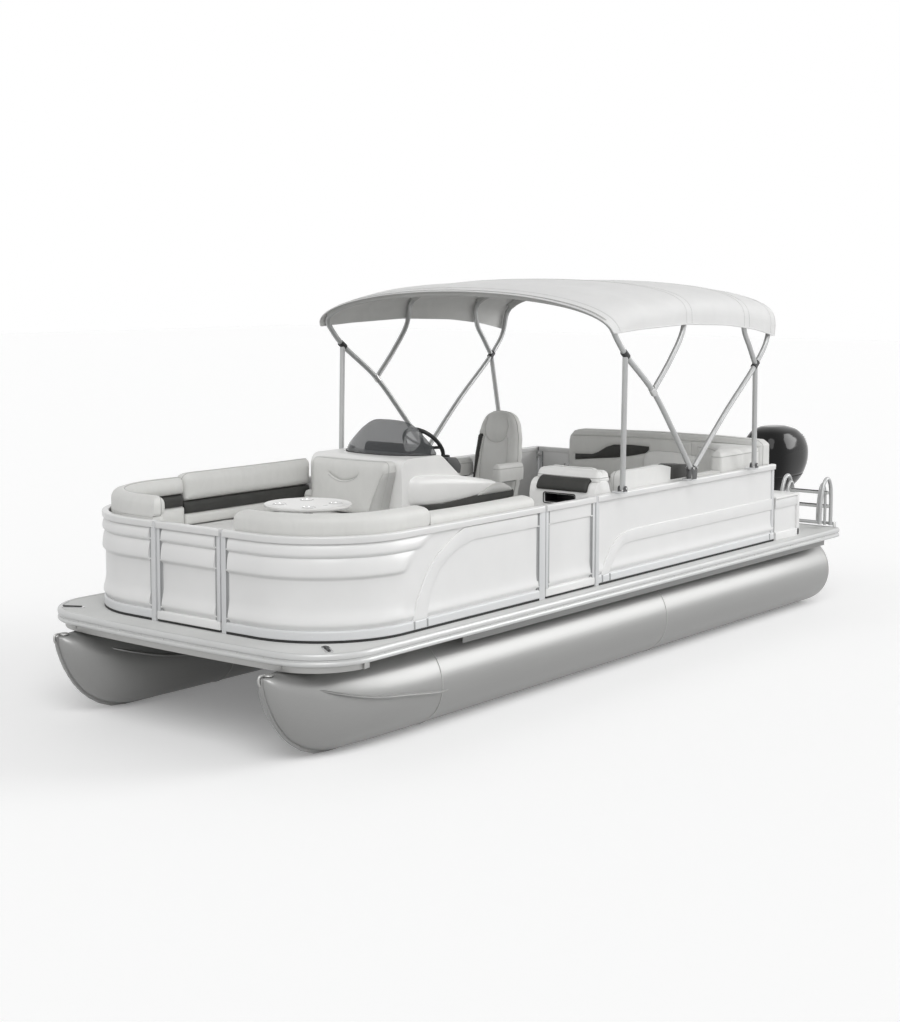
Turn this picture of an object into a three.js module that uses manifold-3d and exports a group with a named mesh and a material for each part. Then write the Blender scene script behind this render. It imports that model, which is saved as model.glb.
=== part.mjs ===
// Pontoon boat: two round tubes, a railed deck, lounges, a helm, a bimini top and an outboard motor.
//
// Millimetres. +X is forward, +Y is port and +Z is up. Stations are measured from the front edge of
// the deck, so they run negative towards the stern, and MIDSHIP moves the whole boat to its centre.
// z = 0 is the underside of the keels, where the boat stands.

import * as THREE from "three";
import { mergeVertices } from "three/addons/utils/BufferGeometryUtils.js";
import Module from "manifold-3d";

const wasm = await Module();
wasm.setup();

// ---------------------------------------------------------------------------------------------
// Driving dimensions
// ---------------------------------------------------------------------------------------------

const MIDSHIP = 3990;            // distance from the deck's front edge back to the boat's middle
const BEAM = 2590;               // width of the deck over its edge rail
const DECK_LENGTH = 6620;
const DECK_TOP = 675;
const DECK_PANEL = 26;           // thickness of the deck boards
const DECK_CORNER = 430;         // radius of the bow corners
const BOW_CROWN = 50;            // how far the middle of the bow stands ahead of its corners

const TUBE_RADIUS = 287;
const KEEL = 10;                 // depth of the keel strip under each tube
const TUBE_AXIS = TUBE_RADIUS + KEEL;
const TUBE_OFFSET = 905;         // half the distance between the tubes
const NOSE_SEAM = -1225;         // where the nose cone is welded to the tube
const TUBE_STERN = -DECK_LENGTH + 2;

const FENCE_HALF = 1190;         // from the centreline to the face of the rails
const FENCE_FRONT = -207;
const FENCE_CORNER = 640;
const FENCE_CROWN = 30;
const FENCE_BOTTOM = 690;
const FENCE_TOP = 1308;
const FENCE_INNER = 38;          // how far the rails reach in from their face
const POST = 38;
const FENCE_END = -5570;         // aft end of the tall fence

const PORT_GATE_FRONT = -2308;   // centres of the posts beside the port gate
const PORT_GATE_AFT = -2960;
const BOW_GATE_HALF = 312;       // centres of the posts beside the bow gate
const GATE_GAP = 14;             // slot between a gate and its posts
const HINGE_OUT = 10.5;          // from a gate's hinge line to the post beside it
const HINGE_IN = 6;              // and to the inner face of the fence

const SEAT_BASE_TOP = 985;
const SEAT_TOP = 1100;
const SEAT_CLEAR = 11;           // from the inner face of the fences to the seats
const SEAT_HALF = FENCE_HALF - FENCE_INNER - SEAT_CLEAR;
const SEAT_REST = 0.3;           // slack under a backrest that stands on its cushion

const HELM_Y = -620;
const CHAIR = { x: -3990, y: -668 };
const ENGINE_Y = 100;
const TRANSOM_FACE = -DECK_LENGTH - 440;
const TRANSOM_TOP = 705;

const LADDER = { x: -DECK_LENGTH - 16, y: BEAM / 2 - 285, z: DECK_TOP + 15, half: 205 };

const BIMINI_TUBE = 20;          // radius of the bimini's tubes
const BIMINI_FOOT_Y = FENCE_HALF + 45; // the tubes stand just outboard of the top rails
const CANOPY_HALF = 1325;
const CANOPY_SHEET = 8;
const MAIN_MOUNT = -4160;        // station of the mounts that carry the two main bows
const REAR_FOOT = -5125;         // stations of the struts' feet
const PORT_FRONT_FOOT = -3200;
const STARBOARD_FRONT_FOOT = -2996;
// The frame stands a little out of square: how much further forward its starboard legs are at
// the rail, and the front edge of the canopy's starboard side.
const STARBOARD_LEAD = 110;
const CANOPY_SKEW = 60;

// ---------------------------------------------------------------------------------------------
// Materials
// ---------------------------------------------------------------------------------------------

const material = (color, roughness, metalness, extra = {}) =>
  new THREE.MeshStandardMaterial({ color, roughness, metalness, ...extra });

const MATERIALS = {
  tubeAluminium: material(0xb4b5b2, 0.38, 0.9),
  frameAluminium: material(0xa9aaa7, 0.5, 0.8),
  railAluminium: material(0xd4d5d3, 0.35, 0.6),
  panelWhite: material(0xe9e9e8, 0.3, 0.1),
  deckGrey: material(0xc9cbca, 0.75, 0.0),
  shellWhite: material(0xecebe8, 0.35, 0.0),
  vinylGrey: material(0xcfcfcb, 0.6, 0.0),
  tableWhite: material(0xf0efec, 0.3, 0.0),
  smoked: material(0x2a2c2d, 0.1, 0.0, { transparent: true, opacity: 0.6 }),
  wheelBlack: material(0x17181a, 0.45, 0.0),
  bowAluminium: material(0xc4c6c6, 0.3, 0.85),
  canvasWhite: material(0xe8e8e8, 0.8, 0.0),
  engineBlack: material(0x101112, 0.18, 0.0),
  engineGrey: material(0x2b2d2f, 0.4, 0.2),
  propeller: material(0x55585a, 0.3, 0.8),
};

// ---------------------------------------------------------------------------------------------
// Solids
// ---------------------------------------------------------------------------------------------

/** The geometry as a closed solid with its faces turned outward. */
function solid(geometry) {
  const bare = new THREE.BufferGeometry();
  bare.setAttribute("position", geometry.getAttribute("position").clone());
  if (geometry.index) {
    bare.setIndex(geometry.index.clone());
  }
  const merged = mergeVertices(bare, 1e-3);
  const vertices = new Float32Array(merged.getAttribute("position").array);
  const faces = [];
  const index = merged.index.array;
  for (let i = 0; i < index.length; i += 3) {
    const [a, b, c] = [index[i], index[i + 1], index[i + 2]];
    if (a !== b && b !== c && a !== c) {
      faces.push(a, b, c);
    }
  }
  if (signedVolume(vertices, faces) < 0) {
    for (let i = 0; i < faces.length; i += 3) {
      [faces[i + 1], faces[i + 2]] = [faces[i + 2], faces[i + 1]];
    }
  }
  const triVerts = new Uint32Array(faces);
  return new wasm.Manifold(new wasm.Mesh({ numProp: 3, vertProperties: vertices, triVerts }));
}

function signedVolume(vertices, faces) {
  const [a, b, c] = [new THREE.Vector3(), new THREE.Vector3(), new THREE.Vector3()];
  let volume = 0;
  for (let i = 0; i < faces.length; i += 3) {
    a.fromArray(vertices, faces[i] * 3);
    b.fromArray(vertices, faces[i + 1] * 3);
    c.fromArray(vertices, faces[i + 2] * 3);
    volume += a.dot(b.cross(c)) / 6;
  }
  return volume;
}

/** Geometries joined into one. */
function join(...geometries) {
  return geometryOf(geometries.map(solid).reduce((whole, piece) => whole.add(piece)));
}

/** The first geometry with the others cut away, less any loose sliver that the cut leaves. */
function cut(body, ...tools) {
  const left = tools.map(solid).reduce((rest, tool) => rest.subtract(tool), solid(body));
  const pieces = left.decompose().sort((a, b) => b.volume() - a.volume());
  return geometryOf(pieces[0]);
}

function geometryOf(body) {
  const mesh = body.getMesh();
  const geometry = new THREE.BufferGeometry();
  geometry.setAttribute("position", new THREE.BufferAttribute(new Float32Array(mesh.vertProperties), 3));
  geometry.setIndex(new THREE.BufferAttribute(new Uint32Array(mesh.triVerts), 1));
  return geometry;
}

/** The geometry mirrored across the centreline. */
function mirrored(geometry) {
  return geometry.clone().applyMatrix4(new THREE.Matrix4().makeScale(1, -1, 1));
}

// ---------------------------------------------------------------------------------------------
// Shapes
// ---------------------------------------------------------------------------------------------

/** A box between two corners. */
function box(x0, x1, y0, y1, z0, z1) {
  const geometry = new THREE.BoxGeometry(Math.abs(x1 - x0), Math.abs(y1 - y0), Math.abs(z1 - z0));
  return geometry.translate((x0 + x1) / 2, (y0 + y1) / 2, (z0 + z1) / 2);
}

/** A cylinder between two points. */
function rod(from, to, radius, sides = 12, endRadius = radius) {
  const a = new THREE.Vector3(...from);
  const b = new THREE.Vector3(...to);
  const geometry = new THREE.CylinderGeometry(endRadius, radius, a.distanceTo(b), sides);
  const turn = new THREE.Quaternion();
  turn.setFromUnitVectors(new THREE.Vector3(0, 1, 0), b.clone().sub(a).normalize());
  geometry.applyQuaternion(turn);
  return geometry.translate((a.x + b.x) / 2, (a.y + b.y) / 2, (a.z + b.z) / 2);
}

/** A tube with a round section along a curve through the given points. */
function pipe(points, radius, steps, sides = 8) {
  const path = new THREE.CatmullRomCurve3(points.map((p) => new THREE.Vector3(...p)), false, "centripetal");
  const section = new THREE.Shape();
  for (let i = 0; i < sides; i += 1) {
    const angle = ((i + 0.5) / sides) * Math.PI * 2;
    const at = [radius * Math.cos(angle), radius * Math.sin(angle)];
    if (i === 0) {
      section.moveTo(...at);
    } else {
      section.lineTo(...at);
    }
  }
  return new THREE.ExtrudeGeometry(section, { steps, extrudePath: path, curveSegments: 1 });
}

const shapeOf = (points) => new THREE.Shape(points.map(([u, v]) => new THREE.Vector2(u, v)));

/** A plan outline (x, y) raised from z0 to z1, its edges rounded by bevel. */
function slab(points, z0, z1, bevel = 0, segments = 2) {
  const geometry = new THREE.ExtrudeGeometry(shapeOf(points), {
    depth: z1 - z0 - 2 * bevel,
    bevelEnabled: bevel > 0,
    bevelSize: bevel,
    bevelOffset: -bevel,
    bevelThickness: bevel,
    bevelSegments: segments,
    curveSegments: 4,
  });
  return geometry.translate(0, 0, z0 + bevel);
}

/** A side profile (x, z) carried across from y0 to y1. */
function sideProfile(points, y0, y1, bevel = 0, segments = 2) {
  const geometry = slab(points, 0, y1 - y0, bevel, segments);
  geometry.rotateX(Math.PI / 2);
  return geometry.translate(0, y1, 0);
}

/** A front profile (y, z) carried aft to forward from x0 to x1. */
function frontProfile(points, x0, x1, bevel = 0, segments = 2) {
  const geometry = slab(points, 0, x1 - x0, bevel, segments);
  const basis = new THREE.Matrix4().makeBasis(
    new THREE.Vector3(0, 1, 0),
    new THREE.Vector3(0, 0, 1),
    new THREE.Vector3(1, 0, 0),
  );
  geometry.applyMatrix4(basis);
  return geometry.translate(x0, 0, 0);
}

/** A skin through rings of matching points, closed at both ends. */
function loft(rings, capAxes) {
  const count = rings[0].length;
  const positions = rings.flat().flat();
  const index = [];
  for (let r = 0; r + 1 < rings.length; r += 1) {
    for (let i = 0; i < count; i += 1) {
      const j = (i + 1) % count;
      const [a, b, c, d] = [r * count + i, r * count + j, (r + 1) * count + j, (r + 1) * count + i];
      index.push(a, b, c, a, c, d);
    }
  }
  const cap = (ring, offset, flip) => {
    const [u, v] = capAxes(ring);
    const outline = ring.map((p) => new THREE.Vector2(u(p), v(p)));
    const turned = THREE.ShapeUtils.isClockWise(outline);
    for (const [a, b, c] of THREE.ShapeUtils.triangulateShape(outline, [])) {
      const order = flip !== turned ? [c, b, a] : [a, b, c];
      index.push(...order.map((k) => k + offset));
    }
  };
  cap(rings[0], 0, true);
  cap(rings[rings.length - 1], (rings.length - 1) * count, false);
  const geometry = new THREE.BufferGeometry();
  geometry.setAttribute("position", new THREE.BufferAttribute(new Float32Array(positions), 3));
  geometry.setIndex(index);
  return consistent(geometry, rings);
}

/** Turns the end caps to agree with the sides, whichever way the rings run. */
function consistent(geometry, rings) {
  const index = Array.from(geometry.index.array);
  const count = rings[0].length;
  const sides = (rings.length - 1) * count * 2;
  const directed = new Set();
  for (let t = 0; t < sides; t += 1) {
    const [a, b, c] = index.slice(t * 3, t * 3 + 3);
    directed.add(`${a},${b}`).add(`${b},${c}`).add(`${c},${a}`);
  }
  for (let t = sides; t < index.length / 3; t += 1) {
    const [a, b, c] = index.slice(t * 3, t * 3 + 3);
    const clash = [[a, b], [b, c], [c, a]].some(([p, q]) => directed.has(`${p},${q}`));
    if (clash) {
      index[t * 3 + 1] = c;
      index[t * 3 + 2] = b;
    }
  }
  geometry.setIndex(index);
  return geometry;
}

/** An upright profile (outward offset, z) swept along a plan path, with outward on its right. */
function sweep(path, profile) {
  const rings = path.map(([x, y], i) => {
    const before = path[Math.max(i - 1, 0)];
    const after = path[Math.min(i + 1, path.length - 1)];
    const into = unit(x - before[0], y - before[1]);
    const out = unit(after[0] - x, after[1] - y);
    const a = i === 0 ? out : into;
    const b = i === path.length - 1 ? into : out;
    const along = unit(a[0] + b[0], a[1] + b[1]);
    const stretch = 1 / Math.max(along[0] * a[0] + along[1] * a[1], 0.5);
    const normal = [along[1] * stretch, -along[0] * stretch];
    return profile.map(([o, z]) => [x + normal[0] * o, y + normal[1] * o, z]);
  });
  return loft(rings, (ring) => {
    const [p, q] = [ring[0], ring[Math.floor(ring.length / 2)]];
    const acrossX = Math.abs(p[0] - q[0]) > Math.abs(p[1] - q[1]);
    return [(r) => (acrossX ? r[0] : r[1]), (r) => r[2]];
  });
}

const unit = (x, y) => {
  const length = Math.hypot(x, y);
  return length > 0 ? [x / length, y / length] : [0, 0];
};

/** The port half of a bow outline, from the centreline round the corner to a station aft. */
function bowPath({ half, front, corner, crown, from = 0, to, arcSteps = 9 }) {
  const flat = half - corner;
  const face = (y) => front - crown * (y / half) ** 2;
  const points = [];
  const across = [from, (from + flat) / 2, flat].filter((y, i, all) => i === 0 || y > all[i - 1]);
  across.forEach((y) => points.push([face(y), y]));
  const shoulder = face(flat);
  for (let i = 1; i <= arcSteps; i += 1) {
    const angle = (i / arcSteps) * (Math.PI / 2);
    points.push([shoulder - corner + corner * Math.cos(angle), flat + corner * Math.sin(angle)]);
  }
  points.push([to, half]);
  return points;
}

/** The bow path and its mirror image as one closed outline. */
function wholeOutline(portHalf) {
  const starboard = portHalf.filter(([, y]) => y > 0).map(([x, y]) => [x, -y]).reverse();
  return [...portHalf, ...starboard];
}

// ---------------------------------------------------------------------------------------------
// Tubes and frame
// ---------------------------------------------------------------------------------------------

// Sections of the nose cone: station, half width, height of the widest line, top and bottom.
const NOSE_SECTIONS = [
  { x: NOSE_SEAM, half: 287, waist: 297, top: 584, bottom: 10 },
  { x: -900, half: 284, waist: 300, top: 584, bottom: 10 },
  { x: -620, half: 266, waist: 312, top: 583, bottom: 12 },
  { x: -400, half: 234, waist: 340, top: 576, bottom: 24 },
  { x: -220, half: 190, waist: 380, top: 560, bottom: 86 },
  { x: -90, half: 140, waist: 425, top: 550, bottom: 186 },
  { x: 0, half: 92, waist: 462, top: 547, bottom: 310 },
  { x: 55, half: 46, waist: 500, top: 545, bottom: 430 },
];

/** One tube with its nose cone, keel and spray strakes, centred on y = 0. */
function pontoon() {
  const sides = 28;
  const ring = (x, half, waist, top, bottom) => {
    const points = [];
    for (let i = 0; i < sides; i += 1) {
      const angle = (i / sides) * Math.PI * 2;
      const rise = Math.sin(angle);
      points.push([x, half * Math.cos(angle), waist + rise * (rise > 0 ? top - waist : waist - bottom)]);
    }
    return points;
  };
  const stern = [ring(TUBE_STERN, 267, 297, 564, 30), ring(TUBE_STERN + 22, 287, 297, 584, 10)];
  const nose = NOSE_SECTIONS.map((s) => ring(s.x, s.half, s.waist, s.top, s.bottom));
  const hull = loft([...stern, ...nose], () => [(p) => p[1], (p) => p[2]]);

  const keelLine = [[TUBE_STERN + 40, 40], [TUBE_STERN + 40, 0], [-470, 0], [-350, 11], [-255, 46],
    [-175, 95],
    [-110, 148], [-55, 208], [-10, 272], [25, 342], [55, 410], [82, 478], [88, 540], [50, 540], [0, 400],
    [-90, 240], [-250, 110], [-650, 60]];
  const keel = sideProfile(keelLine, -11, 11);
  const eye = new THREE.SphereGeometry(27, 14, 10).translate(70, 0, 528);

  // The spray strakes climb along the nose cone on both sides.
  const strake = (side) => {
    const rings = [[-1215, 262, 300, 262], [-900, 275, 296, 305], [-560, 250, 280, 352],
      [-270, 178, 215, 428]];
    return loft(rings.map(([x, inner, outer, z]) => [
      [x, side * inner, z - 16], [x, side * outer, z - 4], [x, side * outer, z + 4],
      [x, side * inner, z + 16],
    ]), () => [(p) => p[1], (p) => p[2]]);
  };
  // The lifting brackets along the top carry the deck's crossmembers.
  return join(hull, keel, eye, strake(1), strake(-1));
}

const CROSSMEMBER_STEP = 405;

/** Crossmembers, risers over each tube, side skirts and the bow fascia, as one welded frame. */
function underFrame() {
  const pieces = [];
  const top = DECK_TOP - DECK_PANEL - 0.4;
  const bottom = 598;
  for (let x = -330; x > -DECK_LENGTH + 60; x -= CROSSMEMBER_STEP) {
    const channel = [[x, bottom], [x + 40, bottom], [x + 40, bottom + 6], [x + 6, bottom + 6],
      [x + 6, top - 6], [x + 40, top - 6], [x + 40, top], [x, top]];
    pieces.push(sideProfile(channel, -1225, 1225));
  }
  for (const side of [1, -1]) {
    const y = side * TUBE_OFFSET;
    const legs = [[y - 58, 578.1], [y - 58, 604], [y + 58, 604], [y + 58, 578.1], [y + 52, 578.7],
      [y + 52, 597],
      [y - 52, 597], [y - 52, 578.7]];
    pieces.push(frontProfile(legs, TUBE_STERN + 78, -330));
    const skirt = [[side * 1163, 522], [side * 1168, 522], [side * 1168, 602], [side * 1222, 602],
      [side * 1222, 607], [side * 1163, 607]];
    pieces.push(frontProfile(skirt, TUBE_STERN + 78, -1460));
  }
  // The bow fascia hangs under the deck's front edge and ties into the first crossmember.
  const path = bowPath({ half: BEAM / 2 - 52, front: -40, corner: DECK_CORNER - 40, crown: BOW_CROWN,
    to: -420 });
  const whole = [...path.filter(([, y]) => y > 0).map(([x, y]) => [x, -y]).reverse(), ...path];
  pieces.push(sweep(whole, [[0, 556], [0, 603], [-12, 603], [-12, 556]]));
  for (const y of [-905, 0, 905]) {
    pieces.push(box(-340, y ? -60 : -46, y - 22, y + 22, 574, 603));
    pieces.push(box(-340, -300, y - 22, y + 22, 574, 640));
  }
  return join(...pieces);
}

// ---------------------------------------------------------------------------------------------
// Deck
// ---------------------------------------------------------------------------------------------

const deckOutline = (inset) => {
  const path = bowPath({
    half: BEAM / 2 - inset,
    front: -inset,
    corner: DECK_CORNER - inset,
    crown: BOW_CROWN,
    to: -DECK_LENGTH + 60,
    arcSteps: 10,
  });
  path.push([-DECK_LENGTH + 18 + inset, BEAM / 2 - 18 - inset]);
  path.push([-DECK_LENGTH + inset, BEAM / 2 - 60]);
  return wholeOutline(path);
};

/** The deck's edge rail: two ridges with a groove between them, round the whole deck. */
function deckRail() {
  // Ridges of the rail: inset of the outer face, bottom and top.
  const bands = [[0, 606, 628], [9, 627, 641], [0, 640, 677]];
  const pieces = bands.map(([inset, z0, z1]) => slab(deckOutline(inset), z0, z1, inset ? 0 : 4, 1));
  const ring = cut(join(...pieces), slab(deckOutline(30), 580, 700));
  const ears = [-LADDER.half - 14, LADDER.half + 0.5].map((y) => (
    box(LADDER.x - 4, LADDER.x + 40, LADDER.y + y, LADDER.y + y + 13.5, 650, LADDER.z + 28)));
  return join(ring, ...ears);
}

const deckPanel = () => slab(deckOutline(30.5), DECK_TOP - DECK_PANEL, DECK_TOP);

// ---------------------------------------------------------------------------------------------
// Fences and gates
// ---------------------------------------------------------------------------------------------

const RAIL_TOP_PROFILE = [[4, 1266], [8, 1274], [8, 1300], [0, FENCE_TOP], [-32, FENCE_TOP],
  [-FENCE_INNER, 1300], [-FENCE_INNER, 1268], [-30, 1264]];
const RAIL_FOOT_PROFILE = [[-30, 742], [-FENCE_INNER, 736], [-FENCE_INNER, FENCE_BOTTOM], [0, FENCE_BOTTOM],
  [0, 730], [-14, 750]];
// The bow panels bulge twice below the top rail.
const BULGED_PANEL = [[-14, 1048], [-2, 1062], [9, 1092], [10, 1128], [2, 1164], [-11, 1184], [-1, 1198],
  [8, 1222], [6, 1248], [-8, 1262]];
const FLAT_PANEL = [[-14, 1262]];

const fenceProfile = (panel) => [...RAIL_FOOT_PROFILE, ...panel, ...RAIL_TOP_PROFILE];

const post = (x, y) => box(x - POST / 2, x + POST / 2, y - POST / 2, y + POST / 2, DECK_TOP + 0.4,
  FENCE_TOP - 2);

/** A raised band that climbs from the foot rail and runs aft along the panel. */
function archBand({ footFront, footAft, top, bottom, reach, end }) {
  const outer = new THREE.EllipseCurve(footFront - reach, 745, reach, top - 745, 0, Math.PI / 2);
  const inner = new THREE.EllipseCurve(footAft - reach + 30, 745, reach - 30, bottom - 745, 0, Math.PI / 2);
  const up = outer.getPoints(9).map((p) => [p.x, p.y]);
  const down = inner.getPoints(9).reverse().map((p) => [p.x, p.y]);
  const points = [...up, [end, top], [end, bottom], ...down];
  return sideProfile(points, FENCE_HALF - 17, FENCE_HALF - 5);
}

const FENCE_LINE = { half: FENCE_HALF, front: FENCE_FRONT, corner: FENCE_CORNER, crown: FENCE_CROWN };
const BAND_FRONT = { footFront: -985, footAft: -1090, top: 1254, bottom: 1168, reach: 560, end: -2290 };
const BAND_AFT = { footFront: -3050, footAft: -3150, top: 1006, bottom: 924, reach: 400,
  end: FENCE_END + 2 };

/** A bracket for a bimini tube: it stands on the port top rail and reaches outboard to the tube. */
function railMount(x, main = false) {
  const y = BIMINI_FOOT_Y;
  const bridge = box(x - 34, x + 34, FENCE_HALF - 26, y + 27, FENCE_TOP - 4, FENCE_TOP + 12);
  if (main) {
    return join(bridge, box(x - 54, x + 54, y - 17, y + 17, FENCE_TOP, 1430));
  }
  const cheeks = [-27, 21].map((d) => box(x - 24, x + 24, y + d, y + d + 6, FENCE_TOP + 2, FENCE_TOP + 44));
  return join(bridge, ...cheeks);
}

/** The port side's forward fence, from the bow gate round the corner to the side gate or beyond. */
function bowFence(end) {
  const path = bowPath({ ...FENCE_LINE, from: BOW_GATE_HALF, to: -975, arcSteps: 10 });
  const gatePost = post(FENCE_FRONT - POST / 2 - 2, BOW_GATE_HALF);
  const aftPost = post(end, FENCE_HALF - POST / 2);
  const bulged = sweep(path, fenceProfile(BULGED_PANEL));
  const flat = sweep([[-973, FENCE_HALF], [end, FENCE_HALF]], fenceProfile(FLAT_PANEL));
  const cornerFoot = box(-560, -522, 1078, 1116, DECK_TOP + 0.4, 700);
  const midFoot = box(-1700, -1660, FENCE_HALF - POST, FENCE_HALF - 2, DECK_TOP + 0.4, 700);
  const band = archBand({ ...BAND_FRONT, end: end + 4 });
  return join(bulged, flat, gatePost, aftPost, cornerFoot, midFoot, band);
}

/**
 * A straight tall fence between two stations on the port side, with the bimini's brackets. The
 * starboard one is made here too, and then mirrored, so lead is what its main mount stands ahead by.
 */
function aftFence(front, end, frontFoot, lead = 0) {
  const wall = sweep([[front, FENCE_HALF], [end, FENCE_HALF]], fenceProfile(FLAT_PANEL));
  const posts = [front, end + POST / 2].map((x) => post(x, FENCE_HALF - POST / 2));
  const foot = box(-4300, -4262, FENCE_HALF - POST, FENCE_HALF - 2, DECK_TOP + 0.4, 700);
  const mounts = [railMount(frontFoot), railMount(MAIN_MOUNT + lead, true), railMount(REAR_FOOT)];
  const whole = join(wall, ...posts, foot, archBand(BAND_AFT), ...mounts);
  const room = Object.values(MAIN_BOWS)
    .map((bow) => (lead ? mirrored(bimini(bow, BIMINI_TUBE + 0.5)) : bimini(bow, BIMINI_TUBE + 0.5)));
  return cut(whole, ...room, ...room.map((bow) => bow.clone().translate(0, 0, -1)));
}

const HINGE_HEIGHTS = [772, 1010, 1232];
const KNUCKLE = 14;              // half the height of a gate's own knuckle

/** A gate about its hinge line, which stands at the origin: it reaches along -X and faces +Y. */
function gate(width, panel) {
  const edge = HINGE_OUT - GATE_GAP;
  const leaf = sweep([[edge, HINGE_IN + FENCE_INNER], [edge - width, HINGE_IN + FENCE_INNER]],
    fenceProfile(panel));
  const knuckles = HINGE_HEIGHTS.map((z) => rod([0, 0, z - KNUCKLE], [0, 0, z + KNUCKLE], 5, 10));
  const straps = HINGE_HEIGHTS.map((z) => box(-44, 0, -3, HINGE_IN + 11, z - KNUCKLE, z + KNUCKLE));
  const latch = box(edge - width + 20, edge - width + 90, -4, HINGE_IN + 13, 1140, 1176);
  return join(leaf, ...knuckles, ...straps, latch);
}

/** The post's half of the same hinges: a knuckle above and below each of the gate's own. */
function postKnuckles() {
  const ends = [[-KNUCKLE - 16, -KNUCKLE - 0.5], [KNUCKLE + 0.5, KNUCKLE + 16]];
  return HINGE_HEIGHTS.flatMap((z) => ends.flatMap(([low, high]) => [
    rod([0, 0, z + low], [0, 0, z + high], 5, 10),
    box(0, HINGE_OUT + 4, -3, HINGE_IN + 4, z + low, z + high),
  ])).reduce((all, piece) => join(all, piece));
}

/** Places a piece made about a hinge line: the line's station and offset, and its turn. */
function atHinge(geometry, { x, y, turn }) {
  return geometry.clone().rotateZ(turn).translate(x, y, 0);
}

const HINGES = {
  bow: {
    x: FENCE_FRONT - 2 - FENCE_INNER - HINGE_IN,
    y: BOW_GATE_HALF - POST / 2 - HINGE_OUT,
    turn: Math.PI / 2,
  },
  port: { x: PORT_GATE_FRONT - POST / 2 - HINGE_OUT, y: FENCE_HALF - FENCE_INNER - HINGE_IN, turn: 0 },
  stern: { x: FENCE_END + FENCE_INNER + HINGE_IN, y: -FENCE_HALF + POST + HINGE_OUT, turn: -Math.PI / 2 },
};

const PORT_GATE_WIDTH = PORT_GATE_FRONT - PORT_GATE_AFT - POST - 2 * GATE_GAP;
const STERN_GATE_WIDTH = 364;
const BOW_GATE_WIDTH = 2 * BOW_GATE_HALF - POST - 2 * GATE_GAP;

// ---------------------------------------------------------------------------------------------
// Stern box
// ---------------------------------------------------------------------------------------------

const STERN_BOX_AFT = FENCE_END - 445;
const STERN_BOX_TOP = 1030;
const STERN_BOX_SIDE = -760;     // starboard side of the box, beside the aisle to the stern gate

/** The low cabinet behind the aft lounge, with its lid, side ribs and the wall behind the seats. */
function sternBox() {
  const y0 = STERN_BOX_SIDE;
  const body = slab([[FENCE_END - 36, y0], [FENCE_END - 36, FENCE_HALF - 14],
    [STERN_BOX_AFT + 4, FENCE_HALF - 14],
    [STERN_BOX_AFT + 4, y0]], FENCE_BOTTOM, STERN_BOX_TOP - 16);
  const lid = slab([[FENCE_END - 30, y0 - 6], [FENCE_END - 30, FENCE_HALF + 2],
    [STERN_BOX_AFT - 6, FENCE_HALF + 2],
    [STERN_BOX_AFT - 6, y0 - 6]], STERN_BOX_TOP - 18, STERN_BOX_TOP, 5, 1);
  const band = box(FENCE_END - 32, STERN_BOX_AFT + 8, FENCE_HALF - 16, FENCE_HALF - 5, 924, 1004);
  const plinth = box(FENCE_END - 34, STERN_BOX_AFT, y0, FENCE_HALF, DECK_TOP + 0.4, 735);
  const sternPost = box(STERN_BOX_AFT, STERN_BOX_AFT + 36, FENCE_HALF - 36, FENCE_HALF, DECK_TOP + 0.4,
    STERN_BOX_TOP - 4);
  const wall = box(FENCE_END - 34, FENCE_END - 6, y0, FENCE_HALF - 44, DECK_TOP + 0.4, 1300);
  const bridge = box(FENCE_END - 42, FENCE_END - 20, y0, FENCE_HALF - 44, 700, STERN_BOX_TOP - 20);
  return join(body, lid, band, plinth, sternPost, wall, bridge);
}

// ---------------------------------------------------------------------------------------------
// Seats
// ---------------------------------------------------------------------------------------------

const SEAT_LINE = { half: SEAT_HALF, front: FENCE_FRONT - 50, corner: 600, crown: FENCE_CROWN };

/** Plan of a bow lounge on the port side: the fence line outside, the aisle inside. */
function bowSeatPlan({ inset, end, wing }) {
  const outer = bowPath({ ...SEAT_LINE, from: 350, to: end });
  const aisle = 560 + inset;
  const inner = [[end, aisle], [-1010 - inset, aisle], [-880 - inset, aisle - 50],
    [-800 + inset, aisle - 160],
    [-780 + inset, 350]];
  if (wing) {
    inner.splice(0, 1, [end, wing + inset], [end + 520 - inset, wing + inset], [end + 520 - inset, aisle]);
  }
  return [...outer, ...inner];
}

/** A padded back that follows a path, leaning and rounded at its top. */
function seatBack(path, z0, z1, depth = 120) {
  return sweep(path, [[0, z0], [0, z1 - 46], [-10, z1 - 16], [-36, z1], [-depth + 40, z1],
    [-depth + 14, z1 - 14],
    [-depth, z1 - 44], [-depth - 14, z0 + 40], [-depth - 14, z0]]);
}

function bowBack(end, tallEnd, tall, low) {
  const tallPath = bowPath({ ...SEAT_LINE, half: SEAT_HALF, from: 352, to: tallEnd });
  const lowPath = [[tallEnd + 4, SEAT_HALF], [end, SEAT_HALF]];
  return join(seatBack(tallPath, SEAT_TOP + SEAT_REST, tall),
    seatBack(lowPath, SEAT_TOP + SEAT_REST, low, 112));
}

const AFT_SEAT_END = -744;       // starboard end of the aft lounge

const AFT_SEAT_PLAN = (inset) => [[-3330, 1130], [-3330, 540 + inset], [-4860 - inset, 540 + inset],
  [-4860 - inset, AFT_SEAT_END + inset], [FENCE_END + 4, AFT_SEAT_END + inset], [FENCE_END + 4, 1130]];

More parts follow.
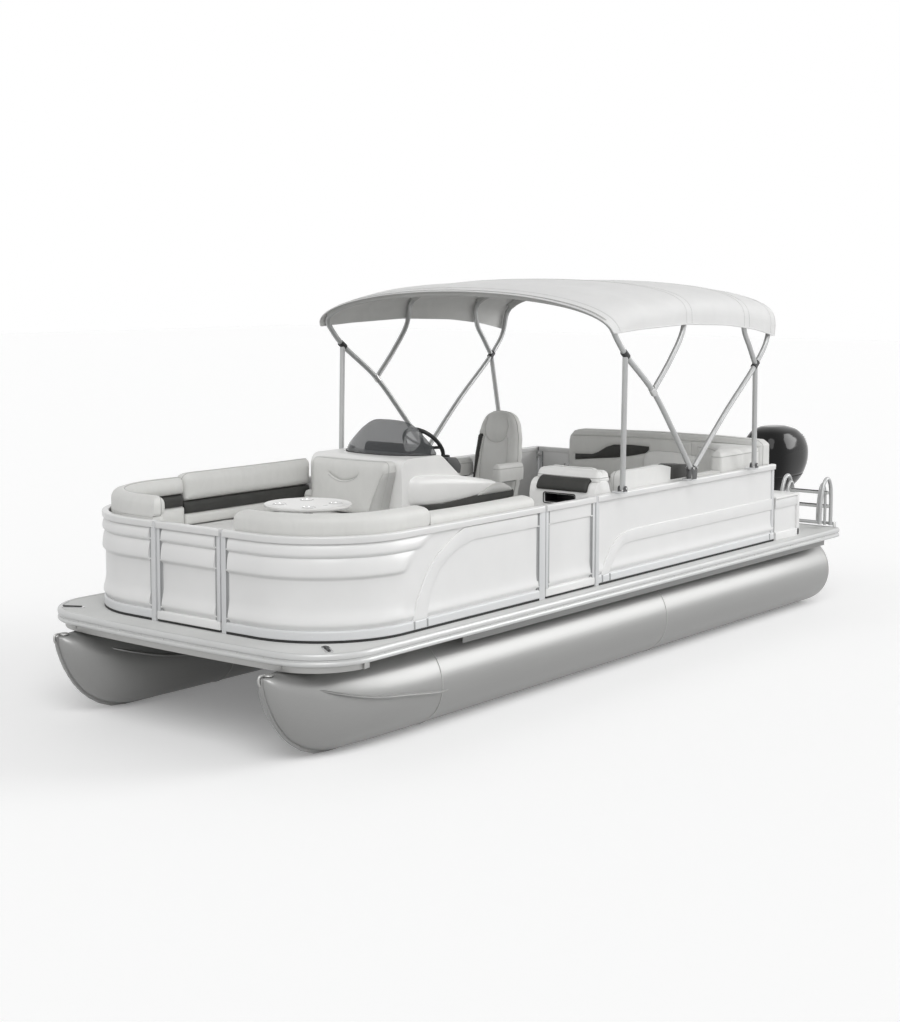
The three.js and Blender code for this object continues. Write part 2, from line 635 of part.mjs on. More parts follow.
/** The aft lounge's back: along the port side, lower past the table's place, then across the stern. */
function aftBack() {
  const foot = SEAT_TOP + SEAT_REST;
  const side = sweep([[-3330, SEAT_HALF], [-3940, SEAT_HALF]], [[0, foot], [0, 1404], [-14, 1430],
    [-40, 1440], [-90, 1436], [-112, 1412], [-128, foot]]);
  const slope = sideProfile([[-3936, foot], [-3936, 1432], [-4230, 1342], [-4230, foot]],
    1014, SEAT_HALF, 8, 1);
  const low = box(-4226, -4790, 1014, SEAT_HALF, foot, 1322);
  const corner = slab([[-4764, SEAT_HALF], [-4764, 1046], [-4900, 1010], [-5130, 900], [-5300, 740],
    [-5372, 560],
    [FENCE_END + 4, 560], [FENCE_END + 4, SEAT_HALF]], foot, 1482, 18);
  const end = AFT_SEAT_END;
  const stern = frontProfile([[end, foot], [end, 1392], [end + 14, 1436], [end + 52, 1468],
    [end + 110, 1478],
    [SEAT_HALF - 60, 1496], [SEAT_HALF, 1478], [SEAT_HALF, foot]], FENCE_END + 4, FENCE_END + 180, 22);
  return join(side, slope, low, corner, stern);
}

// ---------------------------------------------------------------------------------------------
// Helm
// ---------------------------------------------------------------------------------------------

const CONSOLE_FRONT = -2455;
const CONSOLE_TOP = 1508;
const WHEEL = { x: -3262, z: 1520 };
const WHEEL_TILT = THREE.MathUtils.degToRad(38);

/** The moulded helm console, with its sloped dash, knee space and the low wing beside it. */
function helmConsole() {
  const profile = [[CONSOLE_FRONT, DECK_TOP + 0.4], [CONSOLE_FRONT, 1440], [-2475, 1486],
    [-2520, CONSOLE_TOP],
    [-2900, CONSOLE_TOP], [-2935, 1490], [-3140, 1335], [-3190, 1318], [-3210, 1290], [-3160, 1210],
    [-3070, 1060], [-3070, DECK_TOP + 0.4]];
  const body = sideProfile(profile, -1058, -165, 26, 2);
  const wing = sideProfile([[-2640, DECK_TOP + 0.4], [-2640, 1200], [-2680, 1300], [-2760, 1326],
    [-3100, 1320],
    [-3446, 1276], [-3488, 1240], [-3474, 1206], [-3280, 1130], [-3200, DECK_TOP + 0.4]],
    -292, -150, 22, 2);
  const binnacle = sideProfile([[-2820, 1490], [-2840, 1560], [-2880, 1580], [-3010, 1500], [-3080, 1370]],
    HELM_Y - 230, HELM_Y + 230, 20, 2);
  const normal = [-Math.cos(WHEEL_TILT), Math.sin(WHEEL_TILT)];
  const along = (d) => [WHEEL.x - d * normal[0], HELM_Y, WHEEL.z - d * normal[1]];
  const column = rod(along(280), along(25.5), 34, 14, 26);
  return join(body, wing, binnacle, column);
}

/** The smoked windscreen: a bent sheet, tall in its middle, that leans aft over the console. */
function windscreen() {
  const foot = CONSOLE_TOP + 0.5;
  // The foot line from starboard to port, and the sheet's height above it.
  const line = [[-2900, -1006, 16], [-2800, -988, 74], [-2700, -925, 156], [-2640, -810, 220],
    [-2618, -660, 248],
    [-2622, -500, 244], [-2660, -360, 214], [-2730, -258, 150], [-2820, -206, 70], [-2880, -192, 16]];
  const rings = line.map(([x, y, height], i) => {
    const before = line[Math.max(i - 1, 0)];
    const after = line[Math.min(i + 1, line.length - 1)];
    const [ax, ay] = unit(after[0] - before[0], after[1] - before[1]);
    const at = (rise, inward) => {
      const lean = (0.3 + 0.25 * rise) * rise * height;
      return [x - lean - ay * inward, y + ax * inward, foot + rise * height];
    };
    return [at(0, 0), at(0.5, 0), at(1, 0), at(1, 7), at(0.5, 7), at(0, 7)];
  });
  return loft(rings, () => [(p) => p[1], (p) => p[2]]);
}

/** The steering wheel about its own axis, +Z towards the driver. */
function steeringWheel() {
  const rim = new THREE.TorusGeometry(173, 14, 8, 32);
  const hub = new THREE.CylinderGeometry(42, 48, 34, 16).rotateX(Math.PI / 2).translate(0, 0, -8);
  const spokes = [0, 1, 2, 3].map((i) => {
    const spoke = new THREE.BoxGeometry(138, 26, 9).translate(100, 0, -4);
    return spoke.rotateZ(Math.PI / 4 + (i * Math.PI) / 2);
  });
  return join(rim, hub, ...spokes);
}

/** The seat's column, from its floor plate to the swivel. */
function chairPedestal() {
  const profile = [[0, 0], [175, 0], [175, 10], [90, 26], [52, 44], [52, 232], [64, 240], [64, 252],
    [0, 252]];
  return new THREE.LatheGeometry(profile.map(([r, z]) => new THREE.Vector2(r, z)), 20).rotateX(Math.PI / 2);
}

/** The captain's chair about its swivel: pan, cushion, slim high back with bolsters, and arms. */
function helmChair() {
  const plate = box(-120, 120, -120, 120, 0.5, 20);
  const seat = slab([[-210, -218], [-210, 218], [210, 212], [256, 170], [256, -170], [210, -212]],
    18, 158, 32, 2);
  const half = [[172, 80], [190, 200], [195, 480], [184, 600], [162, 686], [128, 750], [74, 782]];
  const back = frontProfile([[0, 790], ...half.slice().reverse(), ...half.map(([y, z]) => [-y, z])],
    -62, 62, 28, 2);
  back.applyMatrix4(new THREE.Matrix4().makeRotationY(THREE.MathUtils.degToRad(-9))).translate(-226, 0, 20);
  const arm = (side) => sideProfile([[-250, 258], [-250, 300], [90, 312], [118, 294], [112, 268],
    [80, 258]],
    side > 0 ? 228 : -284, side > 0 ? 284 : -228, 16, 1);
  const bracket = (side) => box(-262, -196, side * 172, side * 250, 262, 296);
  return join(plate, seat, back, arm(1), arm(-1), bracket(1), bracket(-1));
}

// ---------------------------------------------------------------------------------------------
// Table
// ---------------------------------------------------------------------------------------------

const TABLE = { x: -1290, y: 0, top: 1332, radius: 292 };

function tableTop() {
  const r = TABLE.radius;
  const profile = [[0, -30], [r - 24, -30], [r, -14], [r, -4], [r - 6, 0], [0, 0]];
  return new THREE.LatheGeometry(profile.map(([u, v]) => new THREE.Vector2(u, v)), 36).rotateX(Math.PI / 2);
}

function tablePost() {
  const profile = [[0, 0], [115, 0], [115, 8], [46, 22], [36, 40], [30, 590], [70, 612], [70, 626.1],
    [0, 626.1]];
  return new THREE.LatheGeometry(profile.map(([r, z]) => new THREE.Vector2(r, z)), 18).rotateX(Math.PI / 2);
}

// ---------------------------------------------------------------------------------------------
// Bimini top
// ---------------------------------------------------------------------------------------------

// Sections of the canopy: station of the hem, how far the crown lies ahead of it, heights of the
// crown and the hem, and the power that squares the shoulders (1 is a plain ellipse).
const CANOPY_SECTIONS = [
  { x: -2925, ahead: 70, crown: 2712, hem: 2440, power: 1 },
  { x: -3010, ahead: 46, crown: 2748, hem: 2446, power: 0.86 },
  { x: -3260, ahead: 12, crown: 2790, hem: 2462, power: 0.62 },
  { x: -3890, ahead: 0, crown: 2805, hem: 2484, power: 0.5 },
  { x: -4500, ahead: 0, crown: 2803, hem: 2466, power: 0.5 },
  { x: -4930, ahead: -6, crown: 2790, hem: 2424, power: 0.5 },
  { x: -5160, ahead: -20, crown: 2771, hem: 2382, power: 0.5 },
  { x: -5250, ahead: -40, crown: 2742, hem: 2360, power: 0.5 },
];

/** The canopy's section at a station, between the two given ones beside it. */
function canopyAt(x) {
  const i = Math.max(1, CANOPY_SECTIONS.findIndex((section) => section.x <= x));
  const [a, b] = [CANOPY_SECTIONS[i - 1], CANOPY_SECTIONS[i]];
  const t = (x - a.x) / (b.x - a.x);
  const mixed = Object.keys(a).map((key) => [key, a[key] + t * (b[key] - a[key])]);
  return Object.fromEntries(mixed);
}

/** How far the canopy is drawn forward at a station and offset, more towards starboard. */
function skewAt(x, y) {
  const { x: front } = CANOPY_SECTIONS[0];
  const { x: rear } = CANOPY_SECTIONS.at(-1);
  const share = THREE.MathUtils.clamp((x - rear) / (front - rear), 0, 1);
  return CANOPY_SKEW * share * (0.5 - y / CANOPY_HALF / 2);
}

/** A point of a canopy section, drop inside its outer skin; angle is 0 at the port hem,
 *  pi/2 at the crown. */
function canopyPoint({ x, ahead, crown, hem, power }, angle, drop) {
  const y = (CANOPY_HALF - drop) * Math.cos(angle);
  const rise = Math.abs(Math.sin(angle)) ** power;
  const forward = ahead * (1 - (1 - rise) ** 2.5);
  return [x + forward + skewAt(x, y), y, hem + (crown - drop - hem) * rise];
}

/** The canopy as a sheet of the given thickness under its outer skin. */
function canopy(sheet = CANOPY_SHEET) {
  const steps = 24;
  const rings = CANOPY_SECTIONS.map((section) => {
    const skin = (drop) => {
      const points = [];
      for (let i = 0; i <= steps; i += 1) {
        points.push(canopyPoint(section, (1 - i / steps) * Math.PI, drop));
      }
      return points;
    };
    return [...skin(0), ...skin(sheet).reverse()];
  });
  return loft(rings, () => [(p) => p[1], (p) => p[2]]);
}

const LEG_FOOT = FENCE_TOP + 100; // height of a main bow's end in its mount
const LEG_RISE = 900;            // over which a leg leans out from the rail to the canopy's side

/** A point of a leg: a station and a height on the port side, carried to either side. */
function legPoint([x, z], side) {
  const top = CANOPY_HALF - CANOPY_SHEET - BIMINI_TUBE - 6;
  const share = THREE.MathUtils.clamp((z - LEG_FOOT) / LEG_RISE, 0, 1);
  const y = THREE.MathUtils.lerp(BIMINI_FOOT_Y, top, share);
  if (side > 0) {
    return [x, y, z];
  }
  return [x + THREE.MathUtils.lerp(STARBOARD_LEAD, skewAt(x, -CANOPY_HALF), share), -y, z];
}

/** A bimini bow: up its leg from the port foot, across under the canopy and down to starboard. */
function bimini({ x, leg }, radius = BIMINI_TUBE) {
  const section = canopyAt(x);
  const drop = CANOPY_SHEET + BIMINI_TUBE;
  const arch = [8, 16, 25, 35, 46, 58, 72, 90, 108, 122, 134, 145, 155, 164, 172].map((deg) => (
    canopyPoint(section, THREE.MathUtils.degToRad(deg), drop)
  ));
  const port = leg.map((point) => legPoint(point, 1));
  const starboard = leg.map((point) => legPoint(point, -1)).reverse();
  return pipe([...port, ...arch, ...starboard], radius, 52);
}

// Stations and heights, on the port side, of where tubes meet and of the legs' bends. The two main
// bows stand on the middle mounts. The second and third bows branch off their legs.
const FRONT_BRANCH = [-3530, 2012];
const REAR_BRANCH = [-5031, 2142];
const FRONT_STRUT_HEAD = [-3133, 2288];
const MAIN_BOWS = {
  bimini_bow_front: {
    x: -2972,
    leg: [[MAIN_MOUNT + 27, LEG_FOOT], [-3840, 1712], FRONT_BRANCH, FRONT_STRUT_HEAD, [-3018, 2400]],
  },
  bimini_bow_rear: {
    x: -5218,
    leg: [[MAIN_MOUNT - 27, LEG_FOOT], [-4600, 1786], REAR_BRANCH, [-5188, 2325]],
  },
};
const BRANCH_BOWS = {
  bimini_bow_second: { x: -3935, leg: [FRONT_BRANCH, [-3743, 2230], [-3905, 2440]] },
  bimini_bow_third: { x: -4800, leg: [REAR_BRANCH, [-4906, 2299], [-4826, 2408]] },
};

// Struts: side, station of the foot and place of the head, which is coped onto its bow's leg.
const STRUT_FOOT_HEIGHT = 1342;
const STRUTS = [
  { name: "port_front_strut", side: 1, foot: PORT_FRONT_FOOT, head: FRONT_STRUT_HEAD },
  { name: "starboard_front_strut", side: -1, foot: STARBOARD_FRONT_FOOT, head: FRONT_STRUT_HEAD },
  { name: "port_rear_strut", side: 1, foot: REAR_FOOT, head: REAR_BRANCH },
  { name: "starboard_rear_strut", side: -1, foot: REAR_FOOT, head: REAR_BRANCH },
];

// ---------------------------------------------------------------------------------------------
// Motor pod and outboard
// ---------------------------------------------------------------------------------------------

/** The motor pod under the stern, with the transom that carries the outboard. */
function motorPod() {
  const profile = [[1500, 597.4], [1000, 330], [800, 292], [6, 268], [0, 274], [0, TRANSOM_TOP],
    [48, TRANSOM_TOP],
    [58, 640], [420, 640], [420, 597.4]].map(([x, z]) => [TRANSOM_FACE + x, z]);
  return sideProfile(profile, ENGINE_Y - 270, ENGINE_Y + 270);
}

// The outboard's stations are measured from the transom's face, and its offsets from its own middle.
const TILT = { x: -68, z: 738 };
const SWIVEL_X = -162;

/** The clamp bracket on the transom, with the tilt tube between its arms. */
function clampBracket() {
  const arm = (y) => sideProfile([[-0.5, 440], [-0.5, 770], [-90, 770], [-106, 738],
    [-90, 690], [-50, 560], [-30, 440]], y, y + 22);
  const plate = box(-0.5, -14, -106, 106, 440, 680);
  const hooks = [-112, 90].map((y) => box(-20, 66, y, y + 22, TRANSOM_TOP + 0.5, 770));
  const clampLegs = [-112, 90].map((y) => box(60, 76, y, y + 22, 650, 770));
  const tube = rod([TILT.x, -112, TILT.z], [TILT.x, 112, TILT.z], 15, 16);
  return join(arm(-112), arm(90), plate, ...hooks, ...clampLegs, tube);
}

/** The swivel bracket that tilts on the clamp bracket and holds the steering barrel. */
function swivelBracket() {
  const hub = rod([TILT.x, -82, TILT.z], [TILT.x, 82, TILT.z], 30, 18);
  const web = sideProfile([[-66, 712], [-66, 760], [-140, 744], [-140, 470], [-100, 470]], -60, 60);
  const barrel = rod([SWIVEL_X, 0, 462], [SWIVEL_X, 0, 756], 36, 18);
  const bore = rod([TILT.x, -120, TILT.z], [TILT.x, 120, TILT.z], 16, 16);
  return cut(join(hub, web, barrel), bore);
}

// Sections of the cowl from below: height, front and rear station, half width and corner softness.
const COWL_SECTIONS = [
  { z: 778, front: -236, rear: -590, half: 122, soft: 0.5 },
  { z: 830, front: -220, rear: -730, half: 170, soft: 0.5 },
  { z: 905, front: -214, rear: -870, half: 210, soft: 0.48 },
  { z: 1010, front: -212, rear: -970, half: 234, soft: 0.46 },
  { z: 1130, front: -214, rear: -1018, half: 242, soft: 0.46 },
  { z: 1245, front: -232, rear: -1002, half: 232, soft: 0.48 },
  { z: 1335, front: -270, rear: -932, half: 200, soft: 0.52 },
  { z: 1394, front: -336, rear: -820, half: 148, soft: 0.56 },
  { z: 1424, front: -420, rear: -680, half: 82, soft: 0.6 },
];

function engineCowl() {
  const sides = 24;
  const rings = COWL_SECTIONS.map(({ z, front, rear, half, soft }) => {
    const [cx, rx] = [(front + rear) / 2, (front - rear) / 2];
    const points = [];
    for (let i = 0; i < sides; i += 1) {
      const angle = (i / sides) * Math.PI * 2;
      const [c, s] = [Math.cos(angle), Math.sin(angle)];
      const power = 1.4 * soft;
      const blunt = 1 - 0.14 * Math.max(-c, 0);
      points.push([cx + rx * Math.sign(c) * Math.abs(c) ** power,
        half * blunt * Math.sign(s) * Math.abs(s) ** power, z]);
    }
    return points;
  });
  return loft(rings, () => [(p) => p[0], (p) => p[1]]);
}

/** The leg: yokes on the steering barrel, exhaust housing, anti-ventilation plate, gearcase, skeg. */
function engineLeg() {
  const ring = (z, front, rear, half) => {
    const points = [];
    const sides = 14;
    for (let i = 0; i < sides; i += 1) {
      const angle = (i / sides) * Math.PI * 2;
      points.push([(front + rear) / 2 + ((front - rear) / 2) * Math.cos(angle), half * Math.sin(angle), z]);
    }
    return points;
  };
  // Sections of the housing: height, front, rear and half width.
  const housing = loft([
    ring(120, -310, -500, 18), ring(205, -290, -510, 26), ring(330, -250, -520, 38),
    ring(430, -230, -480, 58),
    ring(600, -225, -460, 76), ring(700, -220, -480, 92), ring(777.5, -212, -540, 110),
  ], () => [(p) => p[0], (p) => p[1]]);
  const yokes = [[400, 461.5], [756.5, 777.5]].map(([z0, z1]) => {
    const pad = box(SWIVEL_X, -340, -42, 42, z0, z1);
    return join(pad, rod([SWIVEL_X, 0, z0], [SWIVEL_X, 0, z1], 42, 18));
  });
  const plate = slab([[-210, -40], [-210, 40], [-360, 118], [-640, 122], [-740, 84], [-766, 0], [-740, -84],
    [-640, -122], [-360, -118]], 326, 340);
  const torpedo = [[0, 0], [20, 8], [42, 46], [52, 110], [52, 250], [44, 334], [38, 357.4], [0, 357.4]];
  const gearcase = new THREE.LatheGeometry(torpedo.map(([r, v]) => new THREE.Vector2(r, v)), 16);
  gearcase.rotateZ(Math.PI / 2).translate(-240, 0, 172);
  const skeg = sideProfile([[-280, 130], [-340, 70], [-420, 22], [-500, 22], [-530, 60], [-500, 130]],
    -7, 7);
  return join(housing, ...yokes, plate, gearcase, skeg);
}

const PROPELLER = { x: -598, z: 172 };

/** A three-bladed propeller about its shaft, which runs along X. */
function propeller() {
  const hubProfile = [[0, 0], [36, 0], [40, 20], [36, 96], [30, 104], [0, 104]];
  const hub = new THREE.LatheGeometry(hubProfile.map(([r, v]) => new THREE.Vector2(r, v)),
    18).rotateZ(Math.PI / 2);
  // Sections of a blade: radius, chord, thickness, pitch angle and rake.
  const sections = [[26, 84, 14, 58, 0], [60, 112, 10, 44, -4], [96, 122, 7, 32, -10],
    [128, 92, 4, 26, -18], [142, 40, 3, 24, -22]];
  const blades = [0, 120, 240].map((turn) => {
    const rings = sections.map(([r, chord, thick, pitch, rake]) => {
      const a = THREE.MathUtils.degToRad(pitch);
      const along = [Math.sin(a), Math.cos(a)];
      const across = [Math.cos(a), -Math.sin(a)];
      return [[-0.5, 0], [0, 0.5], [0.5, 0], [0, -0.5]].map(([u, v]) => [
        -54 + rake + along[0] * u * chord + across[0] * v * thick,
        along[1] * u * chord + across[1] * v * thick,
        r,
      ]);
    });
    const blade = loft(rings, () => [(p) => p[0], (p) => p[1]]);
    return blade.rotateX(THREE.MathUtils.degToRad(turn));
  });
  return join(hub, ...blades);
}

// ---------------------------------------------------------------------------------------------
// Boarding ladder
// ---------------------------------------------------------------------------------------------

/** The boarding ladder, folded up over its hinge: two looped rails joined by treads. */
function boardingLadder() {
  const loop = (y) => {
    const points = [[46, y, 0], [46, y, 250], [60, y, 350], [108, y, 410], [160, y, 400],
      [206, y, 330], [240, y, 200],
      [252, y, 30]];
    return pipe(points, 15, 26);
  };
  const treads = [[60, 150], [76, 270]].map(([x, z]) => box(x - 30, x + 26, -180, 180, z, z + 24));
  const hinge = rod([20, -LADDER.half, 14], [20, LADDER.half, 14], 13, 12);
  const links = [-190, 190].map((y) => box(14, 52, y - 12, y + 12, 4, 26));
  const tieBar = rod([250, -195, 44], [250, 195, 44], 11, 10);
  return join(loop(-190), loop(190), ...treads, hinge, ...links, tieBar);
}

// ---------------------------------------------------------------------------------------------
// Assembly
// ---------------------------------------------------------------------------------------------

const boat = new THREE.Group();
boat.position.set(MIDSHIP, 0, 0);

function add(parent, name, geometry, mat, at = [0, 0, 0]) {
  const closed = geometryOf(solid(geometry));
  closed.computeVertexNormals();
  const mesh = new THREE.Mesh(closed, MATERIALS[mat]);
  mesh.name = name;
  mesh.position.set(...at);
  parent.add(mesh);
  return mesh;
}

const tube = pontoon();
add(boat, "port_pontoon", tube, "tubeAluminium", [0, TUBE_OFFSET, 0]);
add(boat, "starboard_pontoon", tube.clone(), "tubeAluminium", [0, -TUBE_OFFSET, 0]);
add(boat, "under_frame", underFrame(), "frameAluminium");
add(boat, "deck_edge_rail", deckRail(), "railAluminium");
add(boat, "deck_panel", deckPanel(), "deckGrey");
add(boat, "motor_pod", motorPod(), "tubeAluminium");

const portBowFence = join(
  bowFence(PORT_GATE_FRONT),
  atHinge(mirrored(postKnuckles()), HINGES.bow),
  atHinge(postKnuckles(), HINGES.port),
);
add(boat, "port_bow_fence", portBowFence, "panelWhite");
add(boat, "port_aft_fence", aftFence(PORT_GATE_AFT, FENCE_END, PORT_FRONT_FOOT), "panelWhite");
add(boat, "starboard_bow_fence", mirrored(bowFence(PORT_GATE_AFT + 22)), "panelWhite");
const starboardAftFence = join(
  mirrored(aftFence(PORT_GATE_AFT - 22, FENCE_END, STARBOARD_FRONT_FOOT, STARBOARD_LEAD)),
  atHinge(mirrored(postKnuckles()), HINGES.stern),
);
add(boat, "starboard_aft_fence", starboardAftFence, "panelWhite");
add(boat, "stern_box", sternBox(), "panelWhite");

function addGate(name, geometry, { x, y, turn }) {
  const line = new THREE.Group();
  line.position.set(x, y, 0);
  line.rotation.z = turn;
  boat.add(line);
  add(line, name, geometry, "panelWhite");
}

addGate("bow_gate", mirrored(gate(BOW_GATE_WIDTH, BULGED_PANEL)), HINGES.bow);
addGate("port_gate", gate(PORT_GATE_WIDTH, FLAT_PANEL), HINGES.port);
addGate("stern_gate", mirrored(gate(STERN_GATE_WIDTH, FLAT_PANEL)), HINGES.stern);

add(boat, "port_bow_seat_base", slab(bowSeatPlan({ inset: 36, end: -2262 }),
  DECK_TOP + 0.4, SEAT_BASE_TOP, 0), "shellWhite");
add(boat, "port_bow_seat_cushion", slab(bowSeatPlan({ inset: 0, end: -2268 }),
  SEAT_BASE_TOP + 0.4, SEAT_TOP, 26), "vinylGrey");
add(boat, "port_bow_seat_back", bowBack(-2272, -1165, 1424, 1374), "vinylGrey");
add(boat, "starboard_bow_seat_base",
  mirrored(slab(bowSeatPlan({ inset: 36, end: -2412, wing: 190 }), DECK_TOP + 0.4, SEAT_BASE_TOP)),
  "shellWhite");
add(boat, "starboard_bow_seat_cushion",
  mirrored(slab(bowSeatPlan({ inset: 0, end: -2418, wing: 170 }), SEAT_BASE_TOP + 0.4, SEAT_TOP, 26)),
  "vinylGrey");
// A corner pad fills the turn from the starboard lounge's back to the one against the console.
const cornerPad = slab([[-2050, 1025], [-2190, 982], [-2286, 908], [-2444, 908], [-2444, SEAT_HALF],
  [-2050, SEAT_HALF]],
  SEAT_TOP + SEAT_REST, 1470, 16);
add(boat, "starboard_bow_seat_back", mirrored(join(bowBack(-2270, -1165, 1440, 1462), cornerPad)),
  "vinylGrey");

const consoleBack = frontProfile([[-903, SEAT_TOP + SEAT_REST], [-903, 1440], [-880, 1474],
  [-820, 1488], [-260, 1494], [-200, 1474],
  [-182, 1424], [-182, SEAT_TOP + SEAT_REST]], -2446, -2290, 24);
add(boat, "console_seat_back", consoleBack, "vinylGrey");

add(boat, "helm_console", helmConsole(), "shellWhite");
add(boat, "windscreen", windscreen(), "smoked");
const wheelMount = new THREE.Group();
wheelMount.position.set(WHEEL.x, HELM_Y, WHEEL.z);
wheelMount.rotation.y = -(Math.PI / 2 - WHEEL_TILT);
boat.add(wheelMount);
add(wheelMount, "steering_wheel", steeringWheel(), "wheelBlack");

add(boat, "chair_pedestal", chairPedestal(), "frameAluminium", [CHAIR.x, CHAIR.y, DECK_TOP + 0.4]);
add(boat, "captain_chair", helmChair(), "vinylGrey", [CHAIR.x, CHAIR.y, DECK_TOP + 252.8]);

add(boat, "table_post", tablePost(), "frameAluminium", [TABLE.x, TABLE.y, DECK_TOP + 0.4]);
add(boat, "table_top", tableTop(), "tableWhite", [TABLE.x, TABLE.y, TABLE.top]);

add(boat, "aft_seat_base", slab(AFT_SEAT_PLAN(36), DECK_TOP + 0.4, SEAT_BASE_TOP), "shellWhite");
add(boat, "aft_seat_cushion", slab(AFT_SEAT_PLAN(0), SEAT_BASE_TOP + 0.4, SEAT_TOP, 26), "vinylGrey");
add(boat, "aft_seat_back", aftBack(), "vinylGrey");

const chaiseProfile = [[-3012, DECK_TOP + 0.4], [-3004, 1300], [-3030, 1372], [-3090, 1392], [-3180, 1386],
  [-3200, 1340], [-3322, 1090], [-3322, DECK_TOP + 0.4]];
const cubby = box(-3160, -2990, 700, 960, 1224, 1288);
add(boat, "chaise_shell", cut(sideProfile(chaiseProfile, 570, 1128, 12, 1), cubby), "shellWhite");
const chaisePad = sideProfile([[-3314.2, 1107], [-3200.8, 1341.2], [-3181, 1387.5], [-3180, 1424],
  [-3216, 1446],
  [-3268, 1438], [-3302, 1396], [-3420, 1124], [-3412, 1107]], 590, 1010);
add(boat, "chaise_pad", chaisePad, "vinylGrey");

// Every tube keeps clear of the canvas, and the branches are coped onto the main bows.
const canvasRoom = canopy(CANOPY_SHEET + 0.5);
const bowRoom = join(...Object.values(MAIN_BOWS).map((bow) => bimini(bow, BIMINI_TUBE + 0.5)));
for (const [name, bow] of Object.entries(MAIN_BOWS)) {
  add(boat, name, cut(bimini(bow), canvasRoom), "bowAluminium");
}
for (const [name, bow] of Object.entries(BRANCH_BOWS)) {
  add(boat, name, cut(bimini(bow), canvasRoom, bowRoom), "bowAluminium");
}
for (const { name, side, foot, head } of STRUTS) {
  const strut = rod([foot, side * BIMINI_FOOT_Y, STRUT_FOOT_HEIGHT], legPoint(head, side), BIMINI_TUBE, 10);
  add(boat, name, cut(strut, bowRoom), "bowAluminium");
}
add(boat, "bimini_canopy", canopy(), "canvasWhite");

const engine = new THREE.Group();
engine.position.set(TRANSOM_FACE, ENGINE_Y, 0);
boat.add(engine);
add(engine, "engine_clamp_bracket", clampBracket(), "engineGrey");
add(engine, "engine_swivel_bracket", swivelBracket(), "engineGrey");
add(engine, "engine_cowl", engineCowl(), "engineBlack");
add(engine, "engine_leg", engineLeg(), "engineGrey");
add(engine, "propeller", propeller(), "propeller", [PROPELLER.x, 0, PROPELLER.z]);

add(boat, "boarding_ladder", boardingLadder(), "bowAluminium", [LADDER.x, LADDER.y, LADDER.z]);

export default boat;
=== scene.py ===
"""Pontoon boat: finished pieces, materials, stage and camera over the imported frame.

Metres, +X forward, +Y port, +Z up. Stations written with ``st`` are measured from the front edge of
the deck, as in the boat's own drawings, and run negative towards the stern.
"""
import sys
import logging
import math
from dataclasses import dataclass, field
from enum import Enum
from typing import Callable, Iterable, Optional, Sequence

import bmesh
import bpy
import numpy as np
from mathutils import Matrix, Vector, noise
from mathutils.geometry import delaunay_2d_cdt


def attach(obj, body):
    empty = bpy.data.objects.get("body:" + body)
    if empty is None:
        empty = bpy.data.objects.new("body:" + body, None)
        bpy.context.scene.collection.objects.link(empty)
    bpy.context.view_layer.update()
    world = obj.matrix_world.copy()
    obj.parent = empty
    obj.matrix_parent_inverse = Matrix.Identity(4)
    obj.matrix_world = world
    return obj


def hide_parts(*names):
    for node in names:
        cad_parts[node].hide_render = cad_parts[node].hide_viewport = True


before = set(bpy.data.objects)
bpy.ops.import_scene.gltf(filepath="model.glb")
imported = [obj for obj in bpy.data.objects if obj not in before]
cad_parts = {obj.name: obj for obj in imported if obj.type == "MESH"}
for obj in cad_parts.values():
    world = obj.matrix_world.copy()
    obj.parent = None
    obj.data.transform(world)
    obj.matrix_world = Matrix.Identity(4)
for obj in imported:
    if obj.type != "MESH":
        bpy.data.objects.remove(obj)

LOG = logging.getLogger("pontoon_boat")
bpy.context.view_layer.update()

Point = tuple[float, float, float]
Flat = tuple[float, float]
Colour = tuple[float, float, float]

MIDSHIP = 3.990
# Heights at which parts stand: on the deck, on the seats' bases, and on the seat cushions.
ON_DECK = 0.6754
ON_BASE = 0.9856
ON_SEAT = 1.1012
BASE_TOP = 0.985
CUSHION_DEPTH = 0.1135
TUBE_OFFSET = 0.905
FENCE_HALF = 1.190
FENCE_TOP = 1.308
SEAT_HALF = 1.141
# Radius at which a turned form's ends close, next to its axis.
CORE = 0.0005


def st(x: float) -> float:
    """The row frame's x of a station measured from the deck's front edge."""
    return x + MIDSHIP


class Side(Enum):
    """The two sides of the boat."""

    PORT = 1
    STARBOARD = -1

    @property
    def word(self) -> str:
        """The side's name as it stands in node names."""
        return self.name.lower()


class Texture(Enum):
    """The surface textures that a finish may carry."""

    PEEL = "moulded skin"
    GRAIN = "vinyl grain"
    BRUSHED = "brushed metal"
    WEAVE = "coated weave"
    RIBBED = "ribbed flooring"
    CAST = "cast texture"


# ---------------------------------------------------------------------------------------------
# Shader groups
# ---------------------------------------------------------------------------------------------


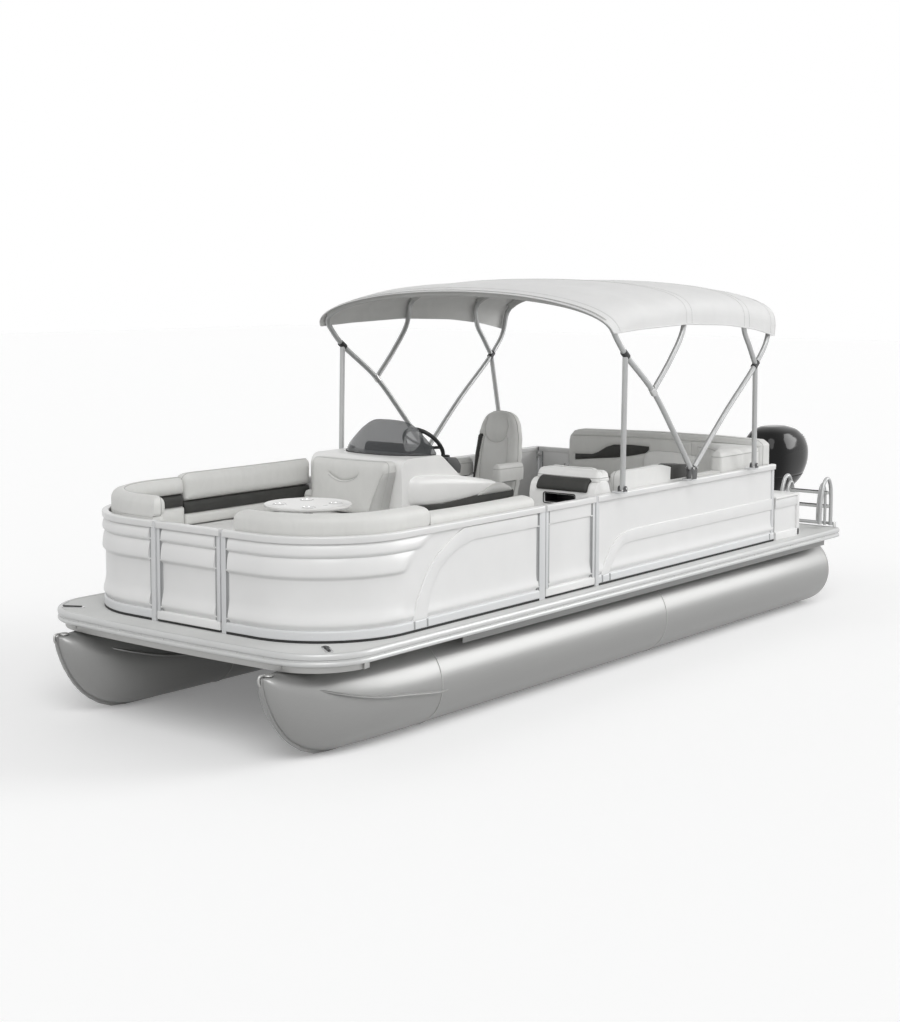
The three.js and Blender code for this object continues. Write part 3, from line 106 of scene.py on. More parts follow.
@dataclass
class ShaderGroup:
    """A shader node group with named inputs that gives a Height and a Mask."""

    name: str
    inputs: dict[str, float]
    tree: Optional[bpy.types.NodeTree] = None

    def start(self) -> tuple[bpy.types.Node, bpy.types.Node]:
        """Makes the tree and its sockets.

        Returns:
            The group's input node and output node.
        """
        self.tree = bpy.data.node_groups.new(self.name, "ShaderNodeTree")
        face = self.tree.interface
        face.new_socket("Vector", in_out="INPUT", socket_type="NodeSocketVector")
        for name, value in self.inputs.items():
            socket = face.new_socket(name, in_out="INPUT", socket_type="NodeSocketFloat")
            socket.default_value = value
        for name in ("Height", "Mask"):
            face.new_socket(name, in_out="OUTPUT", socket_type="NodeSocketFloat")
        return self.tree.nodes.new("NodeGroupInput"), self.tree.nodes.new("NodeGroupOutput")

    def node(self, kind: str, **settings: object) -> bpy.types.Node:
        """Adds a node to the tree and sets its properties.

        Args:
            kind: The node's type.
            settings: Its properties by name.

        Returns:
            The node.
        """
        made = self.tree.nodes.new(kind)
        for key, value in settings.items():
            setattr(made, key, value)
        return made

    def link(self, source: bpy.types.NodeSocket, target: bpy.types.NodeSocket) -> None:
        """Joins two sockets of the tree."""
        self.tree.links.new(source, target)

    def scaled(self, group_in: bpy.types.Node, factor: float, name: str = "Scale") -> bpy.types.NodeSocket:
        """An input value times a factor.

        Args:
            group_in: The group's input node.
            factor: What the value is multiplied by.
            name: The input's name.

        Returns:
            The socket that holds the product.
        """
        times = self.node("ShaderNodeMath", operation="MULTIPLY")
        self.link(group_in.outputs[name], times.inputs[0])
        times.inputs[1].default_value = factor
        return times.outputs[0]

    def noise(self, vector: bpy.types.NodeSocket, scale: bpy.types.NodeSocket, detail: float,
              distortion: float = 0.0) -> bpy.types.NodeSocket:
        """A noise texture's value.

        Args:
            vector: Where the pattern is read.
            scale: The pattern's scale.
            detail: How many finer layers it has.
            distortion: How far it is bent.

        Returns:
            The noise's factor socket.
        """
        made = self.node("ShaderNodeTexNoise", noise_dimensions="3D")
        self.link(vector, made.inputs["Vector"])
        self.link(scale, made.inputs["Scale"])
        made.inputs["Detail"].default_value = detail
        made.inputs["Distortion"].default_value = distortion
        return made.outputs["Fac"]

    def mixed(self, a: bpy.types.NodeSocket, b: bpy.types.NodeSocket, share: float) -> bpy.types.NodeSocket:
        """A blend of two values.

        Args:
            a: The first value.
            b: The second value.
            share: The second value's part of the result.

        Returns:
            The socket that holds the blend.
        """
        made = self.node("ShaderNodeMix", data_type="FLOAT")
        made.inputs[0].default_value = share
        self.link(a, made.inputs[2])
        self.link(b, made.inputs[3])
        return made.outputs[0]

    def stretched(self, group_in: bpy.types.Node, scale: Point) -> bpy.types.NodeSocket:
        """The coordinates stretched by a scale along each axis.

        Args:
            group_in: The group's input node.
            scale: The scale along each axis.

        Returns:
            The stretched coordinates' socket.
        """
        made = self.node("ShaderNodeMapping", vector_type="POINT")
        made.inputs["Scale"].default_value = scale
        self.link(group_in.outputs["Vector"], made.inputs["Vector"])
        return made.outputs["Vector"]


def peel_group() -> bpy.types.NodeTree:
    """Moulded or sprayed skin: a faint orange peel over broad swells.

    Returns:
        The group's node tree.
    """
    group = ShaderGroup("moulded skin", {"Scale": 90.0})
    a, z = group.start()
    fine = group.noise(a.outputs["Vector"], group.scaled(a, 1.0), 2.0)
    broad = group.noise(a.outputs["Vector"], group.scaled(a, 0.06), 2.0)
    group.link(group.mixed(fine, broad, 0.5), z.inputs["Height"])
    group.link(broad, z.inputs["Mask"])
    return group.tree


def grain_group() -> bpy.types.NodeTree:
    """Soft vinyl: fine pebbled cells and shallow creases that run across the padding.

    Returns:
        The group's node tree.
    """
    group = ShaderGroup("vinyl grain", {"Scale": 420.0})
    a, z = group.start()
    cells = group.node("ShaderNodeTexVoronoi", voronoi_dimensions="3D", feature="SMOOTH_F1")
    group.link(a.outputs["Vector"], cells.inputs["Vector"])
    group.link(group.scaled(a, 1.0), cells.inputs["Scale"])
    crease = group.noise(group.stretched(a, (1.0, 1.0, 0.45)), group.scaled(a, 0.034), 3.0, 0.9)
    group.link(group.mixed(cells.outputs["Distance"], crease, 0.82), z.inputs["Height"])
    group.link(crease, z.inputs["Mask"])
    return group.tree


def brushed_group() -> bpy.types.NodeTree:
    """Brushed or drawn metal: fine lines along the boat, with broad bright patches.

    Returns:
        The group's node tree.
    """
    group = ShaderGroup("brushed metal", {"Scale": 260.0})
    a, z = group.start()
    lines = group.noise(group.stretched(a, (0.03, 1.0, 1.0)), group.scaled(a, 1.0), 3.0)
    patches = group.noise(group.stretched(a, (0.5, 1.0, 1.0)), group.scaled(a, 0.018), 3.0, 0.4)
    group.link(lines, z.inputs["Height"])
    group.link(group.mixed(patches, lines, 0.25), z.inputs["Mask"])
    return group.tree


def weave_group() -> bpy.types.NodeTree:
    """Coated canvas: crossing threads under a coat, with the odd soft pucker.

    Returns:
        The group's node tree.
    """
    group = ShaderGroup("coated weave", {"Scale": 300.0})
    a, z = group.start()
    threads = []
    for axis in ("X", "Y"):
        wave = group.node("ShaderNodeTexWave", wave_type="BANDS", bands_direction=axis)
        group.link(a.outputs["Vector"], wave.inputs["Vector"])
        group.link(group.scaled(a, 1.0), wave.inputs["Scale"])
        threads.append(wave.outputs["Fac"])
    cloth = group.mixed(threads[0], threads[1], 0.5)
    pucker = group.noise(a.outputs["Vector"], group.scaled(a, 0.02), 3.0, 0.6)
    group.link(group.mixed(cloth, pucker, 0.8), z.inputs["Height"])
    group.link(pucker, z.inputs["Mask"])
    return group.tree


def ribbed_group() -> bpy.types.NodeTree:
    """Marine flooring: narrow ribs along the boat with worn lanes between them.

    Returns:
        The group's node tree.
    """
    group = ShaderGroup("ribbed flooring", {"Scale": 24.0})
    a, z = group.start()
    wave = group.node("ShaderNodeTexWave", wave_type="BANDS", bands_direction="Y")
    group.link(a.outputs["Vector"], wave.inputs["Vector"])
    group.link(group.scaled(a, 1.0), wave.inputs["Scale"])
    worn = group.noise(a.outputs["Vector"], group.scaled(a, 0.12), 4.0)
    group.link(wave.outputs["Fac"], z.inputs["Height"])
    group.link(group.mixed(worn, wave.outputs["Fac"], 0.35), z.inputs["Mask"])
    return group.tree


def cast_group() -> bpy.types.NodeTree:
    """Cast or moulded texture: a fine even stipple.

    Returns:
        The group's node tree.
    """
    group = ShaderGroup("cast texture", {"Scale": 500.0})
    a, z = group.start()
    stipple = group.noise(a.outputs["Vector"], group.scaled(a, 1.0), 1.0)
    broad = group.noise(a.outputs["Vector"], group.scaled(a, 0.02), 3.0)
    group.link(stipple, z.inputs["Height"])
    group.link(broad, z.inputs["Mask"])
    return group.tree


GROUP_MAKERS: dict[Texture, Callable[[], bpy.types.NodeTree]] = {
    Texture.PEEL: peel_group,
    Texture.GRAIN: grain_group,
    Texture.BRUSHED: brushed_group,
    Texture.WEAVE: weave_group,
    Texture.RIBBED: ribbed_group,
    Texture.CAST: cast_group,
}
GROUPS: dict[Texture, bpy.types.NodeTree] = {}


def texture_group(texture: Texture) -> bpy.types.NodeTree:
    """The shader group of a texture, built at its first use."""
    if texture not in GROUPS:
        GROUPS[texture] = GROUP_MAKERS[texture]()
    return GROUPS[texture]


# ---------------------------------------------------------------------------------------------
# Finishes
# ---------------------------------------------------------------------------------------------


@dataclass(frozen=True)
class Finish:
    """A surface finish: its colour, how it shines, and the texture that it carries.

    ``slot`` names the record's material slot that pieces with this finish belong to.
    """

    name: str
    slot: str
    colour: Colour
    roughness: float
    texture: Texture
    scale: float
    depth: float = 0.0006
    variation: float = 0.08
    polish: float = 0.06
    metallic: float = 0.0
    coat: float = 0.0
    sheen: float = 0.0
    alpha: float = 1.0
    strength: float = 0.5
    gloss: float = 0.5

    def build(self) -> bpy.types.Material:
        """The finish's material, made at its first use.

        Returns:
            The material, with its texture group wired to colour, roughness and bump.
        """
        made = bpy.data.materials.get(self.name)
        if made:
            return made
        made = bpy.data.materials.new(self.name)
        made.use_nodes = True
        tree = made.node_tree
        shader = tree.nodes["Principled BSDF"]
        place = tree.nodes.new("ShaderNodeTexCoord")
        group = tree.nodes.new("ShaderNodeGroup")
        group.node_tree = texture_group(self.texture)
        group.inputs["Scale"].default_value = self.scale
        tree.links.new(place.outputs["Object"], group.inputs["Vector"])

        colour = tree.nodes.new("ShaderNodeMix")
        colour.data_type = "RGBA"
        low = [c * (1 - self.variation) for c in self.colour]
        high = [min(1.0, c * (1 + 0.4 * self.variation)) for c in self.colour]
        colour.inputs[6].default_value = (*low, 1.0)
        colour.inputs[7].default_value = (*high, 1.0)
        tree.links.new(group.outputs["Mask"], colour.inputs[0])
        tree.links.new(colour.outputs[2], shader.inputs["Base Color"])

        gloss = tree.nodes.new("ShaderNodeMapRange")
        gloss.inputs["To Min"].default_value = max(0.02, self.roughness - self.polish)
        gloss.inputs["To Max"].default_value = min(1.0, self.roughness + self.polish)
        tree.links.new(group.outputs["Mask"], gloss.inputs["Value"])
        tree.links.new(gloss.outputs["Result"], shader.inputs["Roughness"])

        bump = tree.nodes.new("ShaderNodeBump")
        bump.inputs["Strength"].default_value = self.strength
        bump.inputs["Distance"].default_value = self.depth
        tree.links.new(group.outputs["Height"], bump.inputs["Height"])
        tree.links.new(bump.outputs["Normal"], shader.inputs["Normal"])

        shader.inputs["Metallic"].default_value = self.metallic
        shader.inputs["Specular IOR Level"].default_value = self.gloss
        shader.inputs["Coat Weight"].default_value = self.coat
        shader.inputs["Coat Roughness"].default_value = 0.08
        shader.inputs["Sheen Weight"].default_value = self.sheen
        shader.inputs["Alpha"].default_value = self.alpha
        return made


TUBE_METAL = Finish("rolled_aluminium", "tube_aluminium", (0.335, 0.335, 0.33), 0.36, Texture.BRUSHED, 90.0,
                    depth=0.0004, variation=0.10, polish=0.05, metallic=0.5)
WELD_METAL = Finish("weld_bead", "tube_aluminium", (0.50, 0.50, 0.49), 0.42, Texture.CAST, 300.0,
                    depth=0.0008, variation=0.2, metallic=0.8)
FRAME_METAL = Finish("mill_aluminium", "frame_aluminium", (0.48, 0.48, 0.47), 0.48, Texture.BRUSHED, 240.0,
                     variation=0.14, metallic=0.7)
# A darker copy of the frame aluminium for the side skirts: painted shade under the deck's overhang.
SKIRT_METAL_PAINTED_SHADE = Finish("skirt_aluminium", "frame_aluminium", (0.30, 0.30, 0.297), 0.45, Texture.BRUSHED, 240.0,
                     variation=0.12, metallic=0.5)
RAIL_METAL = Finish("anodised_rail", "rail_aluminium", (0.62, 0.625, 0.62), 0.38, Texture.BRUSHED, 240.0,
                    depth=0.0003, variation=0.08, metallic=0.25, coat=0.1)
POLISHED_TUBE = Finish("polished_tube", "bow_aluminium", (0.50, 0.505, 0.505), 0.40, Texture.BRUSHED, 300.0,
                       depth=0.0002, variation=0.1, metallic=0.55)
FENCE_PAINT = Finish("panel_paint", "panel_white", (0.80, 0.80, 0.795), 0.34, Texture.PEEL, 120.0,
                     depth=0.0003, variation=0.035, coat=0.12)
FENCE_BAND = Finish("panel_band_paint", "panel_white", (0.79, 0.79, 0.785), 0.36, Texture.PEEL, 120.0,
                    depth=0.0003, variation=0.05, coat=0.2)
FENCE_RAIL = Finish("fence_rail_paint", "panel_white", (0.78, 0.78, 0.775), 0.33, Texture.BRUSHED, 200.0,
                    depth=0.0002, variation=0.05, coat=0.3)
FENCE_POST = Finish("fence_post_paint", "panel_white", (0.66, 0.668, 0.675), 0.34, Texture.BRUSHED, 200.0,
                    depth=0.0002, variation=0.06, coat=0.2)
FENCE_SEAL = Finish("panel_edge_seal", "panel_white", (0.36, 0.366, 0.37), 0.5, Texture.CAST, 400.0,
                    depth=0.0003, variation=0.15)
DECK_VINYL = Finish("deck_flooring", "deck_covering", (0.70, 0.705, 0.695), 0.74, Texture.RIBBED, 24.0,
                    depth=0.002, variation=0.16)
SHELL = Finish("moulded_shell", "shell_white", (0.86, 0.857, 0.845), 0.4, Texture.PEEL, 140.0,
               depth=0.0005, variation=0.05, coat=0.2)
SEAT_VINYL = Finish("seat_vinyl", "vinyl_grey", (0.70, 0.70, 0.68), 0.52, Texture.GRAIN, 420.0,
                    depth=0.0015, variation=0.07, sheen=0.15)
SEAT_PALE = Finish("seat_vinyl_pale", "vinyl_grey", (0.80, 0.80, 0.785), 0.5, Texture.GRAIN, 420.0,
                   depth=0.0013, variation=0.06, sheen=0.15)
SEAT_ACCENT = Finish("seat_vinyl_charcoal", "vinyl_grey", (0.048, 0.048, 0.045), 0.56, Texture.GRAIN, 420.0,
                     depth=0.0016, variation=0.25, sheen=0.04, gloss=0.3)
PIPING = Finish("seat_piping", "vinyl_grey", (0.50, 0.50, 0.485), 0.5, Texture.GRAIN, 900.0,
                depth=0.0004, variation=0.1)
# A darker grey copy of the seat vinyl: painted shade on faces that turn away from the light, namely the
# console backrest's side panel and the helm's side cushion.
SEAT_PAINTED_SHADE = Finish("seat_vinyl_side", "vinyl_grey", (0.53, 0.53, 0.515), 0.54, Texture.GRAIN, 420.0,
                    depth=0.0015, variation=0.08, sheen=0.1)
CANVAS_SLEEVE = Finish("canopy_sleeve", "canvas_white", (0.55, 0.55, 0.54), 0.85, Texture.WEAVE, 280.0,
                       depth=0.002, variation=0.12)
CANVAS_THREAD = Finish("canvas_thread", "canvas_white", (0.70, 0.70, 0.695), 0.7, Texture.WEAVE, 1200.0,
                       depth=0.0002, variation=0.12)
THREAD = Finish("stitch_thread", "vinyl_grey", (0.42, 0.42, 0.41), 0.7, Texture.WEAVE, 1200.0,
                depth=0.0002, variation=0.15)
TABLE_GLOSS = Finish("table_laminate", "table_white", (0.82, 0.815, 0.8), 0.3, Texture.PEEL, 90.0,
                     depth=0.0003, variation=0.04, coat=0.4)
CANVAS_TOP = Finish("canopy_canvas", "canvas_white", (0.80, 0.80, 0.795), 0.78, Texture.WEAVE, 280.0,
                    depth=0.004, variation=0.07, sheen=0.1)
CANVAS_UNDER = Finish("canopy_lining", "canvas_white", (0.78, 0.78, 0.765), 0.85, Texture.WEAVE, 280.0,
                      depth=0.003, variation=0.12)
WHEEL_GRIP = Finish("wheel_grip", "wheel_black", (0.016, 0.016, 0.017), 0.42, Texture.GRAIN, 700.0,
                    depth=0.0012, variation=0.3)
BLACK_PLASTIC = Finish("black_plastic", "wheel_black", (0.022, 0.022, 0.023), 0.46, Texture.CAST, 600.0,
                       depth=0.0004, variation=0.3)
CONTROL_GREY = Finish("control_grey", "wheel_black", (0.085, 0.086, 0.088), 0.42, Texture.CAST, 500.0,
                      depth=0.0004, variation=0.2)
GAUGE_FACE = Finish("gauge_face", "wheel_black", (0.02, 0.021, 0.024), 0.2, Texture.PEEL, 80.0,
                    depth=0.0001, variation=0.2, gloss=0.5)
COWL_GLOSS = Finish("cowl_gloss", "engine_black", (0.003, 0.003, 0.0032), 0.10, Texture.PEEL, 60.0,
                    depth=0.0001, variation=0.3, polish=0.03, gloss=0.22)
ENGINE_SATIN = Finish("engine_satin", "engine_grey", (0.012, 0.0125, 0.013), 0.34, Texture.PEEL, 160.0,
                      depth=0.0006, variation=0.25, gloss=0.4)
PROP_METAL = Finish("propeller_metal", "propeller_grey", (0.07, 0.072, 0.075), 0.3, Texture.BRUSHED, 260.0,
                    depth=0.0003, variation=0.25, metallic=0.6)
STAINLESS = Finish("stainless", "bow_aluminium", (0.62, 0.62, 0.62), 0.2, Texture.BRUSHED, 600.0,
                   depth=0.0002, variation=0.12, metallic=0.95)
SMOKED = Finish("smoked_acrylic", "smoked_acrylic", (0.022, 0.023, 0.025), 0.07, Texture.PEEL, 20.0,
                depth=0.0002, variation=0.2, polish=0.03, alpha=0.925, gloss=0.3)
RUBBER = Finish("black_rubber", "wheel_black", (0.02, 0.02, 0.02), 0.7, Texture.CAST, 400.0, depth=0.0005)


# ---------------------------------------------------------------------------------------------
# Mesh making
# ---------------------------------------------------------------------------------------------


@dataclass
class Shape:
    """A mesh being made: points, faces and each face's finish number."""

    points: list[Point] = field(default_factory=list)
    faces: list[tuple[int, ...]] = field(default_factory=list)
    marks: list[int] = field(default_factory=list)

    def add(self, points: Iterable[Sequence[float]], faces: Iterable[Sequence[int]],
            mark: int = 0) -> "Shape":
        """Adds points and faces.

        Args:
            points: The new points.
            faces: Faces that count from the first new point.
            mark: The finish number of the new faces.

        Returns:
            This shape.
        """
        start = len(self.points)
        self.points.extend(tuple(float(c) for c in p) for p in points)
        for face in faces:
            self.faces.append(tuple(start + i for i in face))
            self.marks.append(mark)
        return self

    def join(self, other: "Shape", mark: Optional[int] = None) -> "Shape":
        """Adds another shape, with its own finish numbers or one for all of it.

        Args:
            other: The shape to add.
            mark: The one finish number, where its own aren't kept.

        Returns:
            This shape.
        """
        start = len(self.points)
        self.points.extend(other.points)
        self.faces.extend(tuple(start + i for i in face) for face in other.faces)
        self.marks.extend(other.marks if mark is None else [mark] * len(other.faces))
        return self

    def placed(self, matrix: Matrix) -> "Shape":
        """A copy carried through a matrix, with its faces kept outward.

        Args:
            matrix: What carries the copy.

        Returns:
            The copy.
        """
        flip = matrix.determinant() < 0
        points = [tuple(matrix @ Vector(p)) for p in self.points]
        faces = [tuple(reversed(f)) if flip else f for f in self.faces]
        return Shape(points, faces, list(self.marks))

    def mirrored(self) -> "Shape":
        """A copy mirrored across the centreline."""
        return self.placed(Matrix.Scale(-1, 4, (0, 1, 0)))


@dataclass(frozen=True)
class Dressing:
    """How a shape is finished: its finishes, the angle below which edges shade smooth, and its bevel."""

    finishes: tuple[Finish, ...]
    smooth_deg: float = 30.0
    bevel: float = 0.0
    bevel_segments: int = 2
    bevel_deg: float = 30.0


def make_piece(name: str, shape: Shape, dressing: Dressing, body: str = "hull",
               replaces: Sequence[str] = ()) -> bpy.types.Object:
    """Turns a shape into a finished piece that rides on a body.

    Args:
        name: The piece's name.
        shape: Its points and faces in the row frame.
        dressing: Its finishes and edge treatment.
        body: The body that it moves with.
        replaces: CAD nodes that it stands for.

    Returns:
        The piece's object.
    """
    mesh = bpy.data.meshes.new(name)
    mesh.from_pydata(shape.points, [], shape.faces)
    for finish in dressing.finishes:
        mesh.materials.append(finish.build())
    mesh.polygons.foreach_set("material_index", shape.marks)
    work = bmesh.new()
    work.from_mesh(mesh)
    bmesh.ops.remove_doubles(work, verts=work.verts, dist=2e-6)
    bmesh.ops.dissolve_degenerate(work, edges=work.edges, dist=1e-6)
    bmesh.ops.recalc_face_normals(work, faces=work.faces)
    if work.calc_volume(signed=True) < 0:
        bmesh.ops.reverse_faces(work, faces=work.faces)
    work.to_mesh(mesh)
    work.free()
    mesh.validate()
    piece = bpy.data.objects.new(name, mesh)
    bpy.context.scene.collection.objects.link(piece)
    if dressing.bevel > 0:
        edge = piece.modifiers.new("edge", "BEVEL")
        edge.width = dressing.bevel
        edge.segments = dressing.bevel_segments
        edge.limit_method = "ANGLE"
        edge.angle_limit = math.radians(dressing.bevel_deg)
        edge.use_clamp_overlap = True
        edge.miter_outer = "MITER_ARC"
    bake(piece)
    piece.data.shade_smooth()
    piece.data.set_sharp_from_angle(angle=math.radians(dressing.smooth_deg))
    settle(piece, dressing.finishes[0].slot, body, replaces)
    return piece


def bake(piece: bpy.types.Object) -> None:
    """Applies a piece's modifiers to its mesh.

    Args:
        piece: The piece, whose modifiers are cleared.
    """
    if not piece.modifiers:
        return
    bpy.context.view_layer.update()
    graph = bpy.context.evaluated_depsgraph_get()
    done = bpy.data.meshes.new_from_object(piece.evaluated_get(graph), depsgraph=graph)
    old = piece.data
    piece.modifiers.clear()
    piece.data = done
    bpy.data.meshes.remove(old)


def settle(piece: bpy.types.Object, slot: str, body: str, replaces: Sequence[str] = ()) -> None:
    """Rides a piece on its body, hides the nodes it stands for, and logs it.

    Args:
        piece: The finished piece.
        slot: The record's material slot; not used.
        body: The body that it moves with.
        replaces: CAD nodes that it stands for.
    """
    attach(piece, body)
    if replaces:
        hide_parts(*replaces)
    LOG.info("%s: %d faces on %s", piece.name, len(piece.data.polygons), body)


def ring_skin(rings: Sequence[Sequence[Sequence[float]]], closed: bool = True, caps: bool = True,
              mark: int = 0) -> Shape:
    """A skin through rings of matching points.

    Args:
        rings: The rings, each with the same number of points.
        closed: Whether each ring joins its last point to its first.
        caps: Whether the first and last rings are filled.
        mark: The finish number.

    Returns:
        The skin as a shape.
    """
    count = len(rings[0])
    faces: list[tuple[int, ...]] = []
    for r in range(len(rings) - 1):
        for i in range(count if closed else count - 1):
            j = (i + 1) % count
            faces.append((r * count + i, r * count + j, (r + 1) * count + j, (r + 1) * count + i))
    if caps:
        faces.append(tuple(reversed(range(count))))
        faces.append(tuple((len(rings) - 1) * count + i for i in range(count)))
    return Shape().add([p for ring in rings for p in ring], faces, mark)


def smooth_line(points: Sequence[Sequence[float]], step: float) -> list[Vector]:
    """A smooth curve through points, sampled at an even step.

    Args:
        points: What the curve passes through.
        step: The distance between samples.

    Returns:
        The samples, ends included.
    """
    knots = [Vector(p) for p in points]
    if len(knots) == 2:
        fine = [knots[0].lerp(knots[1], k / 8) for k in range(9)]
    else:
        ends = [knots[0] * 2 - knots[1], *knots, knots[-1] * 2 - knots[-2]]
        fine = []
        for i in range(1, len(ends) - 2):
            a, b, c, d = ends[i - 1:i + 3]
            times = [0.0]
            for p, q in ((a, b), (b, c), (c, d)):
                times.append(times[-1] + max((q - p).length, 1e-6) ** 0.5)
            for k in range(12):
                t = times[1] + (times[2] - times[1]) * k / 12
                fine.append(catmull(a, b, c, d, times, t))
        fine.append(knots[-1])
    return resample(fine, step)


def catmull(a: Vector, b: Vector, c: Vector, d: Vector, times: Sequence[float], t: float) -> Vector:
    """A point on the centripetal curve between b and c.

    Args:
        a: The knot before the span.
        b: The span's start.
        c: The span's end.
        d: The knot after the span.
        times: The knots' times.
        t: The time of the wanted point.

    Returns:
        The point.
    """
    def blend(p: Vector, q: Vector, t0: float, t1: float) -> Vector:
        """The two points mixed by time."""
        return p * ((t1 - t) / (t1 - t0)) + q * ((t - t0) / (t1 - t0))

    t0, t1, t2, t3 = times
    ab, bc, cd = blend(a, b, t0, t1), blend(b, c, t1, t2), blend(c, d, t2, t3)
    return blend(blend(ab, bc, t0, t2), blend(bc, cd, t1, t3), t1, t2)


def resample(points: Sequence[Vector], step: float) -> list[Vector]:
    """Points at an even distance along a polyline, ends included.

    Args:
        points: The polyline's points.
        step: The distance between samples.

    Returns:
        The samples.
    """
    lengths = [0.0]
    for p, q in zip(points, points[1:]):
        lengths.append(lengths[-1] + (q - p).length)
    count = max(2, int(round(lengths[-1] / step)) + 1)
    result = []
    k = 0
    for i in range(count):
        goal = lengths[-1] * i / (count - 1)
        while k < len(points) - 2 and lengths[k + 1] < goal:
            k += 1
        span = max(lengths[k + 1] - lengths[k], 1e-9)
        result.append(points[k].lerp(points[k + 1], (goal - lengths[k]) / span))
    return result


def tube(points: Sequence[Sequence[float]], radius: float, sides: int = 16, closed: bool = False,
         mark: int = 0, radii: Optional[Sequence[float]] = None) -> Shape:
    """A round tube along a polyline.

    Args:
        points: The tube's centreline.
        radius: Its radius.
        sides: How many sides the section has.
        closed: Whether the line joins its end to its start.
        mark: The finish number.
        radii: A radius at each point, in place of the one radius.

    Returns:
        The tube as a shape.
    """
    line = [Vector(p) for p in points]
    count = len(line)
    tangents = []
    for i in range(count):
        before = line[(i - 1) % count] if closed or i else line[0]
        after = line[(i + 1) % count] if closed or i < count - 1 else line[-1]
        tangents.append((after - before).normalized())
    normal = tangents[0].orthogonal().normalized()
    rings = []
    for i, (point, along) in enumerate(zip(line, tangents)):
        normal = (normal - along * normal.dot(along)).normalized()
        across = along.cross(normal)
        r = radii[i] if radii else radius
        rings.append([point + normal * (r * math.cos(a)) + across * (r * math.sin(a))
                      for a in round_angles(sides)])
    if closed:
        rings.append(rings[0])
    return ring_skin(rings, True, not closed, mark)


def turned(profile: Sequence[Flat], sides: int = 40, mark: int = 0) -> Shape:
    """A turned form about Z from a profile of (radius, height)."""
    rings = [[(r * math.cos(a), r * math.sin(a), z) for a in round_angles(sides)] for r, z in profile]
    return ring_skin(rings, True, True, mark)


def oblong(x0: float, y0: float, x1: float, y1: float) -> list[Flat]:
    """The corners of an upright rectangle, from one of its corners to the opposite one."""
    return [(x0, y0), (x1, y0), (x1, y1), (x0, y1)]


def round_angles(count: int) -> list[float]:
    """Evenly spaced angles, once round."""
    return [2 * math.pi * k / count for k in range(count)]


def block(lo: Sequence[float], hi: Sequence[float], mark: int = 0) -> Shape:
    """A box between two corners.

    Args:
        lo: One corner.
        hi: The opposite corner.
        mark: The finish number.

    Returns:
        The box as a shape.
    """
    (x0, y0, z0), (x1, y1, z1) = lo, hi
    points = [(x, y, z) for z in (z0, z1) for x, y in oblong(x0, y0, x1, y1)]
    faces = [(3, 2, 1, 0), (4, 5, 6, 7), (0, 1, 5, 4), (1, 2, 6, 5), (2, 3, 7, 6), (3, 0, 4, 7)]
    return Shape().add(points, faces, mark)


class Axis(Enum):
    """The axis along which a flat profile is carried."""

    X = 0
    Y = 1
    Z = 2

    def point(self, u: float, v: float, w: float) -> Point:
        """The point at (u, v) of the profile, w along the axis.

        Args:
            u: How far across the profile.
            v: How far up the profile.
            w: How far along the axis.

        Returns:
            The point.
        """
        if self is Axis.X:
            return (w, u, v)
        if self is Axis.Y:
            return (u, w, v)
        return (u, v, w)


def rounded(points: Sequence[Flat], radius: float | Sequence[float], steps: int = 5) -> list[Flat]:
    """A polygon with its corners rounded.

    Args:
        points: The polygon's corners.
        radius: One radius, or one for each corner.
        steps: How many spans each corner gets.

    Returns:
        The rounded polygon.
    """
    radii = [radius] * len(points) if isinstance(radius, (int, float)) else list(radius)
    result: list[Flat] = []
    count = len(points)
    for i, corner in enumerate(points):
        here = Vector(corner)
        back = Vector(points[i - 1]) - here
        on = Vector(points[(i + 1) % count]) - here
        reach = min(radii[i], 0.48 * back.length, 0.48 * on.length)
        if reach < 1e-5 or abs(back.normalized().dot(on.normalized())) > 0.999:
            result.append(tuple(here))
            continue
        a, b = here + back.normalized() * reach, here + on.normalized() * reach
        for k in range(steps + 1):
            t = k / steps
            result.append(tuple(a * (1 - t) ** 2 + here * (2 * t * (1 - t)) + b * t ** 2))
    return result


def extruded(profile: Sequence[Flat], axis: Axis, low: float, high: float, mark: int = 0) -> Shape:
    """A flat profile carried along an axis from low to high."""
    rings = [[axis.point(u, v, w) for u, v in profile] for w in (low, high)]
    return ring_skin(rings, True, True, mark)


def arc_path(half: float, front: float, corner: float, crown: float, start: float, end: float,
             steps: int = 36) -> list[Flat]:
    """The port half of a bow outline, from near the centreline round the corner to a station aft.

    Args:
        half: Half width aft of the corner.
        front: Station of the middle of the bow.
        corner: The corner's radius.
        crown: How far the middle stands ahead of the corner.
        start: Distance from the centreline where the path begins.
        end: Station where it ends.
        steps: How many spans the corner gets.

    Returns:
        Points (station, offset), forward edge first.
    """
    flat = half - corner
    points = []
    for k in range(9):
        y = start + (flat - start) * k / 8
        points.append((front - crown * (y / half) ** 2, y))
    shoulder = points[-1][0]
    for k in range(1, steps + 1):
        a = k / steps * math.pi / 2
        points.append((shoulder - corner + corner * math.cos(a), flat + corner * math.sin(a)))
    points.append((end, half))
    return points


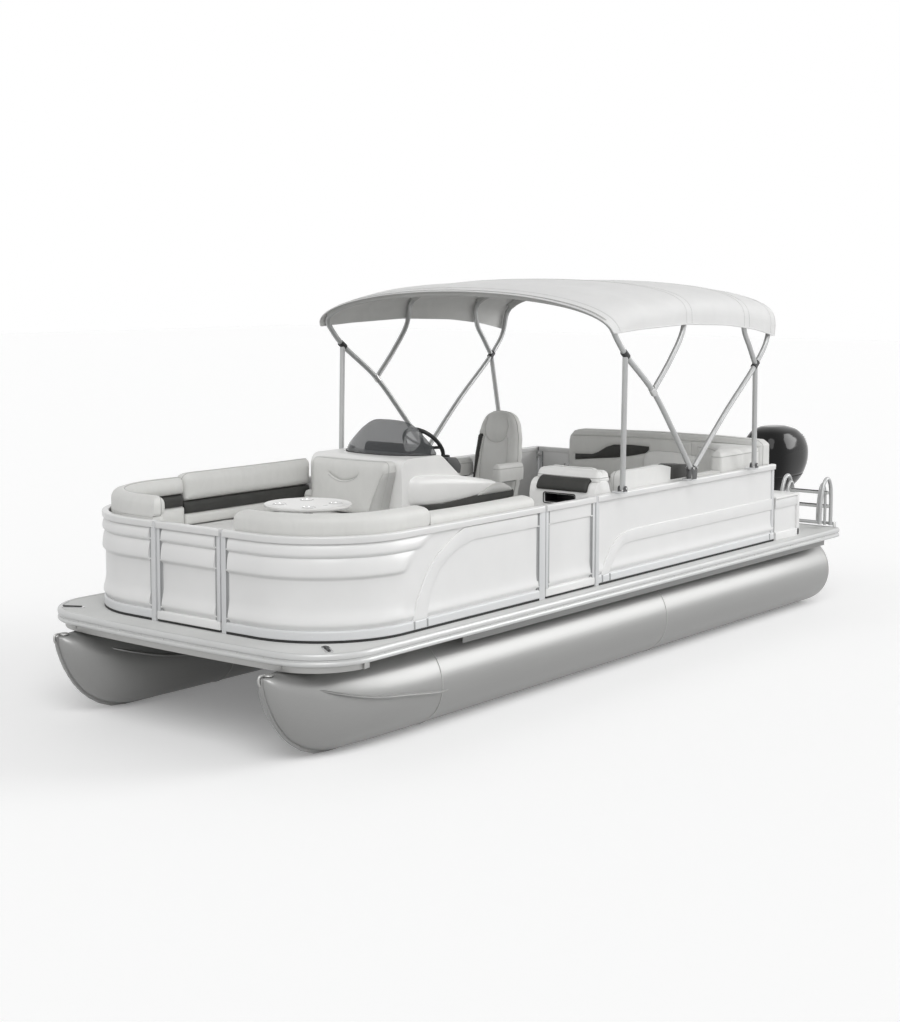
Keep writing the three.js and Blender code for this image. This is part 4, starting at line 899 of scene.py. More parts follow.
def swept(path: Sequence[Flat], profile: Sequence[Flat] | Callable[[float], Sequence[Flat]],
          closed: bool = False, mark: int = 0, caps: bool = True) -> Shape:
    """An upright profile carried along a plan path.

    Args:
        path: Points (station, offset); outward is on the right of its direction.
        profile: Points (outward, height), or what gives them for a station.
        closed: Whether the path joins its end to its start.
        mark: The finish number.
        caps: Whether open ends are filled.

    Returns:
        The swept shape.
    """
    count = len(path)
    rings = []
    for i in range(count):
        x, y = path[i]
        before = path[(i - 1) % count] if closed or i else None
        after = path[(i + 1) % count] if closed or i < count - 1 else None
        into = Vector((x - before[0], y - before[1])).normalized() if before else None
        out = Vector((after[0] - x, after[1] - y)).normalized() if after else None
        into, out = into or out, out or into
        along = (into + out).normalized()
        stretch = 1 / max(along.dot(into), 0.5)
        normal = Vector((along.y, -along.x)) * stretch
        section = profile(x) if callable(profile) else profile
        rings.append([(st(x + normal.x * o), y + normal.y * o, z) for o, z in section])
    if closed:
        rings.append(rings[0])
    return ring_skin(rings, True, caps and not closed, mark)


# ---------------------------------------------------------------------------------------------
# Padded pieces
# ---------------------------------------------------------------------------------------------


def gaps_to(points: np.ndarray, line: np.ndarray, closed: bool) -> np.ndarray:
    """Each point's distance to a polyline.

    Args:
        points: Points, one a row.
        line: The polyline's corners.
        closed: Whether its last corner joins its first.

    Returns:
        The distances.
    """
    ends = np.roll(line, -1, axis=0) if closed else line[1:]
    starts = line if closed else line[:-1]
    best = np.full(len(points), 1e9)
    for a, b in zip(starts, ends):
        run = b - a
        share = np.clip(((points - a) @ run) / max(run @ run, 1e-12), 0.0, 1.0)
        best = np.minimum(best, np.linalg.norm(points - (a + share[:, None] * run), axis=1))
    return best


def inside(points: np.ndarray, ring: np.ndarray) -> np.ndarray:
    """Whether each point lies within a closed ring.

    Args:
        points: Points, one a row.
        ring: The ring's corners.

    Returns:
        True for each point within it.
    """
    result = np.zeros(len(points), dtype=bool)
    for (x0, y0), (x1, y1) in zip(ring, np.roll(ring, -1, axis=0)):
        crosses = (y0 > points[:, 1]) != (y1 > points[:, 1])
        with np.errstate(divide="ignore", invalid="ignore"):
            at = (x1 - x0) * (points[:, 1] - y0) / (y1 - y0) + x0
        result ^= crosses & (points[:, 0] < at)
    return result


@dataclass
class Pad:
    """A padded piece over a flat outline: crowned panels between seams, with soft rounded edges.

    ``place`` carries (u, v, w) to the row frame; w runs from the pad's back to its crown.
    """

    name: str
    outline: list[Flat]
    thickness: float
    place: Callable[[float, float, float], Point]
    edge: float = 0.034
    crown: float = 0.014
    pull: float = 0.004
    seams: list[list[Flat]] = field(default_factory=list)
    seam_depth: float = 0.010
    step: float = 0.022
    accent: Optional[Callable[[float, float], bool]] = None
    piping: bool = True
    welt: float = 0.0032
    fill: float = 0.8
    soft: float = 0.0018
    finish: Finish = SEAT_VINYL
    second: Finish = SEAT_ACCENT
    body: str = "hull"
    replaces: tuple[str, ...] = ()
    swell: Callable[[float, float], float] = lambda u, v: 0.0

    def ring(self) -> np.ndarray:
        """The outline at an even spacing, its runs drawn in a little between the corners.

        Returns:
            The ring's points, anticlockwise.
        """
        corners = [Vector(p) for p in self.outline]
        area = sum(a.x * b.y - b.x * a.y for a, b in zip(corners, corners[1:] + corners[:1]))
        if area < 0:
            corners.reverse()
        points: list[Vector] = []
        for a, b in zip(corners, corners[1:] + corners[:1]):
            run = b - a
            count = max(1, int(round(run.length / self.step)))
            inward = Vector((-run.y, run.x)).normalized()
            for k in range(count):
                t = k / count
                draw = self.pull * min(1.0, run.length / 0.3) * math.sin(math.pi * t)
                points.append(a + run * t + inward * draw)
        return np.array([tuple(p) for p in points])

    def plan(self) -> tuple[np.ndarray, list[tuple[int, ...]], np.ndarray]:
        """Cuts the outline into small triangles that follow its edge and its seams.

        Returns:
            The points, the triangles, and the ring's numbers among the points.
        """
        ring = self.ring()
        lines = [np.array([tuple(p) for p in resample([Vector((*q, 0)).to_2d() for q in s], self.step * 0.8)])
                 for s in self.seams]
        extra: list[np.ndarray] = []
        nxt, prv = np.roll(ring, -1, axis=0), np.roll(ring, 1, axis=0)
        along = nxt - prv
        along /= np.maximum(np.linalg.norm(along, axis=1, keepdims=True), 1e-9)
        inward = np.stack([-along[:, 1], along[:, 0]], axis=1)
        levels = [self.edge * s for s in (0.14, 0.4, 0.8)]
        for level in levels:
            moved = ring + inward * level
            held = np.abs(gaps_to(moved, ring, True) - level) < level * 0.12
            extra.append(moved[held & inside(moved, ring)])
        rows = []
        for line in lines:
            run = np.gradient(line, axis=0)
            run /= np.maximum(np.linalg.norm(run, axis=1, keepdims=True), 1e-9)
            side = np.stack([-run[:, 1], run[:, 0]], axis=1)
            for off in (0.0, 0.0055, -0.0055, 0.014, -0.014):
                rows.append(line + side * off)
        if rows:
            rows = [r[inside(r, ring)] for r in rows]
            rows = [r[gaps_to(r, ring, True) > self.edge * 0.2] for r in rows]
            extra = [e[self.seam_gap(e) > 0.017] if len(e) else e for e in extra]
            extra.extend(rows)
        low, high = ring.min(axis=0), ring.max(axis=0)
        grid = np.stack(np.meshgrid(np.arange(low[0], high[0], self.step),
                                    np.arange(low[1], high[1], self.step)), axis=-1).reshape(-1, 2)
        grid = grid[inside(grid, ring)]
        grid = grid[gaps_to(grid, ring, True) > self.edge * 0.8 + self.step * 0.5]
        if rows and len(grid):
            grid = grid[self.seam_gap(grid) > 0.014 + self.step * 0.45]
        extra.append(grid)
        inner = np.concatenate([e for e in extra if len(e)])
        every = np.concatenate([ring, inner])
        out, _, faces, origin, _, _ = delaunay_2d_cdt(
            [Vector(p) for p in every], [], [list(range(len(ring)))], 1, 1e-5)
        flat = np.array([tuple(p) for p in out])
        where = {source: new for new, sources in enumerate(origin) for source in sources}
        return flat, [tuple(f) for f in faces], np.array([where[i] for i in range(len(ring))])

    def seam_gap(self, points: np.ndarray) -> np.ndarray:
        """Each point's distance to the nearest seam, or a long way where there is none.

        Args:
            points: Points over the outline, one a row.

        Returns:
            The distances.
        """
        best = np.full(len(points), 9.0)
        for seam in self.seams:
            best = np.minimum(best, gaps_to(points, np.array(seam), False))
        return best

    def heights(self, flat: np.ndarray) -> np.ndarray:
        """The padding's height over the back at each point.

        Args:
            flat: Points over the outline, one a row.

        Returns:
            The heights.
        """
        rim = gaps_to(flat, self.ring(), True)
        seam = self.seam_gap(flat)
        near = np.minimum(rim, seam + 0.006)
        reach = max(float(np.max(near)), 1e-3)
        inset = np.minimum(rim, self.edge)
        rise = np.sqrt(np.maximum(self.edge ** 2 - (self.edge - inset) ** 2, 0.0))
        swell = np.sin(np.clip(near / reach, 0, 1) * math.pi / 2) ** 0.8
        height = self.thickness - self.crown - self.edge + rise + self.crown * swell
        height -= self.seam_depth * np.exp(-(seam / 0.0075) ** 2)
        for i, (u, v) in enumerate(flat):
            fade = min(1.0, float(rim[i]) / 0.05)
            wave = noise.noise(Vector((u * 7.0, v * 7.0, self.thickness * 90.0)))
            fold = noise.noise(Vector((u * 21.0, v * 21.0, 3.1)))
            height[i] += fade * (self.soft * wave + 0.35 * self.soft * fold + self.swell(float(u), float(v)))
        return height

    def build(self) -> bpy.types.Object:
        """Makes the pad with its piping.

        Returns:
            The pad's object.
        """
        flat, faces, ring = self.plan()
        height = self.heights(flat)
        shape = Shape()
        front = [self.place(float(u), float(v), float(h)) for (u, v), h in zip(flat, height)]
        shape.add(front, [])
        for face in faces:
            centre = flat[list(face)].mean(axis=0)
            mark = 1 if self.accent and self.accent(float(centre[0]), float(centre[1])) else 0
            shape.faces.append(face)
            shape.marks.append(mark)
        wall = float(height[ring].mean())
        count = len(ring)
        previous = list(ring)
        for share, bulge in ((0.66, 0.0035), (0.33, 0.0035), (0.0, 0.0)):
            start = len(shape.points)
            loop = flat[ring]
            along = np.roll(loop, -1, axis=0) - np.roll(loop, 1, axis=0)
            along /= np.maximum(np.linalg.norm(along, axis=1, keepdims=True), 1e-9)
            outward = np.stack([along[:, 1], -along[:, 0]], axis=1)
            moved = loop + outward * bulge
            shape.points.extend(self.place(float(u), float(v), wall * share) for u, v in moved)
            for i in range(count):
                j = (i + 1) % count
                mid = (flat[ring[i]] + flat[ring[j]]) / 2
                mark = 1 if self.accent and self.accent(float(mid[0]), float(mid[1])) else 0
                shape.faces.append((previous[i], previous[j], start + j, start + i))
                shape.marks.append(mark)
            previous = list(range(start, start + count))
        start = len(shape.points)
        back_of = {int(r): previous[k] for k, r in enumerate(ring)}
        for i, (u, v) in enumerate(flat):
            if i not in back_of:
                back_of[i] = start
                shape.points.append(self.place(float(u), float(v), 0.0))
                start += 1
        for face in faces:
            shape.faces.append(tuple(back_of[i] for i in reversed(face)))
            shape.marks.append(0)
        if self.piping:
            rim = [self.place(float(flat[r][0]), float(flat[r][1]), wall - 0.001) for r in ring]
            shape.join(tube(rim, self.welt, 6, closed=True, mark=2))
            for seam in self.seams:
                shape.join(self.seam_cord(seam, flat, height))
        piece = make_piece(self.name, shape, Dressing((self.finish, self.second, PIPING), 50.0), self.body,
                           self.replaces)
        return piece

    def seam_cord(self, seam: Sequence[Flat], flat: np.ndarray, height: np.ndarray) -> Shape:
        """The sewn ridge that lies in a seam's groove.

        Args:
            seam: The seam's line over the outline.
            flat: The pad's points over the outline.
            height: Their heights.

        Returns:
            The ridge as a thin tube.
        """
        line = resample([Vector((*p, 0)).to_2d() for p in seam], self.step)
        spots = np.array([tuple(p) for p in line])
        ring = self.ring()
        spots = spots[inside(spots, ring)]
        if len(spots) < 3:
            return Shape()
        level = [float(height[np.argmin(np.sum((flat - s) ** 2, axis=1))]) for s in spots]
        stitch = [self.place(float(u), float(v), h + 0.0008) for (u, v), h in zip(spots, level)]
        return tube(stitch, 0.0016, 5, mark=2)


# ---------------------------------------------------------------------------------------------
# Geometry Nodes: what repeats along a line
# ---------------------------------------------------------------------------------------------


class Repeat(Enum):
    """The small parts that are set out along lines."""

    STITCH = "stitch"
    SCREW = "screw"
    RIVET = "rivet"


@dataclass
class RunOfParts:
    """Small parts at an even pitch along lines, laid out by a Geometry Nodes tree.

    The tree resamples the line, turns each part to the line and its normal, and gives them the finish.
    """

    kind: Repeat
    pitch: float
    size: float
    finish: Finish

    def part(self) -> bpy.types.Object:
        """The one part that the run repeats, its flat face on Z = 0 and its length along X.

        Returns:
            The part's object, which stays out of the scene.
        """
        name = f"one_{self.kind.value}_{int(self.size * 1e5)}"
        found = bpy.data.objects.get(name)
        if found:
            return found
        if self.kind is Repeat.STITCH:
            line = [(-0.5, 0, -0.12), (-0.36, 0, 0.1), (0, 0, 0.18), (0.36, 0, 0.1), (0.5, 0, -0.12)]
            shape = tube([Vector(p) * self.size for p in line], self.size * 0.16, 5)
        elif self.kind is Repeat.SCREW:
            head = [(0.0, -0.3), (0.5, -0.3), (0.5, 0.02), (0.42, 0.16), (0.22, 0.25), (0.2, 0.12),
                    (0.0, 0.12)]
            shape = turned([(max(r, 0.001) * self.size, z * self.size) for r, z in head], 10)
        else:
            head = [(0.0, -0.2), (0.5, -0.2), (0.44, 0.14), (0.24, 0.26), (0.0, 0.3)]
            shape = turned([(max(r, 0.001) * self.size, z * self.size) for r, z in head], 8)
        mesh = bpy.data.meshes.new(name)
        mesh.from_pydata(shape.points, [], shape.faces)
        mesh.materials.append(self.finish.build())
        return bpy.data.objects.new(name, mesh)

    def tree(self) -> bpy.types.NodeTree:
        """The Geometry Nodes tree, with inputs for the pitch and the finish.

        Returns:
            The tree, made at its first use.
        """
        name = f"run_of_{self.kind.value}"
        found = bpy.data.node_groups.get(name)
        if found:
            return found
        made = bpy.data.node_groups.new(name, "GeometryNodeTree")
        face = made.interface
        face.new_socket("Geometry", in_out="INPUT", socket_type="NodeSocketGeometry")
        face.new_socket("Pitch", in_out="INPUT", socket_type="NodeSocketFloat")
        face.new_socket("Part", in_out="INPUT", socket_type="NodeSocketObject")
        face.new_socket("Finish", in_out="INPUT", socket_type="NodeSocketMaterial")
        face.new_socket("Geometry", in_out="OUTPUT", socket_type="NodeSocketGeometry")
        node = made.nodes.new
        start, end = node("NodeGroupInput"), node("NodeGroupOutput")
        curve = node("GeometryNodeMeshToCurve")
        even = node("GeometryNodeResampleCurve")
        even.mode = "LENGTH"
        keep = node("GeometryNodeCaptureAttribute")
        keep.domain = "POINT"
        keep.capture_items.new("VECTOR", "Up")
        read = node("GeometryNodeInputNamedAttribute")
        read.data_type = "FLOAT_VECTOR"
        read.inputs["Name"].default_value = "up"
        along = node("GeometryNodeInputTangent")
        face_up = node("FunctionNodeAlignRotationToVector")
        face_up.axis = "Z"
        turn = node("FunctionNodeAlignRotationToVector")
        turn.axis = "X"
        turn.pivot_axis = "Z"
        info = node("GeometryNodeObjectInfo")
        info.transform_space = "ORIGINAL"
        spread = node("GeometryNodeInstanceOnPoints")
        real = node("GeometryNodeRealizeInstances")
        paint = node("GeometryNodeSetMaterial")
        link = made.links.new
        link(start.outputs["Geometry"], keep.inputs["Geometry"])
        link(read.outputs["Attribute"], keep.inputs["Up"])
        link(keep.outputs["Geometry"], curve.inputs["Mesh"])
        link(curve.outputs["Curve"], even.inputs["Curve"])
        link(start.outputs["Pitch"], even.inputs["Length"])
        link(even.outputs["Curve"], spread.inputs["Points"])
        link(start.outputs["Part"], info.inputs["Object"])
        link(info.outputs["Geometry"], spread.inputs["Instance"])
        link(keep.outputs["Up"], face_up.inputs["Vector"])
        link(face_up.outputs["Rotation"], turn.inputs["Rotation"])
        link(along.outputs["Tangent"], turn.inputs["Vector"])
        link(turn.outputs["Rotation"], spread.inputs["Rotation"])
        link(spread.outputs["Instances"], real.inputs["Geometry"])
        link(real.outputs["Geometry"], paint.inputs["Geometry"])
        link(start.outputs["Finish"], paint.inputs["Material"])
        link(paint.outputs["Geometry"], end.inputs["Geometry"])
        return made

    def lay(self, name: str, lines: Sequence[tuple[Sequence[Point], Point | Sequence[Point]]],
            body: str = "hull") -> bpy.types.Object:
        """Lays the parts along lines.

        Args:
            name: The piece's name.
            lines: Each line's points with the direction that its parts face, or one for each point.
            body: The body that the piece rides on.

        Returns:
            The parts as one mesh piece.
        """
        points: list[Point] = []
        edges: list[tuple[int, int]] = []
        ups: list[float] = []
        for line, up in lines:
            start = len(points)
            points.extend(tuple(p) for p in line)
            edges.extend((start + i, start + i + 1) for i in range(len(line) - 1))
            each = [up] * len(line) if isinstance(up[0], (int, float)) else up
            for direction in each:
                ups.extend(direction)
        mesh = bpy.data.meshes.new(name)
        mesh.from_pydata(points, edges, [])
        attribute = mesh.attributes.new("up", "FLOAT_VECTOR", "POINT")
        attribute.data.foreach_set("vector", ups)
        piece = bpy.data.objects.new(name, mesh)
        bpy.context.scene.collection.objects.link(piece)
        tree = self.tree()
        nodes = piece.modifiers.new("run", "NODES")
        nodes.node_group = tree
        values = {"Pitch": self.pitch, "Part": self.part(), "Finish": self.finish.build()}
        for socket in tree.interface.items_tree:
            if socket.in_out == "INPUT" and socket.name in values:
                nodes[socket.identifier] = values[socket.name]
        bake(piece)
        piece.data.shade_smooth()
        settle(piece, self.finish.slot, body)
        return piece


# ---------------------------------------------------------------------------------------------
# Tubes, frame and deck
# ---------------------------------------------------------------------------------------------


@dataclass
class Pontoon:
    """A round aluminium tube with a formed nose, weld seams, keel and spray strakes."""

    side: Side
    offset: float = TUBE_OFFSET
    stern: float = -6.618
    # The straight tube's half width, waist height, top and bottom.
    barrel: tuple[float, ...] = (0.287, 0.297, 0.584, 0.010)
    # Sections of the nose: station, half width, waist height, top and bottom.
    sections: tuple[tuple[float, ...], ...] = (
        (-1.225, *barrel), (-0.900, 0.284, 0.300, 0.584, 0.010),
        (-0.620, 0.266, 0.312, 0.583, 0.012), (-0.400, 0.234, 0.340, 0.576, 0.024),
        (-0.220, 0.190, 0.380, 0.560, 0.086), (-0.090, 0.140, 0.425, 0.550, 0.186),
        (0.000, 0.092, 0.462, 0.547, 0.310), (0.055, 0.046, 0.500, 0.545, 0.430),
        (0.072, 0.020, 0.514, 0.541, 0.480))
    welds: tuple[float, ...] = (-1.225, -3.90)
    sides: int = 64

    def ring(self, x: float, half: float, waist: float, top: float, bottom: float) -> list[Point]:
        """One section of the tube.

        Args:
            x: The section's station.
            half: Its half width.
            waist: The height where it is widest.
            top: The height of its top.
            bottom: The height of its bottom.

        Returns:
            The section's points.
        """
        y0 = self.offset * self.side.value
        points = []
        for k in range(self.sides):
            a = 2 * math.pi * k / self.sides
            rise = math.sin(a)
            z = waist + rise * ((top - waist) if rise > 0 else (waist - bottom))
            points.append((st(x), y0 + half * math.cos(a), z))
        return points

    def skin(self) -> Shape:
        """The tube's skin, with its end cap pressed in at the stern.

        Returns:
            The skin as a shape.
        """
        nose = np.array(self.sections)
        stations = list(np.linspace(-1.225, 0.072, 44))
        rows = []
        knots = nose[:, 0]
        for x in stations:
            rows.append([x] + [self.eased(knots, nose[:, c], x) for c in range(1, 5)])
        straight = [(self.stern + 0.002, 0.250, 0.297, 0.547, 0.047),
                    (self.stern + 0.008, 0.272, 0.297, 0.569, 0.025),
                    (self.stern + 0.022, 0.284, 0.297, 0.581, 0.013), (self.stern + 0.05, *self.barrel)]
        straight += [(x, *self.barrel) for x in (-5.4, -4.2, -3.0, -1.9)]
        return ring_skin([self.ring(*row) for row in (*straight, *rows)])

    @staticmethod
    def eased(knots: np.ndarray, values: np.ndarray, x: float) -> float:
        """A value of the nose's sections at a station, without corners between them.

        Args:
            knots: The sections' stations.
            values: The value at each of them.
            x: The wanted station.

        Returns:
            The value there.
        """
        slopes = np.gradient(values, knots)
        i = int(np.clip(np.searchsorted(knots, x) - 1, 0, len(knots) - 2))
        h = knots[i + 1] - knots[i]
        t = (x - knots[i]) / h
        return float((2 * t ** 3 - 3 * t ** 2 + 1) * values[i] + (t ** 3 - 2 * t ** 2 + t) * h * slopes[i]
                     + (3 * t ** 2 - 2 * t ** 3) * values[i + 1] + (t ** 3 - t ** 2) * h * slopes[i + 1])

    def keel(self) -> Shape:
        """The keel strip that runs under the tube and up the stem of the nose.

        Returns:
            The strip as a shape.
        """
        line = [(self.stern + 0.04, 0.0), (-0.47, 0.0), (-0.35, 0.011), (-0.255, 0.046), (-0.175, 0.095),
                (-0.11, 0.148), (-0.055, 0.208), (-0.01, 0.272), (0.025, 0.342), (0.055, 0.410),
                (0.082, 0.478), (0.088, 0.540), (0.05, 0.54), (0.0, 0.40), (-0.09, 0.24), (-0.25, 0.11),
                (-0.65, 0.06), (self.stern + 0.04, 0.04)]
        y = self.offset * self.side.value
        return extruded([(st(x), z) for x, z in line], Axis.Y, y - 0.011, y + 0.011)

    def strake(self, hand: int) -> Shape:
        """A spray strake that climbs along one side of the nose.

        Args:
            hand: 1 for its port side and -1 for its starboard side.

        Returns:
            The strake as a folded strip.
        """
        y0 = self.offset * self.side.value
        rows = smooth_line([(-1.32, 0.272, 0.262), (-1.215, 0.275, 0.264), (-0.90, 0.276, 0.305),
                            (-0.56, 0.254, 0.352), (-0.27, 0.186, 0.428), (-0.20, 0.160, 0.452)], 0.05)
        rings = []
        for i, (x, y, z) in enumerate(rows):
            reach = 0.026 * min(1.0, i / 3, (len(rows) - 1 - i) / 3) + 0.004
            inner, outer = y0 + hand * (y - 0.012), y0 + hand * (y + reach)
            rings.append([(st(x), inner, z - 0.016), (st(x), outer, z - 0.007),
                          (st(x), outer + hand * 0.002, z), (st(x), outer, z + 0.003),
                          (st(x), inner, z + 0.010)])
        return ring_skin(rings)

    def weld(self, x: float) -> Shape:
        """A weld bead round the tube at a station.

        Args:
            x: The bead's station.

        Returns:
            The bead as a thin tube.
        """
        ring = self.ring(x, 0.2875, 0.297, 0.5845, 0.0095)
        line = []
        for k, p in enumerate(ring):
            wobble = 0.0007 * math.sin(k * 2.9)
            line.append((p[0] + wobble, p[1], p[2]))
        return tube(line, 0.0038, 6, closed=True)

    def build(self) -> None:
        """Makes the tube, its keel, strakes, welds and fittings."""
        name = f"{self.side.word}_tube"
        make_piece(f"{name}_skin", self.skin(), Dressing((TUBE_METAL,), 60.0),
                   replaces=(f"{self.side.word}_pontoon",))
        y = self.offset * self.side.value
        trim = self.keel().join(self.strake(1)).join(self.strake(-1))
        make_piece(f"{name}_keel_and_strakes", trim, Dressing((TUBE_METAL,), bevel=0.0015))
        beads = Shape()
        for x in self.welds:
            beads.join(self.weld(x))
        make_piece(f"{name}_welds", beads, Dressing((WELD_METAL,), 60.0))
        eye = Shape()
        loop = [(st(0.045), y, 0.5), (st(0.085), y, 0.5), (st(0.097), y, 0.528), (st(0.09), y, 0.552),
                (st(0.05), y, 0.556)]
        eye.join(tube(smooth_line(loop, 0.006), 0.0075, 10))
        eye.join(turned([(0.001, 0), (0.034, 0), (0.032, 0.006), (0.02, 0.01), (0.001, 0.011)], 24)
                 .placed(Matrix.Translation((st(0.02), y, 0.548))))
        make_piece(f"{name}_nose_eye", eye, Dressing((WELD_METAL,), 50.0))


@dataclass
class DeckEdge:
    """The deck with its flooring, the two-ridge edge rail, the frame below and the rail's screws."""

    half: float = 1.295
    length: float = 6.62
    corner: float = 0.43
    crown: float = 0.05

    def outline(self, inset: float) -> list[Flat]:
        """The deck's outline drawn in by an inset, starboard side first.

        Args:
            inset: How far it is drawn in.

        Returns:
            Points (station, offset).
        """
        port = arc_path(self.half - inset, -inset, self.corner - inset, self.crown, 0.0,
                        -self.length + 0.06, 28)
        port.append((-self.length + 0.018 + inset, self.half - 0.018 - inset))
        port.append((-self.length + inset, self.half - 0.06))
        starboard = [(x, -y) for x, y in reversed(port) if y > 1e-6]
        return port + starboard

    def rail(self) -> Shape:
        """The edge rail: two rounded ridges with a groove between, and a lip over the flooring.

        Returns:
            The rail as a shape.
        """
        profile = [(-0.030, 0.602), (-0.012, 0.600), (-0.004, 0.603), (0.0, 0.609), (0.0, 0.620),
                   (-0.004, 0.627), (-0.009, 0.629), (-0.0095, 0.637), (-0.006, 0.640), (0.0, 0.644),
                   (0.0015, 0.654), (0.0, 0.666), (-0.004, 0.674), (-0.010, 0.6775), (-0.026, 0.6775),
                   (-0.030, 0.676)]
        path = self.outline(0.0)
        return swept(list(reversed(path)) if self.leftward(path) else path, profile, closed=True)

    @staticmethod
    def leftward(path: Sequence[Flat]) -> bool:
        """Whether a closed path runs so that its outward side is on the left."""
        area = sum(a[0] * b[1] - b[0] * a[1] for a, b in zip(path, [*path[1:], path[0]]))
        return area < 0

    def flooring(self) -> Shape:
        """The deck boards under their ribbed flooring, with a rolled edge.

        Returns:
            The flooring as a shape.
        """
        outer = [(st(x), y) for x, y in self.outline(0.0305)]
        inner = [(st(x), y) for x, y in self.outline(0.034)]
        rings = [[(x, y, 0.6491) for x, y in outer], [(x, y, 0.6725) for x, y in outer],
                 [(x, y, 0.675) for x, y in inner]]
        return ring_skin(rings)

    def screws(self) -> None:
        """Screws along the groove of the edge rail, at an even pitch."""
        lines = []
        for sign in (1, -1):
            path = arc_path(self.half - 0.0095, -0.0095, self.corner - 0.0095, self.crown, 0.0, -6.5, 28)
            fine = resample([Vector((x, sign * y)) for x, y in path], 0.05)
            points = [(st(p.x), p.y, 0.633) for p in fine]
            ups = []
            for i, p in enumerate(fine):
                run = fine[min(i + 1, len(fine) - 1)] - fine[max(i - 1, 0)]
                out = Vector((-run.y, run.x)).normalized() * (-sign)
                ups.append((out.x, out.y, 0.0))
            lines.append((points, ups))
        RunOfParts(Repeat.SCREW, 0.203, 0.008, STAINLESS).lay("edge_rail_screws", lines)

    def frame_below(self) -> Shape:
        """Crossmembers, risers, side skirts and the bow fascia.

        Returns:
            The frame, its skirts with the second finish.
        """
        shape = Shape()
        top, bottom = 0.6486, 0.598
        for k in range(16):
            x = st(-0.33 - 0.405 * k)
            channel = [(x, bottom), (x + 0.04, bottom), (x + 0.04, bottom + 0.006),
                       (x + 0.006, bottom + 0.006), (x + 0.006, top - 0.006), (x + 0.04, top - 0.006),
                       (x + 0.04, top), (x, top)]
            shape.join(extruded(channel, Axis.Y, -1.225, 1.225))
        for sign in (1, -1):
            y = sign * TUBE_OFFSET
            riser = [(y - 0.058, 0.5781), (y - 0.058, 0.5975), (y + 0.058, 0.5975), (y + 0.058, 0.5781),
                     (y + 0.052, 0.5787), (y + 0.052, 0.592), (y - 0.052, 0.592), (y - 0.052, 0.5787)]
            shape.join(extruded(riser, Axis.X, st(-6.54), st(-0.33)))
            # The skirts take the second finish, whose darker aluminium is painted shade under the deck's
            # overhang.
            skirt = [(sign * 1.163, 0.522), (sign * 1.168, 0.522), (sign * 1.168, 0.5955),
                     (sign * 1.222, 0.5955), (sign * 1.222, 0.5975), (sign * 1.163, 0.5975)]
            shape.join(extruded(skirt, Axis.X, st(-6.54), st(-1.46)), 1)
        path = arc_path(self.half - 0.052, -0.04, self.corner - 0.04, self.crown, 0.0, -0.42, 20)
        whole = [(x, -y) for x, y in reversed(path) if y > 1e-6] + path
        fascia = [(0.0, 0.556), (0.0, 0.598), (-0.012, 0.598), (-0.012, 0.556)]
        shape.join(swept(whole, fascia))
        for y in (-TUBE_OFFSET, 0.0, TUBE_OFFSET):
            fore = -0.06 if y else -0.046
            shape.join(block((st(-0.34), y - 0.022, 0.574), (st(fore), y + 0.022, 0.5975)))
        return shape

    def cleats(self) -> None:
        """Makes the folding cleats let into the flooring at the bow's corners."""
        plates, bars = Shape(), Shape()
        plate = rounded(oblong(-0.085, -0.024, 0.085, 0.024), 0.022, 5)
        bar = rounded(oblong(-0.066, -0.009, 0.066, 0.009), 0.0085, 4)
        for x, y, turn in ((-0.180, -1.060, 28.0), (-0.275, 1.095, -36.0)):
            place = Matrix.Translation((st(x), y, 0.0)) @ Matrix.Rotation(math.radians(90.0 + turn), 4, "Z")
            plates.join(extruded(plate, Axis.Z, 0.6752, 0.6782).placed(place))
            bars.join(extruded(bar, Axis.Z, 0.6784, 0.6850).placed(place))
        make_piece("bow_cleat_plates", plates, Dressing((STAINLESS,), bevel=0.001))
        make_piece("bow_cleat_bars", bars, Dressing((BLACK_PLASTIC,), bevel=0.002))

    def build(self) -> None:
        """Makes the rail, flooring, frame and screws."""
        make_piece("deck_edge_ridges", self.rail(), Dressing((RAIL_METAL,), 34.0),
                   replaces=("deck_edge_rail",))
        make_piece("deck_flooring", self.flooring(), Dressing((DECK_VINYL,)), replaces=("deck_panel",))
        make_piece("under_deck_frame", self.frame_below(),
                   Dressing((FRAME_METAL, SKIRT_METAL_PAINTED_SHADE), bevel=0.0012), replaces=("under_frame",))
        ears = Shape()
        for y in (-0.219, 0.2055):
            profile = [(st(-6.64), 0.65), (st(-6.596), 0.65), (st(-6.596), 0.706), (st(-6.604), 0.718),
                       (st(-6.632), 0.718), (st(-6.64), 0.706)]
            ears.join(extruded(profile, Axis.Y, 1.010 + y, 1.010 + y + 0.0135))
        make_piece("ladder_ears", ears, Dressing((RAIL_METAL,), bevel=0.0015))
        self.cleats()
        self.screws()


# ---------------------------------------------------------------------------------------------
# Fences and gates
# ---------------------------------------------------------------------------------------------

RAIL_TOP = rounded([(0.006, 1.264), (0.008, 1.302), (0.0, 1.308), (-0.032, 1.308), (-0.038, 1.302),
                    (-0.038, 1.266)], [0.006, 0.006, 0.006, 0.006, 0.006, 0.004], 3)
RAIL_FOOT = rounded([(-0.038, 0.746), (-0.038, 0.690), (-0.002, 0.690), (0.0, 0.697), (-0.001, 0.738),
                     (-0.009, 0.7475)], [0.003, 0.003, 0.003, 0.003, 0.004, 0.002], 3)
# A dark rubber strip under the foot rail: painted shadow where the fence meets the deck.
BASE_SHADOW_STRIP = oblong(-0.036, 0.6756, -0.0015, 0.6898)
